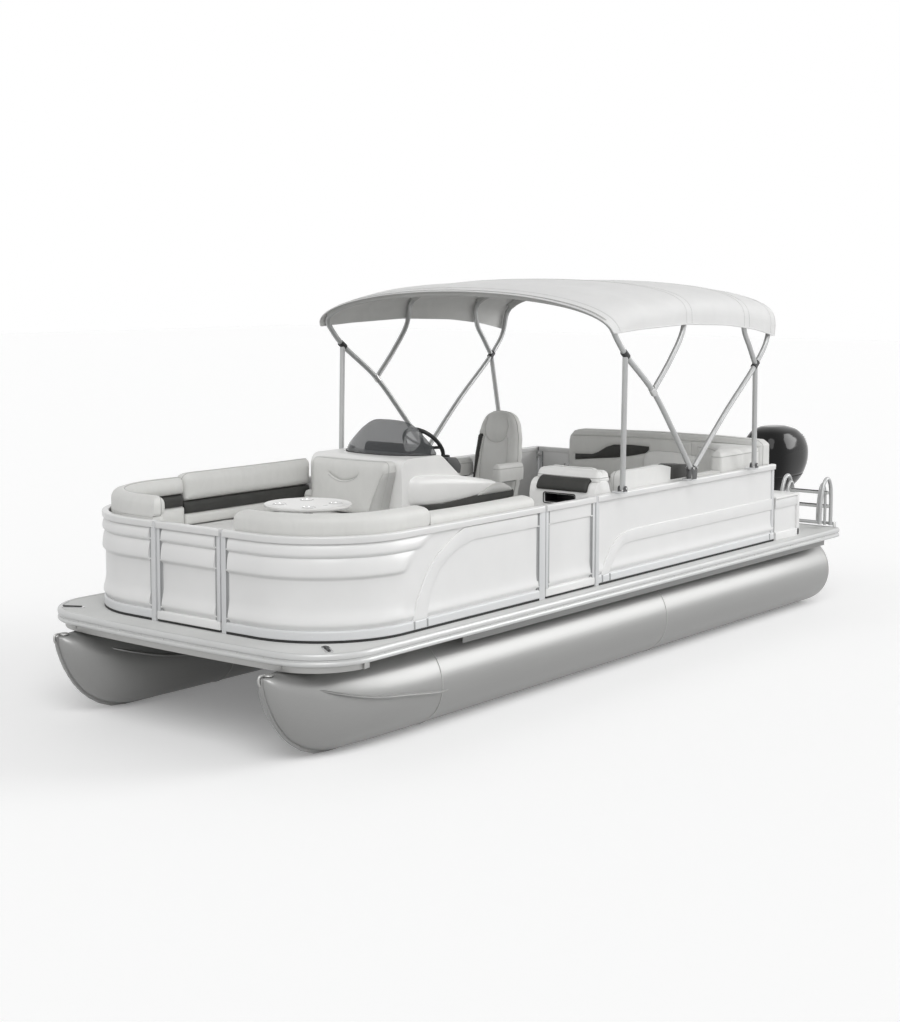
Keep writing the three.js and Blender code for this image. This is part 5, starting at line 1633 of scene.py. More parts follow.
# A panel's outer face from foot to top: height, then how far it stands out where flat and where it swells.
PANEL_FACE = ((0.7440, -0.0200, -0.0200), (0.7500, -0.0190, -0.0185), (0.7580, -0.0150, -0.0140),
              (0.7660, -0.0095, -0.0060), (0.7740, -0.0062, 0.0005), (0.7830, -0.0055, 0.0032),
              (0.7950, -0.0072, 0.0028), (0.8130, -0.0105, -0.0010), (0.8340, -0.0130, -0.0068),
              (0.8590, -0.0140, -0.0118), (0.8860, -0.0140, -0.0140), (1.0400, -0.0140, -0.0140),
              (1.0480, -0.0140, -0.0125), (1.0545, -0.0140, -0.0070), (1.0600, -0.0140, 0.0000),
              (1.0665, -0.0140, 0.0050), (1.0750, -0.0140, 0.0068), (1.0880, -0.0140, 0.0066),
              (1.1060, -0.0140, 0.0050), (1.1240, -0.0140, 0.0026), (1.1420, -0.0140, -0.0006),
              (1.1580, -0.0140, -0.0046), (1.1700, -0.0140, -0.0095), (1.1760, -0.0140, -0.0120),
              (1.1810, -0.0140, -0.0075), (1.1860, -0.0140, -0.0010), (1.1920, -0.0140, 0.0036),
              (1.2000, -0.0140, 0.0055), (1.2110, -0.0140, 0.0054), (1.2240, -0.0140, 0.0036),
              (1.2370, -0.0140, 0.0006), (1.2490, -0.0140, -0.0044), (1.2580, -0.0140, -0.0095),
              (1.2630, -0.0140, -0.0120))
# Where the swells run out ahead of the side's arch, by height.
SWELL_ENDS = ((0.90, 1.063, 1.169, 1.256), (-0.900, -0.923, -1.032, -1.175))


class PanelForm(Enum):
    """How a fence panel's outer face is formed."""

    FLAT = "flat"
    SWELLED = "swelled"
    BANDED = "banded"


def panel_profile(form: PanelForm, station: float = 0.0) -> list[Flat]:
    """The section of a fence panel, from its foot up its outer face and down its flat inner one.

    Args:
        form: How its outer face is formed.
        station: Where along the boat the section is, for the swells that run out ahead of the arch.

    Returns:
        The section's points (outward, height).
    """
    face: list[Flat] = []
    for z, flat, swelled in PANEL_FACE:
        out = flat
        if form is PanelForm.SWELLED:
            t = min(1.0, max(0.0, (station - float(np.interp(z, *SWELL_ENDS))) / 0.11))
            out = flat + (swelled - flat) * t * t * (3 - 2 * t)
        elif form is PanelForm.BANDED and z > 1.171:
            out = -0.014 + 0.008 * min(1.0, (z - 1.171) / 0.006)
        face.append((out, z))
    return [*face, (-0.026, 1.268), (-0.032, 1.268), (-0.032, 0.734)]


def edge_slot(turn: Matrix, levels: Sequence[float], top: float = 1.264) -> tuple[Shape, Shape]:
    """The narrow channel between an upright and its panel, crossed by the panel's rails.

    Args:
        turn: Carries the channel's own frame, with X along the fence away from the upright, Y outward
            from the rails' outer face, and Z up.
        levels: The heights at which rails cross it.
        top: Height of its top.

    Returns:
        The channel's seal, and the rails' ends.
    """
    seal = block((0.0, -0.026, 0.742), (0.017, -0.0095, top))
    seal.join(block((-0.0012, -0.026, 0.742), (0.0012, -0.0032, top)))
    ends = Shape()
    for z in levels:
        ends.join(block((-0.001, -0.026, z - 0.0045), (0.018, -0.0035, z + 0.0045)))
    return seal.placed(turn), ends.placed(turn)


@dataclass
class Fence:
    """A stretch of railing: painted panels between rounded rails and posts, with the raised bands."""

    side: Side
    name: str
    path: list[Flat]
    swelled: bool
    posts: list[tuple[float, float, float, float]]
    slots: list[tuple[Matrix, tuple[float, ...]]]
    joints: list[float]
    band: Shape
    tabs: tuple[float, ...]
    node: str

    def mirror(self, shape: Shape) -> Shape:
        """A port-side shape carried to this fence's side."""
        return shape if self.side is Side.PORT else shape.mirrored()

    def panels(self) -> Shape:
        """The panels, with the bow's swells running out along the side.

        Returns:
            The panels on the port side.
        """
        if not self.swelled:
            return swept(self.path, panel_profile(PanelForm.FLAT))
        shoulder, end = self.path[-2][0], self.path[-1][0]
        fine = [(shoulder - 0.016 * k, FENCE_HALF) for k in range(1, 26)]
        x, y = self.path[0]
        start = [(x, y + 0.0365)]
        line = [*start, *(p for p in self.path[1:-1] if p[1] > y + 0.04), *fine, (end, FENCE_HALF)]
        return swept(line, lambda station: panel_profile(PanelForm.SWELLED, station))

    def build(self) -> None:
        """Makes the rails, panels, posts, slots and bands."""
        # The foot rail takes the darker post grey: painted shade along the fence's foot.
        rails = swept(self.path, RAIL_TOP).join(swept(self.path, RAIL_FOOT, mark=1))
        make_piece(f"{self.name}_rails", self.mirror(rails), Dressing((FENCE_RAIL, FENCE_POST), 32.0),
                   replaces=(self.node,))
        make_piece(f"{self.name}_panels", self.mirror(self.panels()), Dressing((FENCE_PAINT,), 40.0))
        posts = Shape()
        for x0, x1, y0, y1 in self.posts:
            posts.join(block((st(x0), y0, ON_DECK), (st(x1), y1, 1.3055)))
        for x in self.joints:
            posts.join(block((st(x - 0.020), FENCE_HALF - 0.034, 0.738),
                             (st(x + 0.020), FENCE_HALF - 0.0035, 1.266)))
            posts.join(block((st(x - 0.020), FENCE_HALF - 0.038, ON_DECK),
                             (st(x + 0.020), FENCE_HALF - 0.002, 0.695)))
        make_piece(f"{self.name}_posts", self.mirror(posts),
                   Dressing((FENCE_POST,), bevel=0.003, bevel_segments=3))
        seals, ends = Shape(), Shape()
        for turn, levels in self.slots:
            seal, end = edge_slot(turn, levels)
            seals.join(seal)
            ends.join(end)
        for x in self.tabs:
            seals.join(block((st(x - 0.007), FENCE_HALF - 0.006, 0.694),
                             (st(x + 0.007), FENCE_HALF + 0.0016, 0.742)))
        make_piece(f"{self.name}_seals", self.mirror(seals), Dressing((FENCE_SEAL,), bevel=0.0006))
        # The dark strip along the fence's foot is painted shadow at the deck.
        make_piece(f"{self.name}_gasket", self.mirror(swept(self.path, BASE_SHADOW_STRIP)), Dressing((RUBBER,)))
        if self.slots:
            make_piece(f"{self.name}_rail_ends", self.mirror(ends), Dressing((FENCE_RAIL,), bevel=0.0012))
        make_piece(f"{self.name}_band", self.mirror(self.band),
                   Dressing((FENCE_BAND,), bevel=0.004, bevel_segments=3))
        self.rivets()

    def rivets(self) -> None:
        """Rivets that hold the panels to the foot rail."""
        fine = resample([Vector(p) for p in self.path], 0.05)
        points, ups = [], []
        for i, p in enumerate(fine):
            run = fine[min(i + 1, len(fine) - 1)] - fine[max(i - 1, 0)]
            out = Vector((run.y, -run.x)).normalized()
            x, y = p.x - out.x * 0.0005, p.y - out.y * 0.0005
            sign = self.side.value
            points.append((st(x), sign * y, 0.7145))
            ups.append((out.x, sign * out.y, 0.0))
        RunOfParts(Repeat.RIVET, 0.152, 0.005, FENCE_RAIL).lay(f"{self.name}_rivets", [(points, ups)])


def arch_band(outer: Sequence[Flat], inner: Sequence[Flat], end: float) -> Shape:
    """A raised band that climbs from the foot rail in an arch and runs aft along the panel.

    Args:
        outer: Its outer edge from the foot rail to where it levels out, as (station, height).
        inner: Its inner edge likewise.
        end: Station where it ends.

    Returns:
        The band on the port side, standing out of the panel.
    """
    up = [(p.x, p.y) for p in smooth_line([(x, z, 0.0) for x, z in outer], 0.022)]
    down = [(p.x, p.y) for p in smooth_line([(x, z, 0.0) for x, z in reversed(inner)], 0.022)]
    profile = [(st(x), z) for x, z in [*up, (end, outer[-1][1]), (end, inner[-1][1]), *down]]
    return extruded(profile, Axis.Y, FENCE_HALF - 0.020, FENCE_HALF - 0.0045)


@dataclass
class Gate:
    """A gate in the fence: its leaf, hinge knuckles, straps and latch, on its own body."""

    name: str
    node: str
    body: str
    line: tuple[float, float]
    turn: float
    mirror: bool
    width: float
    form: PanelForm
    levels: tuple[float, ...]
    heights: tuple[float, ...] = (0.772, 1.010, 1.232)
    # In the hinge's own frame: where the leaf starts, its outer face, and the stiles' half width.
    edge: float = 0.0105 - 0.014
    face: float = 0.044
    stile: float = 0.014

    def place(self) -> Matrix:
        """The matrix from the hinge's own frame to the row frame.

        Returns:
            The matrix.
        """
        flip = Matrix.Scale(-1, 4, (0, 1, 0)) if self.mirror else Matrix.Identity(4)
        hinge = Matrix.Translation((st(self.line[0]), self.line[1], 0))
        return hinge @ Matrix.Rotation(self.turn, 4, "Z") @ flip

    def leaf(self) -> Shape:
        """The leaf's rails round its panel.

        Returns:
            The leaf in the hinge's own frame.
        """
        fore, aft = self.edge, self.edge - self.width
        path = [(fore - MIDSHIP, self.face), (aft - MIDSHIP, self.face)]
        inner = [(fore - 0.044 - MIDSHIP, self.face), (aft + 0.044 - MIDSHIP, self.face)]
        rails = swept(path, RAIL_TOP).join(swept(path, RAIL_FOOT))
        return rails.join(swept(inner, panel_profile(self.form), mark=1))

    def stiles(self) -> tuple[Shape, Shape, Shape]:
        """The leaf's two stiles, the seals beside them and the rails' ends.

        Returns:
            The stiles, the seals and the rails' ends, in the hinge's own frame.
        """
        bars, seals, ends = Shape(), Shape(), Shape()
        for x, away in ((self.edge - self.stile, -1), (self.edge - self.width + self.stile, 1)):
            bars.join(block((x - self.stile, 0.0445 - 0.034, 0.736), (x + self.stile, 0.0405, 1.268)))
            turn = (Matrix.Translation((x + away * self.stile, self.face, 0.0))
                    @ Matrix.Scale(away, 4, (1, 0, 0)))
            seal, end = edge_slot(turn, self.levels)
            seals.join(seal)
            ends.join(end)
        return bars, seals, ends

    def hardware(self) -> Shape:
        """Knuckles, straps and the latch.

        Returns:
            The hardware in the hinge's own frame.
        """
        shape = Shape()
        for z in self.heights:
            shape.join(turned([(CORE, z - 0.014), (0.0046, z - 0.014), (0.005, z - 0.012), (0.005, z + 0.012),
                               (0.0046, z + 0.014), (CORE, z + 0.014)], 16))
            shape.join(block((-0.044, -0.003, z - 0.013), (0, 0.006, z + 0.013)))
        far = self.edge - self.width
        shape.join(block((far + 0.020, -0.002, 1.142), (far + 0.088, 0.007, 1.174)))
        shape.join(block((far + 0.034, -0.004, 1.150), (far + 0.060, 0.0, 1.166)))
        return shape

    def build(self) -> None:
        """Makes the leaf and its hardware, and the post's half of the hinges."""
        place = self.place()
        make_piece(f"{self.name}_leaf", self.leaf().placed(place),
                   Dressing((FENCE_RAIL, FENCE_PAINT), 40.0, bevel=0.0014), self.body, (self.node,))
        bars, seals, ends = self.stiles()
        make_piece(f"{self.name}_stiles", bars.placed(place), Dressing((FENCE_POST,), bevel=0.002),
                   self.body)
        make_piece(f"{self.name}_seals", seals.placed(place), Dressing((FENCE_SEAL,), bevel=0.0006),
                   self.body)
        make_piece(f"{self.name}_rail_ends", ends.placed(place), Dressing((FENCE_RAIL,), bevel=0.0012),
                   self.body)
        # A dark rubber strip under the leaf: painted shadow of the gap at the deck.
        sweep = block((self.edge - self.width + 0.004, 0.010, 0.6790), (self.edge - 0.004, 0.0415, 0.6898))
        make_piece(f"{self.name}_sweep", sweep.placed(place), Dressing((RUBBER,), bevel=0.0008), self.body)
        make_piece(f"{self.name}_hardware", self.hardware().placed(place),
                   Dressing((STAINLESS,), 32.0, bevel=0.0008), self.body)
        fixed = Shape()
        for z in self.heights:
            for low, high in ((z - 0.030, z - 0.0145), (z + 0.0145, z + 0.030)):
                fixed.join(turned(oblong(CORE, low, 0.005, high), 16))
                fixed.join(block((0, -0.003, low), (0.0145, 0.010, high)))
        make_piece(f"{self.name}_post_knuckles", fixed.placed(place),
                   Dressing((STAINLESS,), 32.0, bevel=0.0006))


@dataclass
class Railing:
    """All four stretches of fence, the stern box and the three gates."""

    front: float = -0.207
    corner: float = 0.64
    crown: float = 0.03
    end: float = -5.57
    port_gate: tuple[float, float] = (-2.308, -2.960)
    bow_gate: float = 0.312
    # The bands' edges, each from the foot rail to where it levels out.
    fore_outer: tuple[Flat, ...] = (
        (-0.951, 0.743), (-0.962, 0.790), (-0.978, 0.835), (-0.996, 0.877), (-1.019, 0.917), (-1.042, 0.957),
        (-1.067, 0.997), (-1.097, 1.034), (-1.129, 1.068), (-1.163, 1.100), (-1.199, 1.130), (-1.234, 1.154),
        (-1.270, 1.174), (-1.330, 1.207), (-1.385, 1.232), (-1.452, 1.259))
    fore_inner: tuple[Flat, ...] = (
        (-1.083, 0.743), (-1.089, 0.774), (-1.102, 0.834), (-1.123, 0.902), (-1.158, 0.967), (-1.200, 1.024),
        (-1.271, 1.076), (-1.356, 1.119), (-1.458, 1.156), (-1.532, 1.169), (-1.651, 1.172))
    aft_outer: tuple[Flat, ...] = (
        (-3.018, 0.743), (-3.030, 0.775), (-3.064, 0.829), (-3.125, 0.905), (-3.207, 0.971), (-3.300, 1.009),
        (-3.411, 1.022), (-3.600, 1.025))
    aft_inner: tuple[Flat, ...] = (
        (-3.117, 0.743), (-3.132, 0.770), (-3.163, 0.807), (-3.224, 0.876), (-3.301, 0.921), (-3.412, 0.933),
        (-3.600, 0.935))
    bow_levels: tuple[float, ...] = (1.193, 1.066, 0.770)
    side_levels: tuple[float, ...] = (1.176, 0.770)

    def slot_at(self, station: float, away: int) -> Matrix:
        """Carries a slot's frame to a station of the port side, leading fore (1) or aft (-1) of the post."""
        return Matrix.Translation((st(station), FENCE_HALF, 0.0)) @ Matrix.Scale(away, 4, (1, 0, 0))

    def fences(self) -> None:
        """Makes the bow and aft stretches on both sides."""
        half = FENCE_HALF
        for side in Side:
            port = side is Side.PORT
            fore_end = self.port_gate[0] if port else self.port_gate[1] + 0.022
            aft_start = self.port_gate[1] if port else self.port_gate[1] - 0.022
            bow = arc_path(half, self.front, self.corner, self.crown, self.bow_gate, fore_end)
            wide = 0.046 if port else 0.019
            posts = [(self.front - 0.040, self.front - 0.002, self.bow_gate - 0.019, self.bow_gate + 0.019),
                     (fore_end - 0.019, fore_end + wide, half - 0.038, half)]
            at_gate = (Matrix.Translation((st(self.front - 0.0025), self.bow_gate + 0.019, 0.0))
                       @ Matrix.Rotation(math.pi / 2, 4, "Z") @ Matrix.Scale(-1, 4, (0, 1, 0)))
            slots = [(at_gate, self.bow_levels), (self.slot_at(fore_end + wide, 1), self.side_levels)]
            Fence(side, f"{side.word}_bow_fence", bow, True, posts, slots, [] if port else [-1.90],
                  arch_band(self.fore_outer, self.fore_inner, fore_end + wide + 0.018), (-0.955, -1.080),
                  f"{side.word}_bow_fence").build()
            aft = [(aft_start, half), (self.end, half)]
            posts = [(aft_start - 0.019, aft_start + 0.019, half - 0.038, half),
                     (self.end, self.end + 0.038, half - 0.038, half - 0.0065)]
            Fence(side, f"{side.word}_aft_fence", aft, False, posts, [], [],
                  arch_band(self.aft_outer, self.aft_inner, self.end + 0.036), (-3.024, -3.122, -5.497),
                  f"{side.word}_aft_fence").build()

    def gates(self) -> None:
        """Makes the three gates."""
        hinge = (self.front - 0.002 - 0.038 - 0.006, self.bow_gate - 0.0295)
        Gate("bow_gate", "bow_gate", "bow_gate_leaf", hinge, math.pi / 2, True,
             2 * self.bow_gate - 0.066, PanelForm.SWELLED, self.bow_levels).build()
        hinge = (self.port_gate[0] - 0.0295, FENCE_HALF - 0.044)
        Gate("port_gate", "port_gate", "port_gate_leaf", hinge, 0.0, False,
             self.port_gate[0] - self.port_gate[1] - 0.066, PanelForm.BANDED, self.side_levels).build()
        hinge = (self.end + 0.044, -FENCE_HALF + 0.0485)
        Gate("stern_gate", "stern_gate", "stern_gate_leaf", hinge, -math.pi / 2, True, 0.364,
             PanelForm.BANDED, self.side_levels).build()

    def stern_box(self) -> None:
        """Makes the low cabinet behind the aft lounge with its lid, ribs and the wall behind the seats."""
        y0, half = -0.760, FENCE_HALF
        body = block((st(-6.011), y0, 0.69), (st(-5.606), half - 0.014, 1.014))
        body.join(block((st(-5.604), y0, ON_DECK), (st(-6.015), half, 0.735)))
        body.join(block((st(-6.015), half - 0.036, ON_DECK), (st(-5.979), half, 1.026)))
        body.join(block((st(-5.604), y0, ON_DECK), (st(-5.576), half - 0.044, 1.300)))
        body.join(block((st(-5.612), y0, 0.700), (st(-5.590), half - 0.044, 1.010)))
        make_piece("stern_box_body", body, Dressing((FENCE_PAINT,), bevel=0.004, bevel_segments=3),
                   replaces=("stern_box",))
        lid = rounded(oblong(st(-5.600), y0 - 0.006, st(-6.021), half + 0.002), [0.004, 0.03, 0.03, 0.004])
        make_piece("stern_box_lid", extruded(lid, Axis.Z, 1.012, 1.030),
                   Dressing((SHELL,), bevel=0.006, bevel_segments=3))
        band = block((st(-5.602), half - 0.016, 0.934), (st(-5.985), half - 0.005, 1.008))
        make_piece("stern_box_bands", band, Dressing((FENCE_BAND,), bevel=0.003))
        latches = Shape()
        for y in (-0.35, 0.25, 0.85):
            latches.join(block((st(-6.024), y - 0.03, 0.985), (st(-6.014), y + 0.03, 1.015)))
        make_piece("stern_box_latches", latches, Dressing((BLACK_PLASTIC,), bevel=0.003))

    def build(self) -> None:
        """Makes the whole railing."""
        self.fences()
        self.gates()
        self.stern_box()


# ---------------------------------------------------------------------------------------------
# Seats
# ---------------------------------------------------------------------------------------------


def flat_place(side: Side, level: float) -> Callable[[float, float, float], Point]:
    """Places a cushion: u is the station, v the offset to port on the port side, w the height."""
    return lambda u, v, w: (st(u), side.value * v, level + w)


def wall_place(path: Sequence[Flat], side: Side, level: float, lean: float = 0.1, height: float = 0.3,
               roll: float = 0.0, thickness: float = 0.12) -> Callable[[float, float, float], Point]:
    """Places a backrest along a plan path: u runs along it, v is the height and w points inboard.

    Args:
        path: The backrest's outer line, with outboard on its left or right as the bow path runs.
        side: Which side of the boat it is on.
        level: Height of its foot.
        lean: How much thicker it is at its foot than at its top, as a share.
        height: The height over which that share runs out.
        roll: The radius to which the top of its outboard side is rounded.
        thickness: The pad's thickness, which the rounding leaves as it is at the front.

    Returns:
        The placing function.
    """
    line = resample([Vector(p) for p in path], 0.02)
    reach = [0.0]
    for a, b in zip(line, line[1:]):
        reach.append(reach[-1] + (b - a).length)
    spots = np.array([tuple(p) for p in line])
    marks = np.array(reach)
    run = np.gradient(spots, axis=0)
    run /= np.linalg.norm(run, axis=1, keepdims=True)
    kernel = np.ones(5) / 5
    wide = np.pad(run, ((2, 2), (0, 0)), mode="edge")
    run = np.stack([np.convolve(wide[:, c], kernel, "valid") for c in range(2)], axis=1)
    run /= np.linalg.norm(run, axis=1, keepdims=True)

    def place(u: float, v: float, w: float) -> Point:
        """The point at (u, v, w).

        Args:
            u: How far along the backrest.
            v: How far above its foot.
            w: How far inboard.

        Returns:
            The point in the row frame.
        """
        x, y = (float(np.interp(u, marks, spots[:, c])) for c in range(2))
        tx, ty = (float(np.interp(u, marks, run[:, c])) for c in range(2))
        over = max(0.0, v - (height - roll))
        cut = roll - math.sqrt(max(roll * roll - over * over, 0.0)) if roll else 0.0
        fuller = 1.0 + lean * (1.0 - min(1.0, max(0.0, v / height)))
        deep = cut * (1.0 - min(1.0, w / thickness)) + w * fuller
        return (st(x - ty * deep), side.value * (y + tx * deep), level + v)

    return place


def path_length(path: Sequence[Flat]) -> float:
    """The length of a plan path."""
    return sum(math.dist(a, b) for a, b in zip(path, path[1:]))


@dataclass
class BowLounge:
    """One bow lounge: its moulded base, seat cushion and backrest round the corner of the fence."""

    side: Side
    end: float
    back_end: float
    wing: Optional[float]
    corner_top: float
    run_top: float
    front: float = -0.257
    corner: float = 0.60
    crown: float = 0.03

    def plan(self, inset: float, fence: float = 0.0) -> list[Flat]:
        """The lounge's plan on the port side.

        Args:
            inset: How far its inner sides stand back.
            fence: How far its outer side stands off the fence line.

        Returns:
            The outline.
        """
        outer = arc_path(SEAT_HALF - fence, self.front - fence, self.corner - fence, self.crown, 0.35,
                         self.end, 12)
        aisle = 0.56 + inset
        inner = [(self.end, aisle), (-1.01 - inset, aisle), (-0.88 - inset, aisle - 0.05),
                 (-0.80 + inset, aisle - 0.16), (-0.78 + inset, 0.35)]
        if self.wing is not None:
            inner[0:1] = [(self.end, self.wing + inset), (self.end + 0.52 - inset, self.wing + inset),
                          (self.end + 0.52 - inset, aisle)]
        return [*outer, *inner]

    def base(self) -> None:
        """Makes the moulded base and its locker doors."""
        plan = [(st(x), self.side.value * y) for x, y in self.plan(0.036)]
        shape = extruded(plan, Axis.Z, ON_DECK, BASE_TOP)
        name = f"{self.side.word}_bow_lounge"
        dressing = Dressing((SHELL,), 25.0, bevel=0.006, bevel_segments=3, bevel_deg=50.0)
        make_piece(f"{name}_base", shape, dressing, replaces=(f"{self.side.word}_bow_seat_base",))
        doors = Shape()
        for x0, x1 in ((-1.10, -1.60), (-1.66, -2.16)):
            if x1 < self.end + 0.6 and self.wing is not None:
                continue
            outline = rounded(oblong(st(x0), 0.73, st(x1), 0.935), 0.02)
            depths = sorted(self.side.value * y for y in (0.596 - 0.007, 0.596 + 0.002))
            doors.join(extruded(outline, Axis.Y, *depths))
        make_piece(f"{name}_locker_doors", doors, Dressing((SEAT_PALE,), bevel=0.003))

    def cushion(self) -> None:
        """Makes the seat cushion with its cross seams and front roll."""
        outline = rounded(self.plan(0.0, 0.004), 0.02, 3)
        seams = [[(-1.02, 0.50), (-1.02, 1.17)], [(-1.64, 0.50), (-1.64, 1.17)]]
        if self.wing is not None:
            seams.append([(self.end + 0.50, 0.585), (self.end + 0.02, 0.585)])
        Pad(f"{self.side.word}_bow_lounge_cushion", outline, CUSHION_DEPTH, flat_place(self.side, ON_BASE),
            edge=0.032, crown=0.012, seams=seams, step=0.026, finish=SEAT_PALE,
            replaces=(f"{self.side.word}_bow_seat_cushion",)).build()

    def backrest(self) -> None:
        """Makes the fat bolster round the bow corner over its band and lower pad, and the straight run."""
        word = self.side.word
        path = arc_path(SEAT_HALF, self.front, self.corner, self.crown, 0.352, -1.165, 20)
        length = path_length(path)
        height = self.corner_top - ON_SEAT
        place = wall_place(path, self.side, ON_SEAT, 0.0, height, 0.054, 0.120)
        split, foot = height - 0.122, height - 0.206
        roll = rounded(oblong(0.0, split, length - 0.004, height), [0.03, 0.03, 0.08, 0.06], 5)
        Pad(f"{word}_bow_corner_bolster", roll, 0.120, place, edge=0.056, crown=0.004, pull=0.0, step=0.018,
            soft=0.0012, replaces=(f"{word}_bow_seat_back",)).build()
        band = oblong(0.01, foot, length - 0.006, split - 0.002)
        Pad(f"{word}_bow_corner_band", band, 0.100, place, edge=0.020, crown=0.002, pull=0.0, step=0.024,
            accent=lambda u, v: u > length - 0.31, piping=False).build()
        lower = rounded(oblong(0.0, 0.0, length - 0.004, foot - 0.002), 0.012, 3)
        Pad(f"{word}_bow_corner_lower", lower, 0.112, place, edge=0.030, crown=0.006, pull=0.0,
            step=0.024).build()
        self.straight(word)

    def straight(self, word: str) -> None:
        """Makes the straight backrest: a bolster over a dark band and a low pad.

        Args:
            word: The side's name.
        """
        start, stop = -1.169, self.back_end
        length = start - stop
        height = self.run_top - ON_SEAT
        path = [(start, SEAT_HALF), (stop, SEAT_HALF)]
        place = wall_place(path, self.side, ON_SEAT, 0.0, height, 0.052, 0.118)
        split = height - 0.196 if height > 0.3 else height - 0.150
        foot = split - 0.088
        upper = rounded(oblong(0.0, split, length, height), [0.03, 0.03, 0.045, 0.07], 4)
        Pad(f"{word}_bow_back_pad", upper, 0.118, place, edge=0.054, crown=0.008, pull=0.003, step=0.020,
            soft=0.0014).build()
        band = oblong(0.0, foot, length, split - 0.002)
        Pad(f"{word}_bow_back_band", band, 0.098, place, edge=0.020, crown=0.003, pull=0.0, step=0.026,
            finish=SEAT_ACCENT, piping=False).build()
        lower = rounded(oblong(0.0, 0.0, length, foot - 0.002), 0.01, 2)
        Pad(f"{word}_bow_back_lower", lower, 0.110, place, edge=0.022, crown=0.004, pull=0.0,
            step=0.026).build()

    def build(self) -> None:
        """Makes the lounge."""
        self.base()
        self.cushion()
        self.backrest()


@dataclass
class HelmSideSeat:
    """The backrest against the console and the pad that turns the corner into it."""

    low: float = -0.946
    high: float = -0.182
    back: float = -2.446

    def place(self, u: float, v: float, w: float) -> Point:
        """Carries (offset, height, depth) to the row frame, leaning a little aft at the top."""
        lean = 0.035 * min(1.0, v / 0.38)
        return (st(self.back + 0.002 + w - lean * (w / 0.15)), self.low + u, ON_SEAT + v)

    def build(self) -> None:
        """Makes the pad, its smile of stitches and the corner pad."""
        width = self.high - self.low
        outline = rounded([(0.0, 0.0), (width - 0.108, 0.0), (width - 0.030, 0.318), (width - 0.036, 0.392),
                           (0.0, 0.388)], [0.012, 0.012, 0.06, 0.088, 0.045], 8)
        side = [(0.578, 0.0), (0.601, 0.08), (0.637, 0.17), (0.673, 0.26), (0.699, 0.306),
                (width - 0.030, 0.318)]
        smile = [(0.192 + 0.0345 * k, 0.284 - 0.044 * math.sin(math.pi * k / 8) ** 0.8) for k in range(9)]
        # Past the side seam the pad takes the darker vinyl: painted shade on the side face that it wraps
        # round.
        Pad("console_backrest", outline, 0.152, self.place, edge=0.045, crown=0.012, seams=[side, smile],
            seam_depth=0.009, step=0.018, second=SEAT_PAINTED_SHADE,
            accent=lambda u, v: u > float(np.interp(v, [p[1] for p in side], [p[0] for p in side])) + 0.002,
            replaces=("console_seat_back",)).build()
        points = [self.place(u, v - 0.011, 0.1475) for u, v in smile]
        stitches = RunOfParts(Repeat.STITCH, 0.0105, 0.008, THREAD)
        stitches.lay("console_backrest_stitches", [(points, (1, 0, 0))])
        fill = rounded([(-2.345, 1.030), (-2.345, 0.930), (-2.440, 0.930), (-2.440, 1.030)], 0.02, 3)
        Pad("corner_pad", fill, 0.140, flat_place(Side.STARBOARD, 1.1015), edge=0.035, crown=0.008, pull=0.0,
            step=0.022).build()


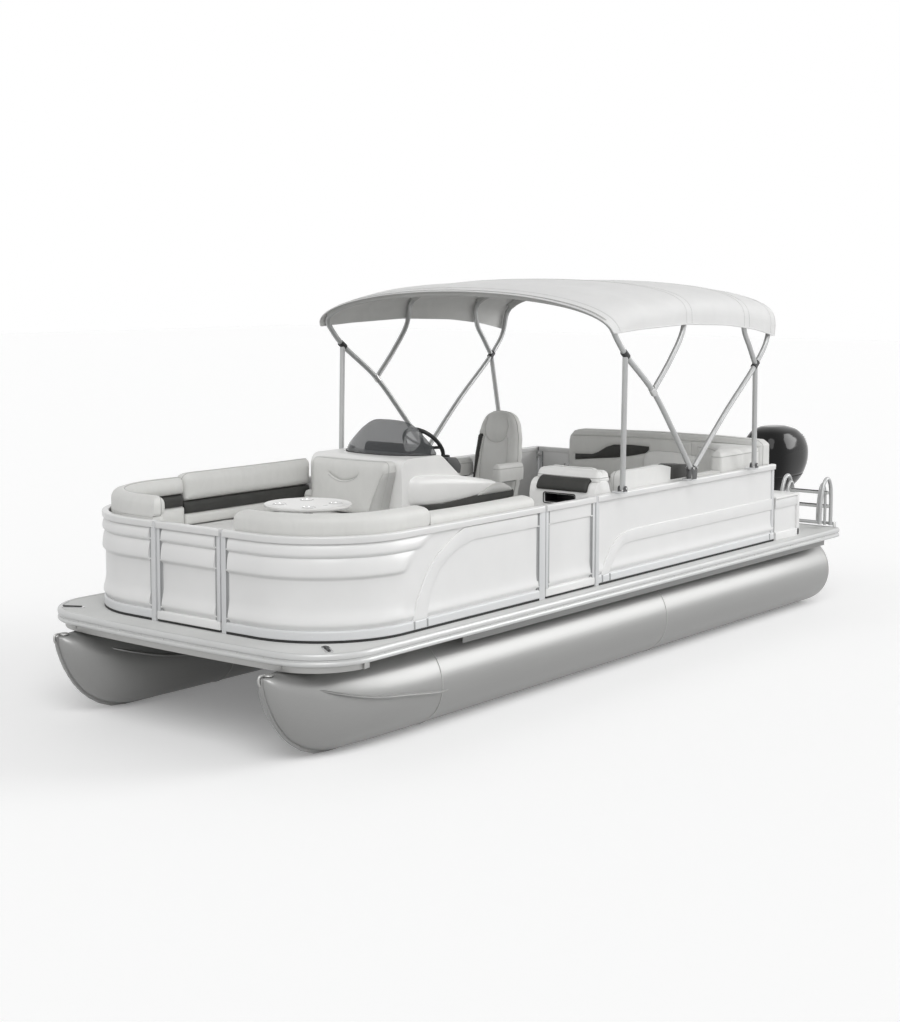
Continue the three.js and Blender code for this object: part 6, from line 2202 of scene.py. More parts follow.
@dataclass
class AftLounge:
    """The aft lounge: an L of cushions with a backrest along port and across the stern."""

    start: float = -3.330
    turn: float = -4.860
    back: float = -5.566
    inner: float = 0.540
    starboard: float = -0.744

    def plan(self, inset: float, gap: float = 0.0) -> list[Flat]:
        """The lounge's plan, its inner sides drawn back by an inset."""
        return [(self.start - gap, 1.130 - gap), (self.start - gap, self.inner + inset),
                (self.turn - inset, self.inner + inset), (self.turn - inset, self.starboard + inset),
                (self.back + gap, self.starboard + inset), (self.back + gap, 1.130 - gap)]

    def base(self) -> None:
        """Makes the moulded base and its locker doors."""
        plan = [(st(x), y) for x, y in self.plan(0.036)]
        make_piece("aft_lounge_base", extruded(plan, Axis.Z, ON_DECK, BASE_TOP),
                   Dressing((SHELL,), 25.0, bevel=0.006, bevel_segments=3), replaces=("aft_seat_base",))
        doors = Shape()
        for y0, y1 in ((-0.62, -0.12), (-0.06, 0.44)):
            outline = rounded(oblong(y0, 0.73, y1, 0.935), 0.02)
            doors.join(extruded(outline, Axis.X, st(self.turn - 0.038), st(self.turn - 0.028)))
        for x0, x1 in ((-3.42, -4.02), (-4.08, -4.68)):
            outline = rounded(oblong(st(x0), 0.73, st(x1), 0.935), 0.02)
            doors.join(extruded(outline, Axis.Y, 0.569, 0.579))
        make_piece("aft_lounge_locker_doors", doors, Dressing((SEAT_PALE,), bevel=0.003))

    def cushions(self) -> None:
        """Makes the seat cushion with the seams between its places."""
        seams = [[(-4.10, 0.54), (-4.10, 1.13)], [(self.turn, 0.56), (-5.20, 0.80), (-5.55, 1.12)],
                 [(self.turn, -0.10), (-5.56, -0.10)]]
        Pad("aft_lounge_cushion", rounded(self.plan(0.0, 0.002), 0.022, 3), CUSHION_DEPTH,
            flat_place(Side.PORT, ON_BASE), edge=0.032, crown=0.014, seams=seams, step=0.028,
            finish=SEAT_PALE, replaces=("aft_seat_cushion",)).build()

    def side_back(self) -> None:
        """Makes the port side's backrest and the low pad between it and the corner."""
        place = wall_place([(-3.332, SEAT_HALF), (-4.760, SEAT_HALF)], Side.PORT, ON_SEAT, 0.08, 0.3)
        outline = rounded([(0.0, 0.0), (0.897, 0.0), (0.897, 0.242), (0.606, 0.338), (0.0, 0.338)],
                          [0.01, 0.01, 0.03, 0.09, 0.06], 5)
        Pad("aft_side_back", outline, 0.122, place, edge=0.046, crown=0.010, step=0.022,
            seams=[[(0.598, 0.0), (0.598, 0.34)], [(0.02, 0.115), (0.90, 0.115)]],
            accent=lambda u, v: u > 0.60 and v > 0.118, finish=SEAT_PALE, replaces=("aft_seat_back",)).build()
        wedge = rounded([(st(-4.005), 1.322), (st(-4.010), 1.420), (st(-4.060), 1.432), (st(-4.292), 1.412),
                         (st(-4.298), 1.322)], [0.01, 0.02, 0.02, 0.03, 0.01], 3)
        make_piece("aft_side_cap", extruded(wedge, Axis.Y, SEAT_HALF - 0.122, SEAT_HALF + 0.003),
                   Dressing((SEAT_ACCENT,), bevel=0.014, bevel_segments=4))
        low = rounded(oblong(0.901, 0.0, 1.424, 0.218), [0.01, 0.01, 0.02, 0.03], 4)
        Pad("aft_low_back", low, 0.122, place, edge=0.036, crown=0.008, step=0.024).build()

    def stern_back(self) -> None:
        """Makes the high backrest across the stern, its dark inset band and the corner block."""
        foot = ON_SEAT
        width = 1.136 - self.starboard

        def across(u: float, v: float, w: float) -> Point:
            """Carries (offset from the starboard end, height, depth) to the row frame."""
            lean = 0.03 * min(1.0, v / 0.38)
            return (st(self.back + 0.003 + w * (1.0 - lean)), self.starboard + u, foot + v)

        top = [(0.0, 0.0), (0.0, 0.30), (0.012, 0.346), (0.046, 0.380), (0.11, 0.396), (0.85, 0.414),
               (width - 0.4, 0.414), (width - 0.05, 0.404), (width, 0.37), (width, 0.0)]
        band = [(0.08, 0.184), (0.26, 0.192), (0.32, 0.214), (0.40, 0.262), (0.48, 0.288), (0.66, 0.296),
                (0.835, 0.292)]
        under = [(0.08, 0.130), (0.32, 0.157), (0.50, 0.174), (0.68, 0.205), (0.80, 0.232), (0.835, 0.262)]
        loop = [*band, *reversed(under), band[0]]

        def dark(u: float, v: float) -> bool:
            """Whether a spot lies in the inset band.

            Args:
                u: Offset from the starboard end.
                v: Height above the foot.

            Returns:
                Whether it does.
            """
            if not 0.08 <= u <= 0.835:
                return False
            low = float(np.interp(u, [p[0] for p in under], [p[1] for p in under]))
            high = float(np.interp(u, [p[0] for p in band], [p[1] for p in band]))
            return low <= v <= high

        upper = [(0.046, 0.336), (0.30, 0.350), (0.85, 0.362), (1.40, 0.360), (width - 0.02, 0.350)]
        seams = [loop, upper, [(0.60, 0.296), (0.60, 0.356)], [(1.24, 0.0), (1.24, 0.36)]]
        Pad("stern_backrest", rounded(top, 0.012, 2), 0.172, across, edge=0.050, crown=0.012, pull=0.0,
            step=0.022, seams=seams, accent=dark, seam_depth=0.009).build()
        head = rounded([(0.80, 0.006), (1.322, 0.006), (1.322, 0.240), (1.10, 0.262), (0.92, 0.262),
                        (0.83, 0.248), (0.80, 0.200)], [0.01, 0.01, 0.02, 0.04, 0.04, 0.03, 0.03], 4)
        Pad("stern_head_cushion", head, 0.052, lambda u, v, w: across(u, v, 0.160 + w), edge=0.030,
            crown=0.010, step=0.020, finish=SEAT_PALE, seams=[[(0.81, 0.09), (1.31, 0.09)]]).build()
        corner = [(-4.766, 1.138), (-4.766, 1.052), (-4.90, 1.014), (-5.13, 0.902), (-5.298, 0.742),
                  (-5.372, 0.58), (-5.388, 0.58), (-5.388, 1.138)]
        Pad("stern_corner_block", rounded(corner, 0.02, 3), 0.374, flat_place(Side.PORT, foot), edge=0.042,
            crown=0.008, pull=0.0, step=0.024, seams=[[(-4.98, 0.98), (-5.12, 1.14)]]).build()

    def build(self) -> None:
        """Makes the whole lounge."""
        self.base()
        self.cushions()
        self.side_back()
        self.stern_back()


@dataclass
class Chaise:
    """The chaise end by the port gate: a moulded shell with a cubby, and its leaning pad."""

    inner: float = 0.570
    outer: float = 1.128

    def shell(self) -> None:
        """Makes the moulded shell with its open cubby."""
        profile = rounded([(st(-3.012), ON_DECK), (st(-3.004), 1.300), (st(-3.030), 1.372),
                           (st(-3.090), 1.392), (st(-3.180), 1.386), (st(-3.200), 1.340),
                           (st(-3.322), 1.090), (st(-3.322), ON_DECK)],
                          [0.005, 0.05, 0.05, 0.04, 0.02, 0.03, 0.03, 0.005], 5)
        body = extruded(profile, Axis.Y, self.inner, self.outer)
        shell = make_piece("chaise_body", body, Dressing((SHELL,), bevel=0.014, bevel_segments=4),
                           replaces=("chaise_shell",))
        mouth = rounded(oblong(0.700, 1.224, 0.960, 1.288), 0.012, 4)
        hollow = make_piece("chaise_cubby_tool", extruded(mouth, Axis.X, st(-3.160), st(-2.980)),
                            Dressing((BLACK_PLASTIC,)))
        hole = shell.modifiers.new("cubby", "BOOLEAN")
        hole.operation = "DIFFERENCE"
        hole.solver = "EXACT"
        hole.object = hollow
        bake(shell)
        bpy.data.objects.remove(hollow)
        shell.data.shade_smooth()
        shell.data.set_sharp_from_angle(angle=math.radians(30.0))
        lip = rounded(oblong(0.694, 1.218, 0.966, 1.294), 0.016, 5)
        ring = [(st(-3.0035) + 0.0015 * (1.3 - z), y, z) for y, z in lip]
        make_piece("chaise_cubby_rim", tube(ring, 0.004, 8, closed=True), Dressing((BLACK_PLASTIC,), 40.0))
        # Black sheets inside the cubby: painted shade of the recess.
        lining = block((st(-3.159), 0.702, 1.2255), (st(-3.156), 0.958, 1.2865))
        for low, high in (((0.7005, 1.2245), (0.7035, 1.2875)), ((0.9565, 1.2245), (0.9595, 1.2875)),
                          ((0.7005, 1.2245), (0.9595, 1.2275)), ((0.7005, 1.2845), (0.9595, 1.2875))):
            lining.join(block((st(-3.1585), *low), (st(-3.014), *high)))
        make_piece("chaise_cubby_lining", lining, Dressing((BLACK_PLASTIC,), 40.0))

    def pad(self) -> None:
        """Makes the leaning pad: pale, with two cross seams."""
        foot, head = Vector((-3.3145, 1.107)), Vector((-3.2005, 1.3415))
        up = (head - foot).normalized()
        out = Vector((-up.y, up.x))
        length = 0.365

        def place(u: float, v: float, w: float) -> Point:
            """Carries (offset, way up the slope, depth) to the row frame."""
            spot = foot + up * v + out * (w + 0.002)
            return (st(spot.x), self.inner + 0.022 + u, spot.y)

        outline = rounded(oblong(0.0, 0.0, 0.418, length), [0.01, 0.01, 0.06, 0.06], 5)
        Pad("chaise_pad_face", outline, 0.106, place, edge=0.036, crown=0.010, step=0.02,
            seams=[[(0.0, 0.12), (0.42, 0.12)], [(0.0, 0.25), (0.42, 0.25)]], finish=SEAT_PALE,
            replaces=("chaise_pad",)).build()

    def head_pad(self) -> None:
        """Makes the dark pad over the shell's top with the pale roll behind it."""
        profile = [(-3.0035, 1.314), (-3.008, 1.335), (-3.022, 1.366), (-3.050, 1.388), (-3.078, 1.394)]
        rows = resample([Vector(p) for p in profile], 0.012)
        total = 0.012 * (len(rows) - 1)

        def place(u: float, v: float, w: float) -> Point:
            """Carries (offset, way over the top, depth) to the row frame.

            Args:
                u: Offset from the pad's inner edge.
                v: How far over the top.
                w: Depth of the padding.

            Returns:
                The point in the row frame.
            """
            k = max(0.0, min(len(rows) - 1.001, v / total * (len(rows) - 1)))
            i = int(k)
            spot = rows[i].lerp(rows[i + 1], k - i)
            run = (rows[i + 1] - rows[i]).normalized()
            out = Vector((run.y, -run.x))
            return (st(spot.x + out.x * w), self.inner + 0.03 + u, spot.y + out.y * w)

        outline = rounded(oblong(0.034, 0.0, 0.466, total), 0.02, 4)
        Pad("chaise_head_pad", outline, 0.022, place, edge=0.016, crown=0.004, step=0.014, finish=SEAT_ACCENT,
            piping=False).build()
        roll = rounded([(-3.062, self.inner + 0.024), (-3.062, self.outer - 0.006),
                        (-3.212, self.outer - 0.006), (-3.212, self.inner + 0.024)], 0.03, 4)
        Pad("chaise_roll", roll, 0.078, flat_place(Side.PORT, 1.386), edge=0.044, crown=0.006, pull=0.003,
            step=0.016, finish=SEAT_PALE,
            seams=[[(-3.137, self.inner + 0.03), (-3.137, self.outer - 0.012)]]).build()

    def build(self) -> None:
        """Makes the chaise end."""
        self.shell()
        self.pad()
        self.head_pad()


# ---------------------------------------------------------------------------------------------
# Table
# ---------------------------------------------------------------------------------------------


@dataclass
class Table:
    """The round table on its post, with cup wells in its top."""

    x: float = -1.290
    top: float = 1.332
    radius: float = 0.292
    well_circle: float = 0.185
    screw_circle: float = 0.085

    def build(self) -> None:
        """Makes the top, the cup rings and the post."""
        r = self.radius
        place = Matrix.Translation((st(self.x), 0, self.top))
        profile = [(CORE, -0.030), (r - 0.030, -0.030), (r - 0.010, -0.024), (r - 0.001, -0.016),
                   (r, -0.010), (r - 0.001, -0.004), (r - 0.004, -0.0008), (r - 0.009, 0.0),
                   (r - 0.016, -0.0006), (r - 0.022, -0.003), (r - 0.05, -0.0035), (CORE, -0.0035)]
        make_piece("table_disc", turned(profile, 96).placed(place), Dressing((TABLE_GLOSS,)),
                   replaces=("table_top",))
        wells = Shape()
        for k in range(4):
            a = math.pi / 4 + k * math.pi / 2
            across, along = self.well_circle * math.sin(a), self.well_circle * math.cos(a)
            spot = Matrix.Translation((st(self.x) + along, across, self.top - 0.0035))
            ring = [(0.047, -0.001), (0.0475, 0.0022), (0.044, 0.003), (0.0405, 0.0022), (0.039, -0.0015),
                    (0.0385, -0.012), (CORE, -0.0125), (CORE, -0.014), (0.042, -0.014), (0.047, -0.004)]
            wells.join(turned(ring, 36).placed(spot))
        make_piece("table_cup_rings", wells, Dressing((STAINLESS,)))
        post = [(CORE, 0), (0.113, 0), (0.115, 0.004), (0.112, 0.009), (0.06, 0.018), (0.046, 0.026),
                (0.038, 0.042), (0.036, 0.06), (0.0345, 0.33), (0.0345, 0.34), (0.031, 0.344),
                (0.0305, 0.58), (0.034, 0.596), (0.066, 0.612), (0.070, 0.617), (0.070, 0.6255),
                (CORE, 0.6255)]
        make_piece("table_pillar", turned(post, 48).placed(Matrix.Translation((st(self.x), 0, ON_DECK))),
                   Dressing((STAINLESS,)), replaces=("table_post",))
        spots = [[(st(self.x) + r * math.cos(a), r * math.sin(a), 0.6885)
                  for r in (self.screw_circle, self.screw_circle + 0.0001)]
                 for a in (math.pi * k / 3 for k in range(6))]
        screws = RunOfParts(Repeat.SCREW, 0.5, 0.010, STAINLESS)
        screws.lay("table_base_screws", [(spot, (0, 0, 1)) for spot in spots])


# ---------------------------------------------------------------------------------------------
# Helm
# ---------------------------------------------------------------------------------------------


@dataclass
class Helm:
    """The moulded console with its dash, gauges, controls, windscreen and steering wheel."""

    front: float = -2.455
    top: float = 1.508
    y: float = -0.620
    wheel: Point = (-3.262, -0.620, 1.520)
    tilt_deg: float = 38.0
    rim: float = 0.173
    grip: float = 0.016
    screen_line: tuple[tuple[float, float, float], ...] = (
        (-2.900, -1.012, 0.010), (-2.800, -0.990, 0.034), (-2.716, -0.930, 0.052), (-2.660, -0.860, 0.104),
        (-2.635, -0.780, 0.188), (-2.622, -0.690, 0.244), (-2.618, -0.580, 0.253), (-2.622, -0.480, 0.252),
        (-2.640, -0.400, 0.243), (-2.670, -0.340, 0.220), (-2.710, -0.290, 0.176), (-2.760, -0.246, 0.124),
        (-2.830, -0.206, 0.060), (-2.880, -0.192, 0.012))

    def body(self) -> None:
        """Makes the moulded console, its side wing and the binnacle."""
        profile = rounded([(st(self.front), ON_DECK), (st(self.front), 1.440), (st(-2.475), 1.486),
                           (st(-2.520), self.top), (st(-2.900), self.top), (st(-2.935), 1.490),
                           (st(-3.140), 1.335), (st(-3.190), 1.318), (st(-3.210), 1.290),
                           (st(-3.160), 1.210), (st(-3.070), 1.060), (st(-3.070), ON_DECK)],
                          [0.004, 0.03, 0.03, 0.04, 0.03, 0.03, 0.05, 0.02, 0.03, 0.06, 0.04, 0.004], 5)
        make_piece("helm_body", extruded(profile, Axis.Y, -1.058, -0.165),
                   Dressing((SHELL,), bevel=0.052, bevel_segments=8, bevel_deg=60.0),
                   replaces=("helm_console",))
        self.wing()
        hood = rounded([(st(-2.820), 1.480), (st(-2.840), 1.560), (st(-2.880), 1.580), (st(-3.010), 1.500),
                        (st(-3.080), 1.370)], [0.01, 0.03, 0.03, 0.03, 0.01], 5)
        make_piece("helm_binnacle", extruded(hood, Axis.Y, self.y - 0.230, self.y + 0.230),
                   Dressing((BLACK_PLASTIC,), bevel=0.02, bevel_segments=5, bevel_deg=60.0))
        kick = rounded([(st(-3.071), 0.70), (st(-3.071), 1.04), (st(-3.076), 1.04), (st(-3.076), 0.70)],
                       0.001)
        make_piece("helm_access_panel", extruded(kick, Axis.Y, -0.95, -0.36),
                   Dressing((SEAT_ACCENT,), bevel=0.0015))

    def wing(self) -> None:
        """Makes the swollen side moulding, its foot, the dark band under it, partly charcoal padding and
        partly painted shade, and the end cushion, grey with painted shade.
        """
        # Sections from front to back: station, lowest and highest points, and the side's offset.
        sections = ((-2.512, 1.215, 1.310, -0.205), (-2.524, 1.180, 1.345, -0.168),
                    (-2.552, 1.158, 1.366, -0.138), (-2.600, 1.146, 1.378, -0.120),
                    (-2.700, 1.140, 1.378, -0.110), (-2.880, 1.138, 1.366, -0.106),
                    (-3.080, 1.144, 1.342, -0.106), (-3.280, 1.156, 1.312, -0.110),
                    (-3.430, 1.168, 1.286, -0.118), (-3.530, 1.180, 1.266, -0.130),
                    (-3.580, 1.192, 1.252, -0.148), (-3.600, 1.206, 1.240, -0.176))
        rings = []
        for x, low, high, out in sections:
            middle, half = (low + high) / 2, (high - low) / 2
            centre, wide = (out - 0.300) / 2, (out + 0.300) / 2
            ring = []
            for k in range(36):
                c, s = math.cos(math.pi * k / 18), math.sin(math.pi * k / 18)
                ring.append((st(x), centre + wide * math.copysign(abs(c) ** 0.6, c),
                             middle + half * math.copysign(abs(s) ** 0.6, s)))
            rings.append(ring)
        fine = [rings[0]]
        for a, b in zip(rings, rings[1:]):
            for t in (1 / 3, 2 / 3, 1.0):
                fine.append([tuple(Vector(p).lerp(Vector(q), t)) for p, q in zip(a, b)])
        make_piece("helm_wing", ring_skin(fine), Dressing((SHELL,), 50.0))
        foot = block((st(-3.215), -0.292, ON_DECK), (st(-2.600), -0.160, 1.060))
        make_piece("helm_wing_foot", foot, Dressing((SHELL,), bevel=0.012, bevel_segments=3))
        # The dark band is partly the console's charcoal padding and partly painted shade under the moulding.
        band = rounded([(st(-2.560), 1.030), (st(-2.560), 1.172), (st(-2.880), 1.150), (st(-3.300), 1.178),
                        (st(-3.760), 1.176), (st(-3.760), 1.120), (st(-3.300), 1.090), (st(-3.180), 1.030)],
                       0.018, 3)
        make_piece("helm_side_band", extruded(band, Axis.Y, -0.290, -0.118),
                   Dressing((SEAT_ACCENT,), bevel=0.014, bevel_segments=4))
        # The end cushion's grey vinyl is painted shade.
        end = rounded([(-3.250, 1.160), (-3.330, 1.206), (-3.430, 1.238), (-3.540, 1.248), (-3.650, 1.236),
                       (-3.735, 1.196), (-3.742, 1.160)], [0.01, 0.1, 0.1, 0.1, 0.1, 0.03, 0.01], 4)
        Pad("helm_side_cushion", end, 0.186, lambda u, v, w: (st(u), -0.290 + w, v), edge=0.034, crown=0.010,
            pull=0.0, step=0.018, finish=SEAT_PAINTED_SHADE).build()

    def slope(self, low: Flat, high: Flat) -> Matrix:
        """The matrix of a sloping face: X to port, Y up the slope and Z out of it.

        Args:
            low: Station and height of the face's lower edge.
            high: Station and height of its upper edge.

        Returns:
            The matrix.
        """
        up = Vector((high[0] - low[0], 0, high[1] - low[1])).normalized()
        across = Vector((0, 1, 0))
        out = across.cross(up) * -1.0
        out = out if out.z > 0 else -out
        middle = Vector((st((low[0] + high[0]) / 2), self.y, (low[1] + high[1]) / 2))
        matrix = Matrix((across, up, out)).transposed().to_4x4()
        matrix.translation = middle
        return matrix

    def dash(self) -> None:
        """Makes the dark dash panels, gauges, switches and the throttle."""
        hood = self.slope((-3.010, 1.500), (-2.880, 1.580))
        lower = self.slope((-3.140, 1.335), (-2.935, 1.490))
        gauges = rounded(oblong(-0.205, -0.058, 0.205, 0.058), 0.02)
        panels = extruded(gauges, Axis.Z, -0.002, 0.0035).placed(hood)
        for x0, x1 in ((-0.40, -0.25), (0.25, 0.40)):
            outline = rounded(oblong(x0, -0.07, x1, 0.08), 0.015)
            panels.join(extruded(outline, Axis.Z, -0.002, 0.0035).placed(lower))
        make_piece("dash_panels", panels, Dressing((BLACK_PLASTIC,), bevel=0.0012))
        faces, bezels = Shape(), Shape()
        for x, r in ((-0.145, 0.042), (-0.045, 0.034), (0.045, 0.034), (0.145, 0.042)):
            spot = hood @ Matrix.Translation((x, 0, 0.003))
            bezels.join(turned([(r * 0.84, 0.001), (r * 0.86, 0.007), (r * 0.93, 0.009), (r, 0.006),
                                (r, -0.002), (r * 0.84, -0.002)], 32).placed(spot))
            faces.join(turned(oblong(CORE, 0.0025, r * 0.85, -0.001), 32).placed(spot))
            needle = block((-0.0008, -0.004, 0.003), (0.0008, r * 0.68, 0.004))
            faces.join(needle.placed(spot @ Matrix.Rotation(0.6 - x * 6, 4, "Z")), 1)
        make_piece("gauge_faces", faces, Dressing((GAUGE_FACE, TABLE_GLOSS)))
        make_piece("gauge_bezels", bezels, Dressing((STAINLESS,)))
        switches = Shape()
        for side in (-1, 1):
            for k in range(3):
                for j in range(2):
                    x, y = side * (0.285 + 0.04 * k), -0.03 + 0.065 * j
                    rocker = [(-0.012, 0.0), (-0.012, 0.006), (0.0, 0.004), (0.012, 0.010), (0.012, 0.0)]
                    piece = extruded(rocker, Axis.X, -0.008, 0.008)
                    switches.join(piece.placed(lower @ Matrix.Translation((x, y, 0.003))))
        make_piece("dash_switches", switches, Dressing((GAUGE_FACE,), bevel=0.001))
        box_profile = rounded([(st(-3.235), 1.335), (st(-3.085), 1.415), (st(-3.075), 1.470),
                               (st(-3.190), 1.462), (st(-3.245), 1.40)], 0.018, 4)
        control = extruded(box_profile, Axis.Y, -0.318, -0.236)
        make_piece("throttle_box", control, Dressing((CONTROL_GREY,), bevel=0.006, bevel_segments=3))
        handle = [(st(-3.165), -0.332, 1.425), (st(-3.158), -0.338, 1.446), (st(-3.148), -0.334, 1.462),
                  (st(-3.142), -0.318, 1.468)]
        lever = tube(smooth_line(handle, 0.008), 0.0085, 12)
        hub = turned([(CORE, -0.014), (0.024, -0.014), (0.026, -0.010), (0.026, 0.010), (0.022, 0.014),
                      (CORE, 0.014)], 28)
        pivot = Matrix.Translation((st(-3.165), -0.330, 1.425)) @ Matrix.Rotation(math.pi / 2, 4, "X")
        lever.join(hub.placed(pivot))
        grip = [(st(-3.142), -0.326, 1.468), (st(-3.140), -0.286, 1.470), (st(-3.140), -0.276, 1.469)]
        lever.join(tube(smooth_line(grip, 0.008), 0.0135, 14))
        make_piece("throttle_lever", lever, Dressing((BLACK_PLASTIC,), 40.0))

    def windscreen(self) -> None:
        """Makes the smoked screen, its dark foot trim and screws."""
        knots = np.array(self.screen_line)
        fine = np.array([tuple(p) for p in smooth_line([tuple(k) for k in knots], 0.022)])
        rows = 9
        foot = self.top + 0.0005
        grid_out, grid_in = [], []
        for i, (x, y, tall) in enumerate(fine):
            run = fine[min(i + 1, len(fine) - 1)] - fine[max(i - 1, 0)]
            ax, ay = run[:2] / np.linalg.norm(run[:2])
            column_out, column_in = [], []
            for k in range(rows + 1):
                rise = k / rows
                lean = (0.3 + 0.25 * rise) * rise * tall
                for inward, column in ((0.0, column_out), (0.005, column_in)):
                    column.append((st(x - lean - ay * inward), y + ax * inward, foot + rise * tall))
            grid_out.append(column_out)
            grid_in.append(column_in)
        rings = [out + list(reversed(inn)) for out, inn in zip(grid_out, grid_in)]
        make_piece("windscreen_sheet", ring_skin(rings), Dressing((SMOKED,), 40.0), replaces=("windscreen",))
        trim = [(c[0][0] + 0.002, c[0][1], c[0][2] + 0.002) for c in grid_out]
        make_piece("windscreen_foot_trim", tube(trim, 0.005, 8), Dressing((RUBBER,), 50.0))
        line = [(st(x) + 0.022, y, self.top + 0.001) for x, y, _ in fine]
        RunOfParts(Repeat.SCREW, 0.19, 0.009, STAINLESS).lay("windscreen_screws", [(line, (0, 0, 1))])

    def steering(self) -> None:
        """Makes the steering wheel on its body, and the column under it."""
        tilt = math.radians(self.tilt_deg)
        centre = Vector((st(self.wheel[0]), self.wheel[1], self.wheel[2]))
        place = Matrix.Translation(centre) @ Matrix.Rotation(-(math.pi / 2 - tilt), 4, "Y")
        count = 96
        loop = [(self.rim * math.cos(a), self.rim * math.sin(a), 0.0) for a in round_angles(count)]
        radii = [self.grip * (1.0 - 0.05 * max(0.0, math.cos(20 * 2 * math.pi * k / count)))
                 for k in range(count)]
        wheel = tube(loop, self.grip, 14, closed=True, radii=radii)
        for k in range(5):
            a = math.pi / 2 + 2 * math.pi * k / 5
            line = [Vector((r * math.cos(a), r * math.sin(a), z)) for r, z in
                    ((0.020, -0.004), (0.060, -0.010), (0.110, -0.010), (0.150, -0.004), (0.166, 0.0))]
            side = Vector((-math.sin(a), math.cos(a), 0))
            rings = []
            for p, wide in zip(line, (0.024, 0.019, 0.0145, 0.015, 0.021)):
                rings.append([p + side * (wide * math.cos(t)) + Vector((0, 0, 0.0065 * math.sin(t)))
                              for t in round_angles(12)])
            wheel.join(ring_skin(rings))
        wheel.join(turned([(CORE, -0.024), (0.034, -0.024), (0.046, -0.012), (0.048, -0.004), (0.044, 0.004),
                           (0.034, 0.010), (0.018, 0.014), (CORE, 0.015)], 40))
        make_piece("steering_wheel_rim", wheel.placed(place), Dressing((WHEEL_GRIP,), 45.0), "wheel",
                   ("steering_wheel",))
        cap = turned([(CORE, 0.0152), (0.014, 0.0148), (0.021, 0.0128), (0.024, 0.0118), (0.025, 0.0095),
                      (CORE, 0.009)], 36)
        make_piece("steering_wheel_cap", cap.placed(place), Dressing((GAUGE_FACE,), 35.0), "wheel")
        axis = Vector((math.cos(tilt), 0, -math.sin(tilt)))
        start = centre + axis * 0.0255
        column = ((0.0, 0.022), (0.004, 0.026), (0.03, 0.027), (0.034, 0.034), (0.09, 0.037), (0.14, 0.045),
                  (0.2, 0.052))
        shaft = tube([start + axis * d for d, _ in column], 0.03, 28, radii=[r for _, r in column])
        make_piece("steering_column", shaft, Dressing((BLACK_PLASTIC,), 40.0))

    def build(self) -> None:
        """Makes the whole helm."""
        self.body()
        self.dash()
        self.windscreen()
        self.steering()


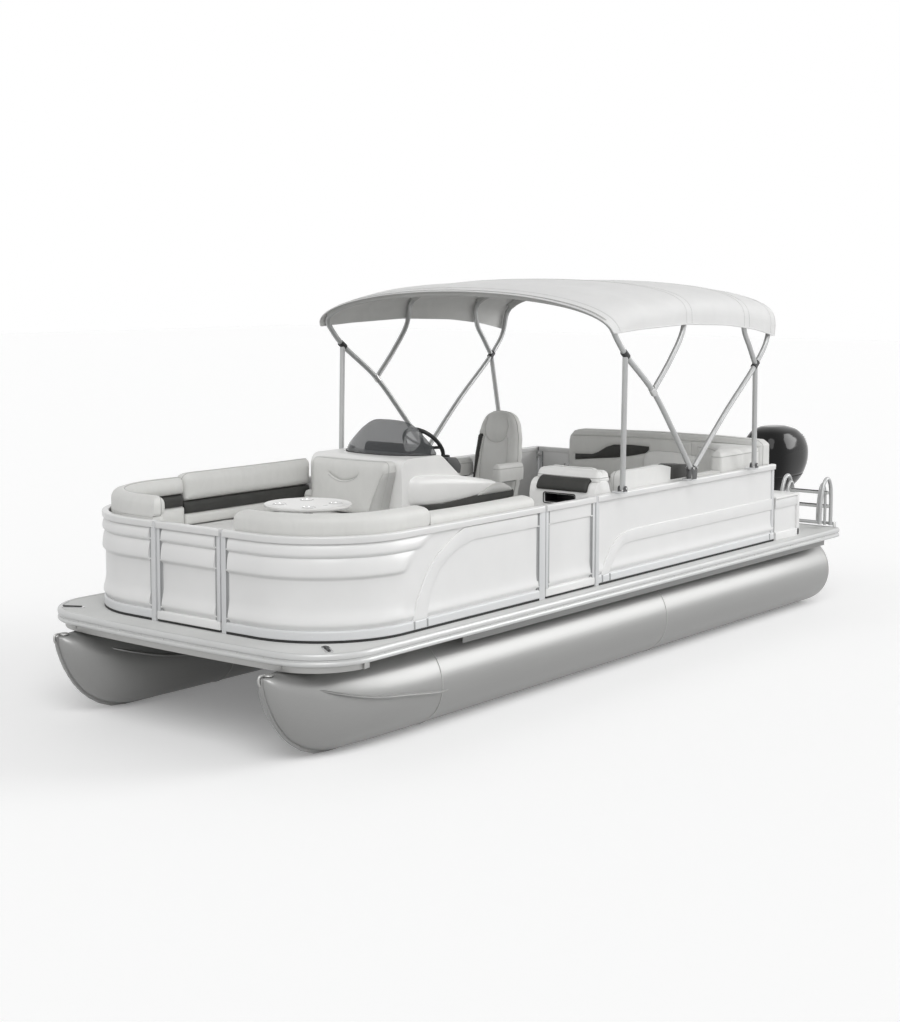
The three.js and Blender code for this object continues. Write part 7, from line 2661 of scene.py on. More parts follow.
@dataclass
class CaptainChair:
    """The captain's chair on its swivel: seat, slim bolstered back with a head pillow, and arms."""

    x: float = -3.990
    y: float = -0.668
    base: float = ON_DECK
    seat_level: float = 0.9278

    def back_matrix(self) -> Matrix:
        """The matrix of the back: X to port, Y up and Z forward, out of its face.

        Returns:
            The matrix.
        """
        lean = math.radians(-9)
        local = Matrix.Rotation(lean, 4, "Y")
        frame_axes = Matrix(((0, 0, 1, 0), (1, 0, 0, 0), (0, 1, 0, 0), (0, 0, 0, 1)))
        return Matrix.Translation((st(self.x) - 0.226, self.y, self.seat_level + 0.020)) @ local @ frame_axes

    def seat(self) -> None:
        """Makes the seat pad, its pan and the swivel plate."""
        outline = rounded([(-0.206, -0.214), (0.206, -0.208), (0.252, -0.168), (0.252, 0.168), (0.206, 0.208),
                           (-0.206, 0.214)], [0.03, 0.05, 0.06, 0.06, 0.05, 0.03], 4)
        x, y, level = st(self.x), self.y, self.seat_level + 0.030
        seams = [[(-0.20, 0.135), (0.05, 0.145), (0.25, 0.12)],
                 [(-0.20, -0.135), (0.05, -0.145), (0.25, -0.12)], [(0.135, -0.145), (0.135, 0.145)]]
        Pad("chair_seat_pad", outline, 0.127, lambda u, v, w: (x + u, y + v, level + w), edge=0.046,
            crown=0.018, step=0.016, seams=seams,
            accent=lambda u, v: 0.139 < abs(v) < 0.160 and u < 0.22, body="chair", finish=SEAT_PALE,
            soft=0.003, replaces=("captain_chair",)).build()
        plate = rounded([(x - 0.196, y - 0.200), (x + 0.214, y - 0.196), (x + 0.214, y + 0.196),
                         (x - 0.196, y + 0.200)], 0.05, 5)
        foot = self.seat_level
        pan = extruded(plate, Axis.Z, foot + 0.0185, foot + 0.032)
        pan.join(block((x - 0.12, y - 0.12, foot + 0.0005), (x + 0.12, y + 0.12, foot + 0.0195)))
        make_piece("chair_pan", pan, Dressing((BLACK_PLASTIC,), bevel=0.003), "chair")

    def back(self) -> None:
        """Makes the back's padded face, its rear shell and the head pillow."""
        half = [(0.200, 0.080), (0.212, 0.20), (0.210, 0.42), (0.196, 0.58), (0.170, 0.684), (0.132, 0.748),
                (0.076, 0.778)]
        outline = [(0.0, 0.786), *reversed(half), *[(-u, v) for u, v in half]]
        place = self.back_matrix()
        left = [(0.104, 0.085), (0.128, 0.24), (0.133, 0.42), (0.122, 0.545), (0.104, 0.585)]
        right = [(-u, v) for u, v in left]
        smile = [(-0.104, 0.585), (-0.076, 0.545), (-0.040, 0.528), (0.0, 0.522), (0.040, 0.528),
                 (0.076, 0.545), (0.104, 0.585)]
        brow = [(0.104, 0.585), (0.114, 0.66), (0.096, 0.72)]

        def width(v: float) -> float:
            """The grey middle's half width at a height above the seat."""
            return 0.172 - 0.085 * (v - 0.08)

        strip = [(-width(v), v) for v in (0.08, 0.20, 0.32, 0.44, 0.585)] + [(-0.196, 0.585)]

        def swell(u: float, v: float) -> float:
            """Bolsters stand proud beside the middle panel, and the pillow above it.

            Args:
                u: Offset from the back's middle.
                v: Height above the seat.

            Returns:
                How far the pad stands proud there.
            """
            wing = math.exp(-((abs(u) - 0.170) / 0.034) ** 2) * 0.022 * min(1.0, max(0.0, (0.66 - v) / 0.12))
            pillow = 0.016 * math.exp(-(u / 0.1) ** 4) * math.exp(-((v - 0.655) / 0.085) ** 4)
            return wing + pillow

        Pad("chair_back_pad", rounded(outline, 0.02, 2), 0.112,
            lambda u, v, w: tuple(place @ Vector((u, v, w - 0.052))), edge=0.046, crown=0.010, step=0.016,
            seams=[left, right, smile, brow, [(-u, v) for u, v in brow], strip], swell=swell,
            accent=lambda u, v: v < 0.585 and u < -width(v), body="chair", soft=0.002).build()
        rear = [(u * 0.97, 0.08 + (v - 0.08) * 0.985) for u, v in outline]
        Pad("chair_back_shell", rounded(rear, 0.02, 2), 0.022,
            lambda u, v, w: tuple(place @ Vector((u, v, -0.050 - w))), edge=0.016, crown=0.008, step=0.03,
            body="chair", finish=SHELL, piping=False, seams=[[(-0.176, 0.30), (0.176, 0.30)]]).build()

    def arms(self) -> None:
        """Makes the padded arms on their brackets."""
        x, y, level = st(self.x), self.y, self.seat_level
        steel = Shape()
        for sign in (1, -1):
            outline = rounded(oblong(-0.268, -0.006, 0.082, 0.060), 0.028, 4)

            def place(u: float, v: float, w: float, sign: int = sign) -> Point:
                """Carries (station, offset, height) to the row frame."""
                return (x + u, y + sign * (0.230 + v), level + 0.262 + w + 0.012 * (u + 0.25))

            word = "port" if sign > 0 else "starboard"
            Pad(f"chair_{word}_arm", outline, 0.140, place, edge=0.032, crown=0.006, step=0.014,
                body="chair").build()
            line = smooth_line([(x - 0.205, y + sign * 0.178, level + 0.279),
                                (x - 0.215, y + sign * 0.218, level + 0.268),
                                (x - 0.190, y + sign * 0.251, level + 0.259),
                                (x - 0.02, y + sign * 0.255, level + 0.262)], 0.012)
            steel.join(tube(line, 0.010, 12))
        make_piece("chair_arm_brackets", steel, Dressing((STAINLESS,), 45.0), "chair")

    def pedestal(self) -> None:
        """Makes the pedestal with its flared foot, column and swivel collar."""
        profile = [(CORE, 0), (0.172, 0), (0.175, 0.003), (0.174, 0.009), (0.150, 0.014), (0.100, 0.022),
                   (0.072, 0.031), (0.058, 0.042), (0.053, 0.056), (0.051, 0.09), (0.051, 0.15),
                   (0.0475, 0.153), (0.0475, 0.224), (0.052, 0.230), (0.063, 0.236), (0.064, 0.240),
                   (0.064, 0.251), (CORE, 0.2515)]
        place = Matrix.Translation((st(self.x), self.y, self.base))
        make_piece("chair_column", turned(profile, 56).placed(place), Dressing((FRAME_METAL,)),
                   replaces=("chair_pedestal",))
        lever = tube(smooth_line([(st(self.x) + 0.04, self.y + 0.03, 0.895),
                                  (st(self.x) + 0.11, self.y + 0.09, 0.89),
                                  (st(self.x) + 0.15, self.y + 0.13, 0.88)], 0.01), 0.005, 8)
        make_piece("chair_lever", lever, Dressing((BLACK_PLASTIC,), 45.0))

    def build(self) -> None:
        """Makes the whole chair."""
        self.seat()
        self.back()
        self.arms()
        self.pedestal()


# ---------------------------------------------------------------------------------------------
# Bimini top
# ---------------------------------------------------------------------------------------------


# Stations of the rail mounts on each side: the front strut's, the main bows' and the rear strut's.
RAIL_MOUNTS: dict[Side, tuple[float, float, float]] = {
    Side.PORT: (-3.200, -4.160, -5.125),
    Side.STARBOARD: (-2.996, -4.050, -5.125),
}


@dataclass
class Bow:
    """One bimini bow: its name, its station under the canopy, and the stations and heights of its leg."""

    name: str
    station: float
    leg: tuple[Flat, ...]


@dataclass
class Bimini:
    """The bimini top: four bows, four struts, their fittings and the canopy."""

    foot_y: float = 1.235
    half: float = 1.325
    sheet: float = 0.008
    radius: float = 0.020
    skew: float = 0.060
    lead: float = 0.110
    leg_foot: float = 1.408
    leg_rise: float = 0.900
    # Sections of the canopy: station of the hem, how far the crown lies ahead of it, heights of the
    # crown and of the hem, and the power that squares the shoulders.
    sections: tuple[tuple[float, ...], ...] = (
        (-2.925, 0.070, 2.712, 2.440, 1.00), (-3.010, 0.046, 2.748, 2.446, 0.86),
        (-3.260, 0.012, 2.790, 2.462, 0.62), (-3.890, 0.000, 2.805, 2.484, 0.50),
        (-4.500, 0.000, 2.803, 2.466, 0.50), (-4.930, -0.006, 2.790, 2.424, 0.50),
        (-5.160, -0.020, 2.771, 2.382, 0.50), (-5.250, -0.040, 2.742, 2.360, 0.50))
    # Half the gap between the two main bows' feet, and the places on the main bows' legs.
    twin: float = 0.027
    front_knee: Flat = (-3.840, 1.712)
    rear_knee: Flat = (-4.600, 1.786)
    front_branch: Flat = (-3.530, 2.012)
    rear_branch: Flat = (-5.031, 2.142)
    front_head: Flat = (-3.133, 2.288)

    def bows(self) -> list[Bow]:
        """The four bows, the two main ones first.

        Returns:
            The bows.
        """
        mount = RAIL_MOUNTS[Side.PORT][1]
        front = ((mount + self.twin, self.leg_foot), self.front_knee, self.front_branch, self.front_head,
                 (-3.018, 2.400))
        rear = ((mount - self.twin, self.leg_foot), self.rear_knee, self.rear_branch, (-5.188, 2.325))
        return [Bow("bimini_bow_front", -2.972, front), Bow("bimini_bow_rear", -5.218, rear),
                Bow("bimini_bow_second", -3.935, (self.front_branch, (-3.743, 2.230), (-3.905, 2.440))),
                Bow("bimini_bow_third", -4.800, (self.rear_branch, (-4.906, 2.299), (-4.826, 2.408)))]

    def section(self, x: float) -> tuple[float, ...]:
        """The canopy's section at a hem station, as given and with straight lines between."""
        knots = np.array(self.sections)[::-1]
        return (x, *(float(np.interp(x, knots[:, 0], knots[:, c])) for c in range(1, 5)))

    def soft_section(self, x: float) -> tuple[float, ...]:
        """The section at a station, without corners, and drawn down a little between the bows.

        Args:
            x: The hem's station.

        Returns:
            The section, laid out as in ``sections``.
        """
        near = [self.section(x + d) for d in (-0.06, -0.03, 0.0, 0.03, 0.06)]
        ahead, crown, hem, power = (sum(row[c] for row in near) / 5 for c in range(1, 5))
        stations = sorted(b.station for b in self.bows())
        for a, b in zip(stations, stations[1:]):
            if a < x < b:
                crown -= 0.014 * math.sin(math.pi * (x - a) / (b - a)) ** 2
        return (x, ahead, crown, hem, power)

    def skewed(self, x: float, y: float) -> float:
        """How far the canopy is drawn forward at a station and offset, more towards starboard.

        Args:
            x: The hem's station.
            y: The offset to port.

        Returns:
            The distance.
        """
        front, rear = self.sections[0][0], self.sections[-1][0]
        share = min(1.0, max(0.0, (x - rear) / (front - rear)))
        return self.skew * share * (0.5 - y / self.half / 2)

    def point(self, section: Sequence[float], angle: float, drop: float, sag: float = 0.0) -> Point:
        """A point of a section.

        Args:
            section: The canopy's section.
            angle: 0 at the port hem, a quarter turn at the crown, half a turn at the starboard hem.
            drop: How far the point lies inside the outer skin.
            sag: How far the sides are drawn in between the hem and the crown.

        Returns:
            The point in the row frame.
        """
        x, ahead, crown, hem, power = section
        y = (self.half - drop - sag * math.sin(2 * angle) ** 2) * math.cos(angle)
        rise = abs(math.sin(angle)) ** power
        forward = ahead * (1 - (1 - rise) ** 2.5)
        return (st(x + forward + self.skewed(x, y)), y, hem + (crown - drop - hem) * rise)

    def skin_row(self, x: float, drop: float, steps: int = 40) -> list[Point]:
        """The canopy's section at a station, from the port hem over the crown to the starboard hem."""
        section = self.soft_section(x)
        return [self.point(section, math.pi * k / (2 * steps), drop, 0.006) for k in range(2 * steps + 1)]

    def leg_point(self, spot: Flat, side: Side) -> Vector:
        """A station and height of a leg, carried to the row frame on a side of the boat.

        Args:
            spot: The station and height.
            side: The side of the boat.

        Returns:
            The point.
        """
        x, z = spot
        share = min(1.0, max(0.0, (z - self.leg_foot) / self.leg_rise))
        top = self.half - self.sheet - self.radius - 0.006
        y = self.foot_y + (top - self.foot_y) * share
        if side is Side.PORT:
            return Vector((st(x), y, z))
        forward = self.lead + (self.skewed(x, -self.half) - self.lead) * share
        return Vector((st(x + forward), -y, z))

    def bow_line(self, bow: Bow) -> list[Vector]:
        """A bow's whole centreline, foot to foot.

        Args:
            bow: The bow.

        Returns:
            The centreline's points.
        """
        section = self.section(bow.station)
        half = (8, 16, 25, 35, 46, 58, 72)
        angles = (*half, 90, *(180 - a for a in reversed(half)))
        arch = [Vector(self.point(section, math.radians(a), self.sheet + self.radius)) for a in angles]
        port = [self.leg_point(spot, Side.PORT) for spot in bow.leg]
        starboard = [self.leg_point(spot, Side.STARBOARD) for spot in reversed(bow.leg)]
        return smooth_line([*port, *arch, *starboard], 0.04)

    def frame_tubes(self) -> None:
        """Makes the bows and struts."""
        for bow in self.bows():
            make_piece(f"{bow.name}_tube", tube(self.bow_line(bow), self.radius, 20),
                       Dressing((POLISHED_TUBE,), 60.0), replaces=(bow.name,))
        for side in Side:
            feet = {"front": (RAIL_MOUNTS[side][0], self.front_head),
                    "rear": (RAIL_MOUNTS[side][2], self.rear_branch)}
            for which, (foot, head) in feet.items():
                line = [Vector((st(foot), side.value * self.foot_y, 1.334)), self.leg_point(head, side)]
                name = f"{side.word}_{which}_strut"
                make_piece(f"{name}_tube", tube(resample(line, 0.2), self.radius, 20),
                           Dressing((POLISHED_TUBE,), 60.0), replaces=(name,))

    def clamp(self, low: Flat, spot: Flat, side: Side) -> Shape:
        """A jaw slide round a tube where another tube meets it.

        Args:
            low: A lower place on the carrying leg, which gives its direction.
            spot: Where the tubes meet.
            side: The side of the boat.

        Returns:
            The clamp as a shape.
        """
        at = self.leg_point(spot, side)
        run = (at - self.leg_point(low, side)).normalized()
        sleeve = ((-0.032, 0.0215), (-0.030, 0.0255), (0.030, 0.0255), (0.032, 0.0215))
        shape = tube([at + run * d for d, _ in sleeve], 0.025, 20, radii=[r for _, r in sleeve])
        across = run.cross(Vector((0, side.value, 0))).normalized()
        for s in (-0.018, 0.018):
            start = at + run * s + Vector((0, side.value * 0.012, 0)) - across * 0.016
            shape.join(tube([start, start + across * 0.032], 0.0055, 8))
        return shape

    def fittings(self) -> None:
        """Makes the jaw slides, the rail brackets and the feet's pins."""
        jaws, blacks = Shape(), Shape()
        for side in Side:
            jaws.join(self.clamp(self.front_knee, self.front_branch, side))
            blacks.join(self.clamp(self.rear_knee, self.rear_branch, side))
            blacks.join(self.clamp(self.front_branch, self.front_head, side))
        make_piece("bimini_jaw_slides", jaws, Dressing((STAINLESS,), 40.0))
        make_piece("bimini_jaw_slides_dark", blacks, Dressing((BLACK_PLASTIC,), 40.0))
        brackets, plates, pins = Shape(), Shape(), Shape()
        for side in Side:
            front, main_mount, rear = RAIL_MOUNTS[side]
            parts = [self.fork(front), self.fork(rear), self.saddle(main_mount)]
            for part in parts:
                brackets.join(part if side is Side.PORT else part.mirrored())
            for x in RAIL_MOUNTS[side]:
                plate = self.foot_plate(x)
                plates.join(plate if side is Side.PORT else plate.mirrored())
            feet = [(front, 1.343), (rear, 1.343)]
            feet += [(main_mount - self.twin, 1.405), (main_mount + self.twin, 1.405)]
            for x, z in feet:
                pins.join(self.pin(x, z, side))
        make_piece("bimini_rail_brackets", brackets, Dressing((CONTROL_GREY,), bevel=0.0012))
        make_piece("bimini_rail_plates", plates, Dressing((FENCE_POST,), bevel=0.002))
        make_piece("bimini_pins", pins, Dressing((STAINLESS,), 35.0))

    def foot_plate(self, x: float) -> Shape:
        """The plate of a port rail mount, from the fence's top rail out under the foot.

        Args:
            x: The mount's station.

        Returns:
            The plate as a shape.
        """
        y = self.foot_y
        plate = rounded([(st(x - 0.030), FENCE_HALF - 0.026), (st(x + 0.030), FENCE_HALF - 0.026),
                         (st(x + 0.030), y + 0.020), (st(x + 0.018), y + 0.032), (st(x - 0.018), y + 0.032),
                         (st(x - 0.030), y + 0.020)], 0.006, 3)
        return extruded(plate, Axis.Z, FENCE_TOP + 0.0005, FENCE_TOP + 0.012)

    def saddle(self, x: float) -> Shape:
        """The wide mount that holds the two main bows' ends.

        Args:
            x: The mount's station.

        Returns:
            The mount as a shape.
        """
        part = Shape()
        cheek = rounded([(st(x - 0.030), FENCE_TOP + 0.008), (st(x + 0.030), FENCE_TOP + 0.008),
                         (st(x + 0.042), 1.396), (st(x + 0.036), 1.417), (st(x), 1.384),
                         (st(x - 0.036), 1.417), (st(x - 0.042), 1.396)], 0.010, 3)
        for low in (-0.0245, 0.0205):
            part.join(extruded(cheek, Axis.Y, self.foot_y + low, self.foot_y + low + 0.004))
        return part

    def fork(self, x: float) -> Shape:
        """The small mount that holds a strut's foot.

        Args:
            x: The mount's station.

        Returns:
            The mount as a shape.
        """
        part = Shape()
        ear = rounded([(st(x - 0.024), FENCE_TOP + 0.006), (st(x + 0.024), FENCE_TOP + 0.006),
                       (st(x + 0.024), 1.345), (st(x + 0.012), 1.360), (st(x - 0.012), 1.360),
                       (st(x - 0.024), 1.345)], 0.008, 3)
        for low in (-0.0265, 0.0215):
            part.join(extruded(ear, Axis.Y, self.foot_y + low, self.foot_y + low + 0.005))
        return part

    def pin(self, x: float, z: float, side: Side) -> Shape:
        """A quick-release pin through a foot, with its heads.

        Args:
            x: The pin's station.
            z: Its height.
            side: The side of the boat.

        Returns:
            The pin as a shape.
        """
        y = side.value * self.foot_y
        shape = tube([(st(x), y - 0.032, z), (st(x), y + 0.032, z)], 0.0045, 10)
        for d in (-0.033, 0.029):
            head = turned(oblong(CORE, 0.0, 0.008, 0.004), 14)
            spot = Matrix.Translation((st(x), y + d + 0.004, z)) @ Matrix.Rotation(math.pi / 2, 4, "X")
            shape.join(head.placed(spot))
        return shape

    def canopy(self) -> None:
        """Makes the canopy as one curved sheet with its lining, hems and rows of stitches."""
        stations = np.linspace(self.sections[0][0], self.sections[-1][0], 66)
        outer = [self.skin_row(float(x), 0.0) for x in stations]
        inner = [self.skin_row(float(x), 0.003) for x in stations]
        rows, columns = len(outer), len(outer[0])
        half = rows * columns
        shape = Shape()
        shape.points = [p for row in outer + inner for p in row]
        for r in range(rows - 1):
            for c in range(columns - 1):
                a = r * columns + c
                quad = (a, a + 1, a + 1 + columns, a + columns)
                shape.faces += [quad, tuple(half + i for i in reversed(quad))]
                shape.marks += [0, 1]
        rim = list(range(columns)) + [r * columns + columns - 1 for r in range(1, rows)]
        rim += [(rows - 1) * columns + c for c in range(columns - 2, -1, -1)]
        rim += [r * columns for r in range(rows - 2, 0, -1)]
        for a, b in zip(rim, rim[1:] + rim[:1]):
            shape.faces.append((a, half + a, half + b, b))
            shape.marks.append(0)
        sheet = make_piece("bimini_canopy_sheet", shape, Dressing((CANVAS_TOP, CANVAS_UNDER), 50.0),
                           replaces=("bimini_canopy",))
        for row_a, row_b in zip(outer, outer[1:]):
            for c in range(columns - 1):
                p, q, r, s = (Vector(v) for v in (row_a[c], row_a[c + 1], row_b[c + 1], row_b[c]))
        self.sleeves()
        self.hems(outer)

    def sleeves(self) -> None:
        """Makes the canvas sleeves that hold the bows' arches against the sheet."""
        shape = Shape()
        for bow in self.bows():
            section = self.section(bow.station)
            rings = []
            for k in range(61):
                angle = math.radians(16 + 148 * k / 60)
                low = Vector(self.point(section, angle, self.sheet + self.radius))
                high = Vector(self.point(section, angle, 0.0035))
                up = (high - low).normalized()
                turns = [math.pi + math.pi * j / 14 for j in range(15)]
                ring = [low + Vector((math.cos(t) * 0.0245, 0, 0)) + up * (math.sin(t) * 0.0245)
                        for t in turns]
                shoulder = (high - low).length
                ring += [low + Vector((along, 0, 0)) + up * shoulder * share
                         for along, share in ((0.0275, 0.8), (0.034, 1), (-0.034, 1), (-0.0275, 0.8))]
                rings.append(ring)
            shape.join(ring_skin(rings))
        make_piece("canopy_sleeves", shape, Dressing((CANVAS_SLEEVE,), 60.0))

    def hems(self, outer: Sequence[Sequence[Point]]) -> None:
        """Makes the welted hem round the sheet, the sleeves' seams and their stitches.

        Args:
            outer: The sheet's outer skin, row by row from its front edge.
        """
        port = [row[0] for row in outer]
        starboard = [row[-1] for row in outer]
        loop = [*outer[0], *starboard[1:], *reversed(outer[-1][:-1]), *reversed(port[1:-1])]
        make_piece("canopy_welt", tube([(p[0], p[1], p[2] - 0.001) for p in loop], 0.0048, 8, closed=True),
                   Dressing((CANVAS_TOP,), 50.0))
        lines = []
        front, rear, second, third = (bow.station for bow in self.bows())
        seams = (front - 0.036, rear + 0.036, second + 0.038, second - 0.038, third + 0.038, third - 0.038)
        for target in seams:
            whole = self.skin_row(target, -0.0006)
            ups = [(0.0, p[1] / self.half, 0.9) for p in whole]
            lines.append((whole, ups))
        RunOfParts(Repeat.STITCH, 0.012, 0.009, CANVAS_THREAD).lay("canopy_stitches", lines)

    def build(self) -> None:
        """Makes the whole bimini top."""
        self.frame_tubes()
        self.fittings()
        self.canopy()


# ---------------------------------------------------------------------------------------------
# Motor pod and outboard
# ---------------------------------------------------------------------------------------------


@dataclass
class Outboard:
    """The outboard on its pod: clamp bracket, swivel bracket, cowl, leg and propeller."""

    y: float = 0.100
    transom: float = -7.060
    transom_top: float = 0.705
    tilt: Flat = (-7.128, 0.738)
    swivel: float = -7.222
    shaft: float = 0.172
    gear_front: float = -7.300
    screw_at: float = -7.658
    # Sections of the cowl: height, front and rear station, half width and corner softness.
    cowl_sections: tuple[tuple[float, ...], ...] = (
        (0.778, -7.296, -7.650, 0.122, 0.50), (0.830, -7.280, -7.790, 0.170, 0.50),
        (0.905, -7.274, -7.930, 0.210, 0.48), (1.010, -7.272, -8.030, 0.234, 0.46),
        (1.130, -7.274, -8.078, 0.242, 0.46), (1.245, -7.292, -8.062, 0.232, 0.48),
        (1.335, -7.330, -7.992, 0.200, 0.52), (1.394, -7.396, -7.880, 0.148, 0.56),
        (1.424, -7.480, -7.740, 0.082, 0.60))

    def moved(self, shape: Shape) -> Shape:
        """A shape made about the engine's own centreline, moved to its place."""
        return shape.placed(Matrix.Translation((0, self.y, 0)))

    def pod(self) -> None:
        """Makes the motor pod with its transom, welds and drain plug."""
        profile = [(-5.560, 0.5974), (-6.060, 0.330), (-6.260, 0.292), (self.transom + 0.006, 0.268),
                   (self.transom, 0.274), (self.transom, self.transom_top),
                   (self.transom + 0.048, self.transom_top), (self.transom + 0.058, 0.640), (-6.640, 0.640),
                   (-6.640, 0.5974)]
        body = extruded([(st(x), z) for x, z in profile], Axis.Y, self.y - 0.270, self.y + 0.270)
        make_piece("motor_pod_body", body, Dressing((TUBE_METAL,), bevel=0.004, bevel_segments=3),
                   replaces=("motor_pod",))
        beads = Shape()
        for side in (-1, 1):
            y = self.y + side * 0.2695
            beads.join(tube([(st(x), y, z + 0.003) for x, z in profile[:4]], 0.003, 6))
            beads.join(tube([(st(self.transom + 0.002), y, z) for z in (0.28, 0.5, 0.70)], 0.003, 6))
        make_piece("motor_pod_welds", beads, Dressing((WELD_METAL,), 60.0))
        plug = turned([(CORE, 0.0), (0.016, 0.0), (0.016, 0.005), (0.008, 0.006), (0.008, 0.012),
                       (CORE, 0.012)], 20)
        place = Matrix.Translation((st(self.transom), self.y + 0.18, 0.32))
        plug = plug.placed(place @ Matrix.Rotation(-math.pi / 2, 4, "Y"))
        make_piece("motor_pod_drain", plug, Dressing((STAINLESS,), 35.0))

    def brackets(self) -> None:
        """Makes the clamp bracket on the transom and the swivel bracket that tilts on it."""
        clamp = Shape()
        arm = rounded([(st(self.transom - 0.0005), 0.440), (st(self.transom - 0.0005), 0.770),
                       (st(-7.150), 0.770), (st(-7.166), 0.738), (st(-7.150), 0.690), (st(-7.110), 0.560),
                       (st(-7.090), 0.440)], [0.004, 0.01, 0.02, 0.02, 0.03, 0.04, 0.01], 4)
        for y in (-0.112, 0.090):
            clamp.join(extruded(arm, Axis.Y, y, y + 0.022))
            clamp.join(block((st(self.transom - 0.020), y, self.transom_top + 0.0005),
                             (st(self.transom + 0.066), y + 0.022, 0.770)))
            clamp.join(block((st(self.transom + 0.060), y, 0.650),
                             (st(self.transom + 0.076), y + 0.022, 0.770)))
        clamp.join(block((st(self.transom - 0.014), -0.106, 0.440),
                         (st(self.transom - 0.0005), 0.106, 0.680)))
        make_piece("clamp_bracket_body", self.moved(clamp), Dressing((ENGINE_SATIN,), bevel=0.003),
                   replaces=("engine_clamp_bracket",))
        pins = tube([(st(self.tilt[0]), -0.118, self.tilt[1]), (st(self.tilt[0]), 0.118, self.tilt[1])],
                    0.0148, 24)
        for y in (-0.101, 0.101):
            for z in (0.50, 0.62):
                ends = [(st(self.transom - 0.016), y, z), (st(self.transom + 0.004), y, z)]
                pins.join(tube(ends, 0.009, 6))
        make_piece("clamp_bracket_pins", self.moved(pins), Dressing((STAINLESS,), 35.0))
        web = rounded([(st(-7.132), 0.708), (st(-7.132), 0.762), (st(-7.205), 0.744), (st(-7.205), 0.470),
                       (st(-7.165), 0.470)], [0.02, 0.02, 0.01, 0.01, 0.02], 4)
        swivel = extruded(web, Axis.Y, -0.060, 0.060)
        make_piece("swivel_bracket_body", self.moved(swivel),
                   Dressing((ENGINE_SATIN,), bevel=0.006, bevel_segments=3), "swivel",
                   ("engine_swivel_bracket",))
        barrel = turned([(CORE, 0.462), (0.034, 0.462), (0.036, 0.466), (0.036, 0.50), (0.033, 0.506),
                         (0.033, 0.712), (0.036, 0.718), (0.036, 0.752), (0.034, 0.756), (CORE, 0.756)], 36)
        hub = turned([(0.0165, -0.082), (0.029, -0.082), (0.030, -0.079), (0.030, 0.079), (0.029, 0.082),
                      (0.0165, 0.082)], 32)
        parts = barrel.placed(Matrix.Translation((st(self.swivel), 0, 0)))
        parts.join(hub.placed(Matrix.Translation((st(self.tilt[0]), 0, self.tilt[1]))
                              @ Matrix.Rotation(math.pi / 2, 4, "X")))
        make_piece("swivel_barrel", self.moved(parts), Dressing((ENGINE_SATIN,), 35.0), "swivel")

    def cowl_ring(self, z: float, grow: float = 0.0, sides: int = 72) -> list[Point]:
        """One level section of the cowl.

        Args:
            z: The section's height.
            grow: How far it stands off the cowl.
            sides: How many points it has.

        Returns:
            The section's points.
        """
        rows = np.array(self.cowl_sections)
        front, rear, half, soft = (Pontoon.eased(rows[:, 0], rows[:, c], z) for c in range(1, 5))
        cx, rx = (front + rear) / 2, (front - rear) / 2 + grow
        power = 1.4 * soft
        points = []
        for k in range(sides):
            a = 2 * math.pi * k / sides
            c, s = math.cos(a), math.sin(a)
            blunt = 1 - 0.14 * max(-c, 0.0)
            points.append((st(cx + rx * math.copysign(abs(c) ** power, c)),
                           (half + grow) * blunt * math.copysign(abs(s) ** power, s), z))
        return points

    def cowl(self) -> None:
        """Makes the glossy cowl with its parting groove, its lower pan, and the vents at its rear."""
        levels = [(0.778, -0.004)] + [(z, 0.0) for z in np.linspace(0.784, 0.955, 12)]
        levels += [(0.958, -0.004), (0.964, -0.004), (0.967, 0.0)]
        levels += [(z, 0.0) for z in np.linspace(0.985, 1.417, 30)]
        rings = [self.cowl_ring(float(z), grow) for z, grow in levels]
        last = rings[-1]
        cx = sum(p[0] for p in last) / len(last)
        for share, z in ((0.86, 1.4195), (0.62, 1.4225), (0.30, 1.4240)):
            rings.append([(cx + (p[0] - cx) * share, p[1] * share, z) for p in last])
        make_piece("outboard_cowl", self.moved(ring_skin(rings)), Dressing((COWL_GLOSS,), 60.0), "engine",
                   ("engine_cowl",))
        seal = tube(self.cowl_ring(0.961, -0.003), 0.0035, 8, closed=True)
        make_piece("cowl_parting_seal", self.moved(seal), Dressing((RUBBER,), 60.0), "engine")
        vents = Shape()
        for k in range(5):
            ring = self.cowl_ring(1.235 + 0.022 * k, 0.0015)
            rear = min(p[0] for p in ring)
            back = sorted((p for p in ring if p[0] < rear + 0.075), key=lambda p: p[1])
            vents.join(tube([Vector(p) for p in back], 0.0042, 8))
        make_piece("cowl_rear_vents", self.moved(vents), Dressing((ENGINE_SATIN,), 50.0), "engine")
        rear = min(p[0] for p in self.cowl_ring(1.02))
        handle = rounded([(rear - 0.008, 0.99), (rear - 0.003, 1.05), (rear + 0.02, 1.05),
                          (rear + 0.02, 0.99)], 0.006)
        make_piece("cowl_latch", self.moved(extruded(handle, Axis.Y, -0.04, 0.04)),
                   Dressing((ENGINE_SATIN,), 35.0, bevel=0.003), "engine")

    def leg(self) -> None:
        """Makes the leg: its housing, yokes, plate, gearcase and skeg."""
        def ring(z: float, front: float, rear: float, half: float) -> list[Point]:
            """One level section of the housing.

            Args:
                z: The section's height.
                front: Its front station.
                rear: Its rear station.
                half: Its half width.

            Returns:
                The section's points.
            """
            return [(st((front + rear) / 2 + (front - rear) / 2 * math.cos(a)),
                     half * math.copysign(abs(math.sin(a)) ** 0.9, math.sin(a)), z)
                    for a in round_angles(36)]

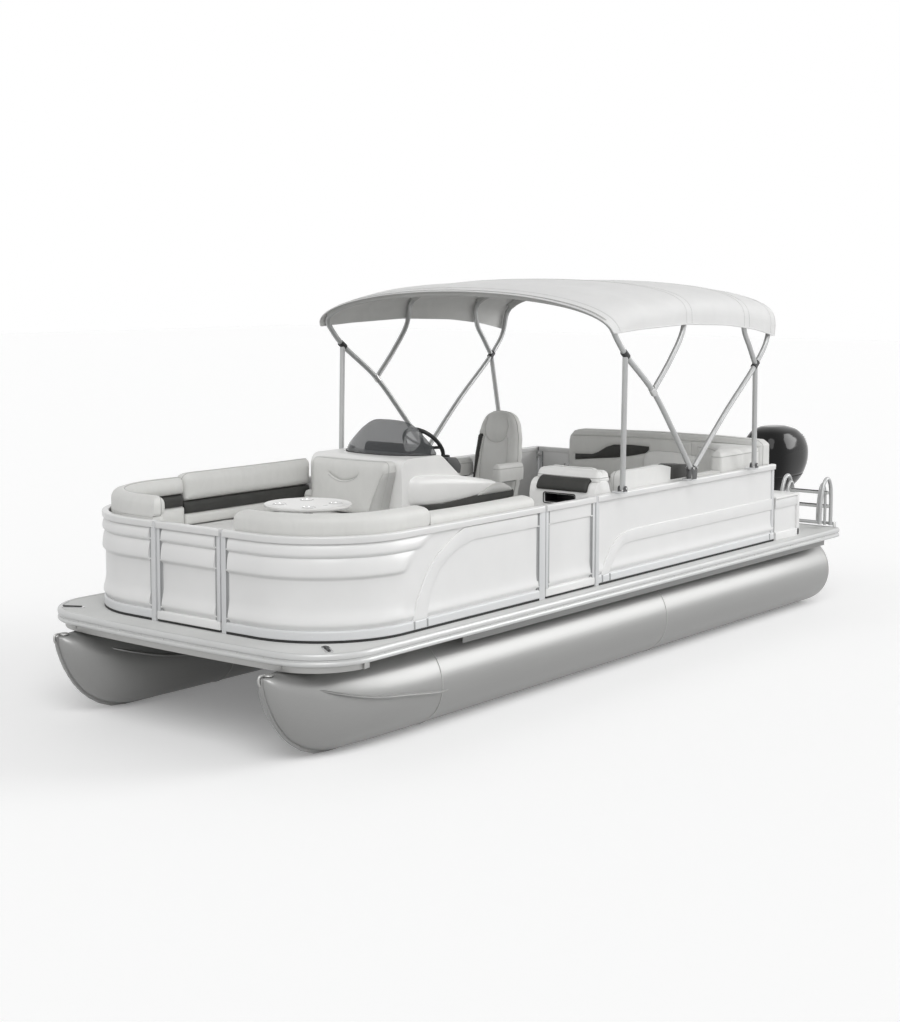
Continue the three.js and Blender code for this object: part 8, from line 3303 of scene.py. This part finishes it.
        rows = np.array([(0.120, -7.370, -7.560, 0.018), (0.205, -7.350, -7.570, 0.026),
                         (0.330, -7.310, -7.580, 0.038), (0.430, -7.290, -7.540, 0.058),
                         (0.600, -7.285, -7.520, 0.076), (0.700, -7.280, -7.540, 0.092),
                         (0.7775, -7.272, -7.600, 0.110)])
        housing = ring_skin(
            [ring(float(z), *(Pontoon.eased(rows[:, 0], rows[:, c], float(z)) for c in range(1, 4)))
             for z in np.linspace(0.12, 0.7775, 34)])
        make_piece("outboard_housing", self.moved(housing), Dressing((ENGINE_SATIN,), 60.0), "engine",
                   ("engine_leg",))
        yokes = Shape()
        for z0, z1 in ((0.400, 0.4615), (0.7565, 0.7775)):
            outline = [(self.swivel - 0.178, -0.042), (self.swivel, -0.042)]
            outline += [(self.swivel + 0.042 * math.sin(a), -0.042 * math.cos(a))
                        for a in (math.pi * k / 14 for k in range(1, 14))]
            outline += [(self.swivel, 0.042), (self.swivel - 0.178, 0.042)]
            yokes.join(extruded([(st(x), y) for x, y in outline], Axis.Z, z0, z1))
        make_piece("outboard_yokes", self.moved(yokes),
                   Dressing((ENGINE_SATIN,), bevel=0.004, bevel_segments=3), "engine")
        plate = rounded([(-7.270, -0.040), (-7.270, 0.040), (-7.420, 0.118), (-7.700, 0.122), (-7.800, 0.084),
                         (-7.826, 0.0), (-7.800, -0.084), (-7.700, -0.122), (-7.420, -0.118)], 0.05, 6)
        low = extruded([(st(x), y) for x, y in plate], Axis.Z, 0.326, 0.340)
        small = rounded([(-7.30, -0.05), (-7.30, 0.05), (-7.42, 0.085), (-7.62, 0.07), (-7.66, 0.0),
                         (-7.62, -0.07), (-7.42, -0.085)], 0.04, 5)
        low.join(extruded([(st(x), y) for x, y in small], Axis.Z, 0.262, 0.269))
        make_piece("outboard_plates", self.moved(low), Dressing((ENGINE_SATIN,), bevel=0.003), "engine")
        line = [(0.0, 0.0006), (0.004, 0.008), (0.018, 0.022), (0.046, 0.040), (0.080, 0.049),
                (0.110, 0.052), (0.250, 0.052), (0.300, 0.049), (0.334, 0.044), (0.350, 0.040),
                (0.3574, 0.037)]
        rings = [[(st(self.gear_front - v), r * math.cos(a), self.shaft + r * math.sin(a))
                  for a in round_angles(40)] for v, r in line]
        gear = ring_skin(rings)
        skeg = [(st(x), z) for x, z in ((-7.340, 0.130), (-7.400, 0.070), (-7.480, 0.022), (-7.560, 0.022),
                                        (-7.590, 0.060), (-7.560, 0.130))]
        fin = ring_skin([[(x, 0.0035 * s, z) for x, z in rounded(skeg, 0.02, 4)] for s in (-1, 1)])
        make_piece("outboard_gearcase", self.moved(gear), Dressing((ENGINE_SATIN,), 60.0), "engine")
        make_piece("outboard_skeg", self.moved(fin), Dressing((ENGINE_SATIN,), bevel=0.002), "engine")
        intake = Shape()
        for side in (-1, 1):
            for k in range(4):
                x, y = -7.40 - 0.016 * k, side * 0.0285
                y0, y1 = sorted((y, y - side * 0.004))
                intake.join(block((st(x - 0.004), y0, 0.222), (st(x + 0.004), y1, 0.252)))
        make_piece("outboard_intakes", self.moved(intake), Dressing((RUBBER,), 35.0), "engine")

    def propeller(self) -> None:
        """Makes the three-bladed propeller on its own body."""
        hub = [(0.0, 0.0006), (0.0, 0.033), (0.004, 0.037), (0.020, 0.040), (0.096, 0.036), (0.100, 0.034),
               (0.101, 0.028), (0.096, 0.026), (0.096, 0.0006)]
        x0, z0 = self.screw_at, self.shaft
        rings = [[(st(x0) - v, r * math.cos(a), z0 + r * math.sin(a))
                  for a in round_angles(36)] for v, r in hub]
        whole = ring_skin(rings)
        knots = np.array([(0.026, 0.084, 0.014, 58, 0.0), (0.060, 0.112, 0.010, 44, -0.004),
                          (0.096, 0.122, 0.007, 32, -0.010), (0.128, 0.092, 0.004, 26, -0.018),
                          (0.142, 0.040, 0.003, 24, -0.022)])
        for turn in (0, 120, 240):
            sections = []
            for r in np.linspace(0.026, 0.142, 16):
                chord, thick, pitch, rake = (Pontoon.eased(knots[:, 0], knots[:, c], float(r))
                                             for c in range(1, 5))
                a = math.radians(pitch)
                ring = []
                for k in range(20):
                    t = 2 * math.pi * k / 20
                    u, v = 0.5 * math.cos(t), 0.5 * math.sin(t) * (1 - 0.3 * math.cos(t))
                    sweep = -0.12 * (r - 0.026)
                    fx = -0.054 + rake + math.sin(a) * (u * chord + sweep) + math.cos(a) * v * thick
                    fy = math.cos(a) * (u * chord + sweep) - math.sin(a) * v * thick
                    ring.append((fx, fy, float(r)))
                sections.append(ring)
            place = Matrix.Translation((st(x0), 0, z0)) @ Matrix.Rotation(math.radians(turn), 4, "X")
            whole.join(ring_skin(sections).placed(place))
        make_piece("propeller_blades", self.moved(whole), Dressing((PROP_METAL,), 55.0), "screw",
                   ("propeller",))

    def build(self) -> None:
        """Makes the pod and the outboard."""
        self.pod()
        self.brackets()
        self.cowl()
        self.leg()
        self.propeller()


@dataclass
class Ladder:
    """The boarding ladder, folded up over its hinge: two looped rails joined by gripped treads."""

    x: float = -6.636
    y: float = 1.010
    z: float = 0.690
    half: float = 0.205

    def build(self) -> None:
        """Makes the rails, treads and hinge."""
        move = Matrix.Translation((st(self.x), self.y, self.z))
        rails = Shape()
        for y in (-0.1875, 0.1875):
            line = smooth_line([(0.046, y, 0.0), (0.046, y, 0.250), (0.060, y, 0.350), (0.108, y, 0.410),
                                (0.160, y, 0.400), (0.206, y, 0.330), (0.240, y, 0.200), (0.252, y, 0.030)],
                               0.018)
            rails.join(tube(line, 0.0165, 18))
            inner_y = y * 0.80
            nested = smooth_line([(0.082, inner_y, 0.004), (0.082, inner_y, 0.240), (0.096, inner_y, 0.326),
                                  (0.126, inner_y, 0.362), (0.158, inner_y, 0.350), (0.190, inner_y, 0.290),
                                  (0.216, inner_y, 0.180), (0.224, inner_y, 0.044)], 0.018)
            rails.join(tube(nested, 0.0125, 14))
            rails.join(tube([(0.014, y, 0.014), (0.050, y, 0.014)], 0.012, 14))
        rails.join(tube([(0.250, -0.195, 0.044), (0.250, 0.195, 0.044)], 0.011, 14))
        rails.join(tube([(0.020, -self.half, 0.014), (0.020, self.half, 0.014)], 0.013, 18))
        make_piece("ladder_rails", rails.placed(move), Dressing((POLISHED_TUBE,), 50.0), "ladder",
                   ("boarding_ladder",))
        treads, grips = Shape(), Shape()
        for x, z in ((0.060, 0.150), (0.076, 0.270)):
            outline = rounded(oblong(x - 0.030, z, x + 0.026, z + 0.024), 0.006, 3)
            treads.join(extruded(outline, Axis.Y, -0.179, 0.179))
            for k in range(4):
                gx = x - 0.022 + 0.0135 * k
                grips.join(block((gx, -0.165, z + 0.0235), (gx + 0.007, 0.165, z + 0.0265)))
        make_piece("ladder_treads", treads.placed(move), Dressing((RAIL_METAL,), 35.0), "ladder")
        make_piece("ladder_grips", grips.placed(move), Dressing((RUBBER,), 35.0, bevel=0.001), "ladder")


# ---------------------------------------------------------------------------------------------
# Stage and camera
# ---------------------------------------------------------------------------------------------


@dataclass(frozen=True)
class Lamp:
    """A distant soft lamp: its strength, how wide it looks, and the direction that it shines from."""

    name: str
    energy: float
    width_deg: float
    towards: Point


@dataclass
class Stage:
    """The pale floor, the soft light and the camera."""

    floor_colour: float = 0.93
    floor_bounce: float = 0.50
    floor_lift: float = 0.16
    sky_low: float = 0.95
    sky_high: float = 0.20
    lamps_used: tuple[Lamp, ...] = (
        Lamp("key", 1.28, 40.0, (0.48, 0.50, 0.72)),
        Lamp("rim", 1.00, 30.0, (-0.76, 0.56, 0.33)),
    )
    yaw_deg: float = 218.28
    pitch_deg: float = 5.17
    roll_deg: float = 0.103
    lens: float = 60.255969
    shift_y: float = -0.07925636
    floor_half: float = 60.0
    floor_level: float = -0.002
    place: Point = (6.933 + MIDSHIP, 7.685, 2.833)

    def seen(self, tree: bpy.types.NodeTree) -> bpy.types.NodeSocket:
        """A mask that is 1 for rays from the camera, a gloss or a clear surface.

        Args:
            tree: The node tree that the mask is made in.

        Returns:
            The mask's socket.
        """
        path = tree.nodes.new("ShaderNodeLightPath")
        total = path.outputs["Is Camera Ray"]
        for name in ("Is Glossy Ray", "Is Transmission Ray"):
            most = tree.nodes.new("ShaderNodeMath")
            most.operation = "MAXIMUM"
            tree.links.new(total, most.inputs[0])
            tree.links.new(path.outputs[name], most.inputs[1])
            total = most.outputs[0]
        return total

    def world(self) -> None:
        """A white surround that lights the boat softly, more from low down than from above."""
        world = bpy.data.worlds.new("surround")
        world.use_nodes = True
        tree = world.node_tree
        base = tree.nodes["Background"]
        place = tree.nodes.new("ShaderNodeTexCoord")
        height = tree.nodes.new("ShaderNodeSeparateXYZ")
        tree.links.new(place.outputs["Generated"], height.inputs["Vector"])
        soft = tree.nodes.new("ShaderNodeMapRange")
        soft.inputs["To Min"].default_value = self.sky_low
        soft.inputs["To Max"].default_value = self.sky_high
        tree.links.new(height.outputs["Z"], soft.inputs["Value"])
        strength = tree.nodes.new("ShaderNodeMapRange")
        strength.inputs["To Max"].default_value = 1.0
        tree.links.new(soft.outputs["Result"], strength.inputs["To Min"])
        tree.links.new(self.seen(tree), strength.inputs["Value"])
        tree.links.new(strength.outputs["Result"], base.inputs["Strength"])
        base.inputs["Color"].default_value = (1, 1, 1, 1)
        bpy.context.scene.world = world

    def floor(self) -> None:
        """A wide pale floor under the keels, white to the eye where nothing shades it."""
        mesh = bpy.data.meshes.new("floor")
        half = self.floor_half
        corners = [(x, y, self.floor_level) for x, y in oblong(-half, -half, half, half)]
        mesh.from_pydata(corners, [], [(0, 1, 2, 3)])
        floor = bpy.data.objects.new("floor", mesh)
        bpy.context.scene.collection.objects.link(floor)
        paint = bpy.data.materials.new("floor_paint")
        paint.use_nodes = True
        tree = paint.node_tree
        shader = tree.nodes["Principled BSDF"]
        shader.inputs["Roughness"].default_value = 0.9
        shader.inputs["Emission Color"].default_value = (1, 1, 1, 1)
        seen = self.seen(tree)
        for low, high, target in ((self.floor_bounce, self.floor_colour, "Base Color"),
                                  (0.0, self.floor_lift, "Emission Strength")):
            level = tree.nodes.new("ShaderNodeMapRange")
            level.inputs["To Min"].default_value = low
            level.inputs["To Max"].default_value = high
            tree.links.new(seen, level.inputs["Value"])
            tree.links.new(level.outputs["Result"], shader.inputs[target])
        mesh.materials.append(paint)

    def lamps(self) -> None:
        """Hangs the lamps: a broad one from high to port and a narrower one from the port quarter."""
        for lamp in self.lamps_used:
            data = bpy.data.lights.new(lamp.name, "SUN")
            data.energy = lamp.energy
            data.angle = math.radians(lamp.width_deg)
            holder = bpy.data.objects.new(lamp.name, data)
            holder.rotation_euler = Vector(lamp.towards).to_track_quat("Z", "Y").to_euler()
            bpy.context.scene.collection.objects.link(holder)

    def camera(self) -> None:
        """The camera, off the port bow and a little above the fence."""
        data = bpy.data.cameras.new("camera")
        data.sensor_width = 36.0
        data.lens = self.lens
        data.shift_y = self.shift_y
        data.clip_end = 200.0
        holder = bpy.data.objects.new("camera", data)
        bpy.context.scene.collection.objects.link(holder)
        yaw, pitch, roll = (math.radians(a) for a in (self.yaw_deg, self.pitch_deg, self.roll_deg))
        ahead = Vector((math.cos(yaw) * math.cos(pitch), math.sin(yaw) * math.cos(pitch), -math.sin(pitch)))
        right = ahead.cross(Vector((0, 0, 1))).normalized()
        up = right.cross(ahead)
        right, up = right * math.cos(roll) + up * math.sin(roll), up * math.cos(roll) - right * math.sin(roll)
        matrix = Matrix((right, up, -ahead)).transposed().to_4x4()
        matrix.translation = Vector(self.place)
        holder.matrix_world = matrix
        bpy.context.scene.camera = holder

    def build(self) -> None:
        """Sets up the camera, the surround, the floor and the lamps."""
        bpy.context.scene.view_settings.view_transform = "Standard"
        self.camera()
        self.world()
        self.floor()
        self.lamps()


def main() -> None:
    """Builds the stage and every sub-assembly."""
    logging.basicConfig(level=logging.INFO, format="%(message)s", stream=sys.stdout)
    Stage().build()
    for side in Side:
        Pontoon(side).build()
    DeckEdge().build()
    Railing().build()
    BowLounge(Side.PORT, end=-2.266, back_end=-2.264, wing=None, corner_top=1.424, run_top=1.374).build()
    BowLounge(Side.STARBOARD, end=-2.416, back_end=-2.440, wing=0.17, corner_top=1.440, run_top=1.462).build()
    HelmSideSeat().build()
    AftLounge().build()
    Chaise().build()
    Table().build()
    Helm().build()
    CaptainChair().build()
    Bimini().build()
    Outboard().build()
    Ladder().build()


if __name__ == "__main__":
    main()
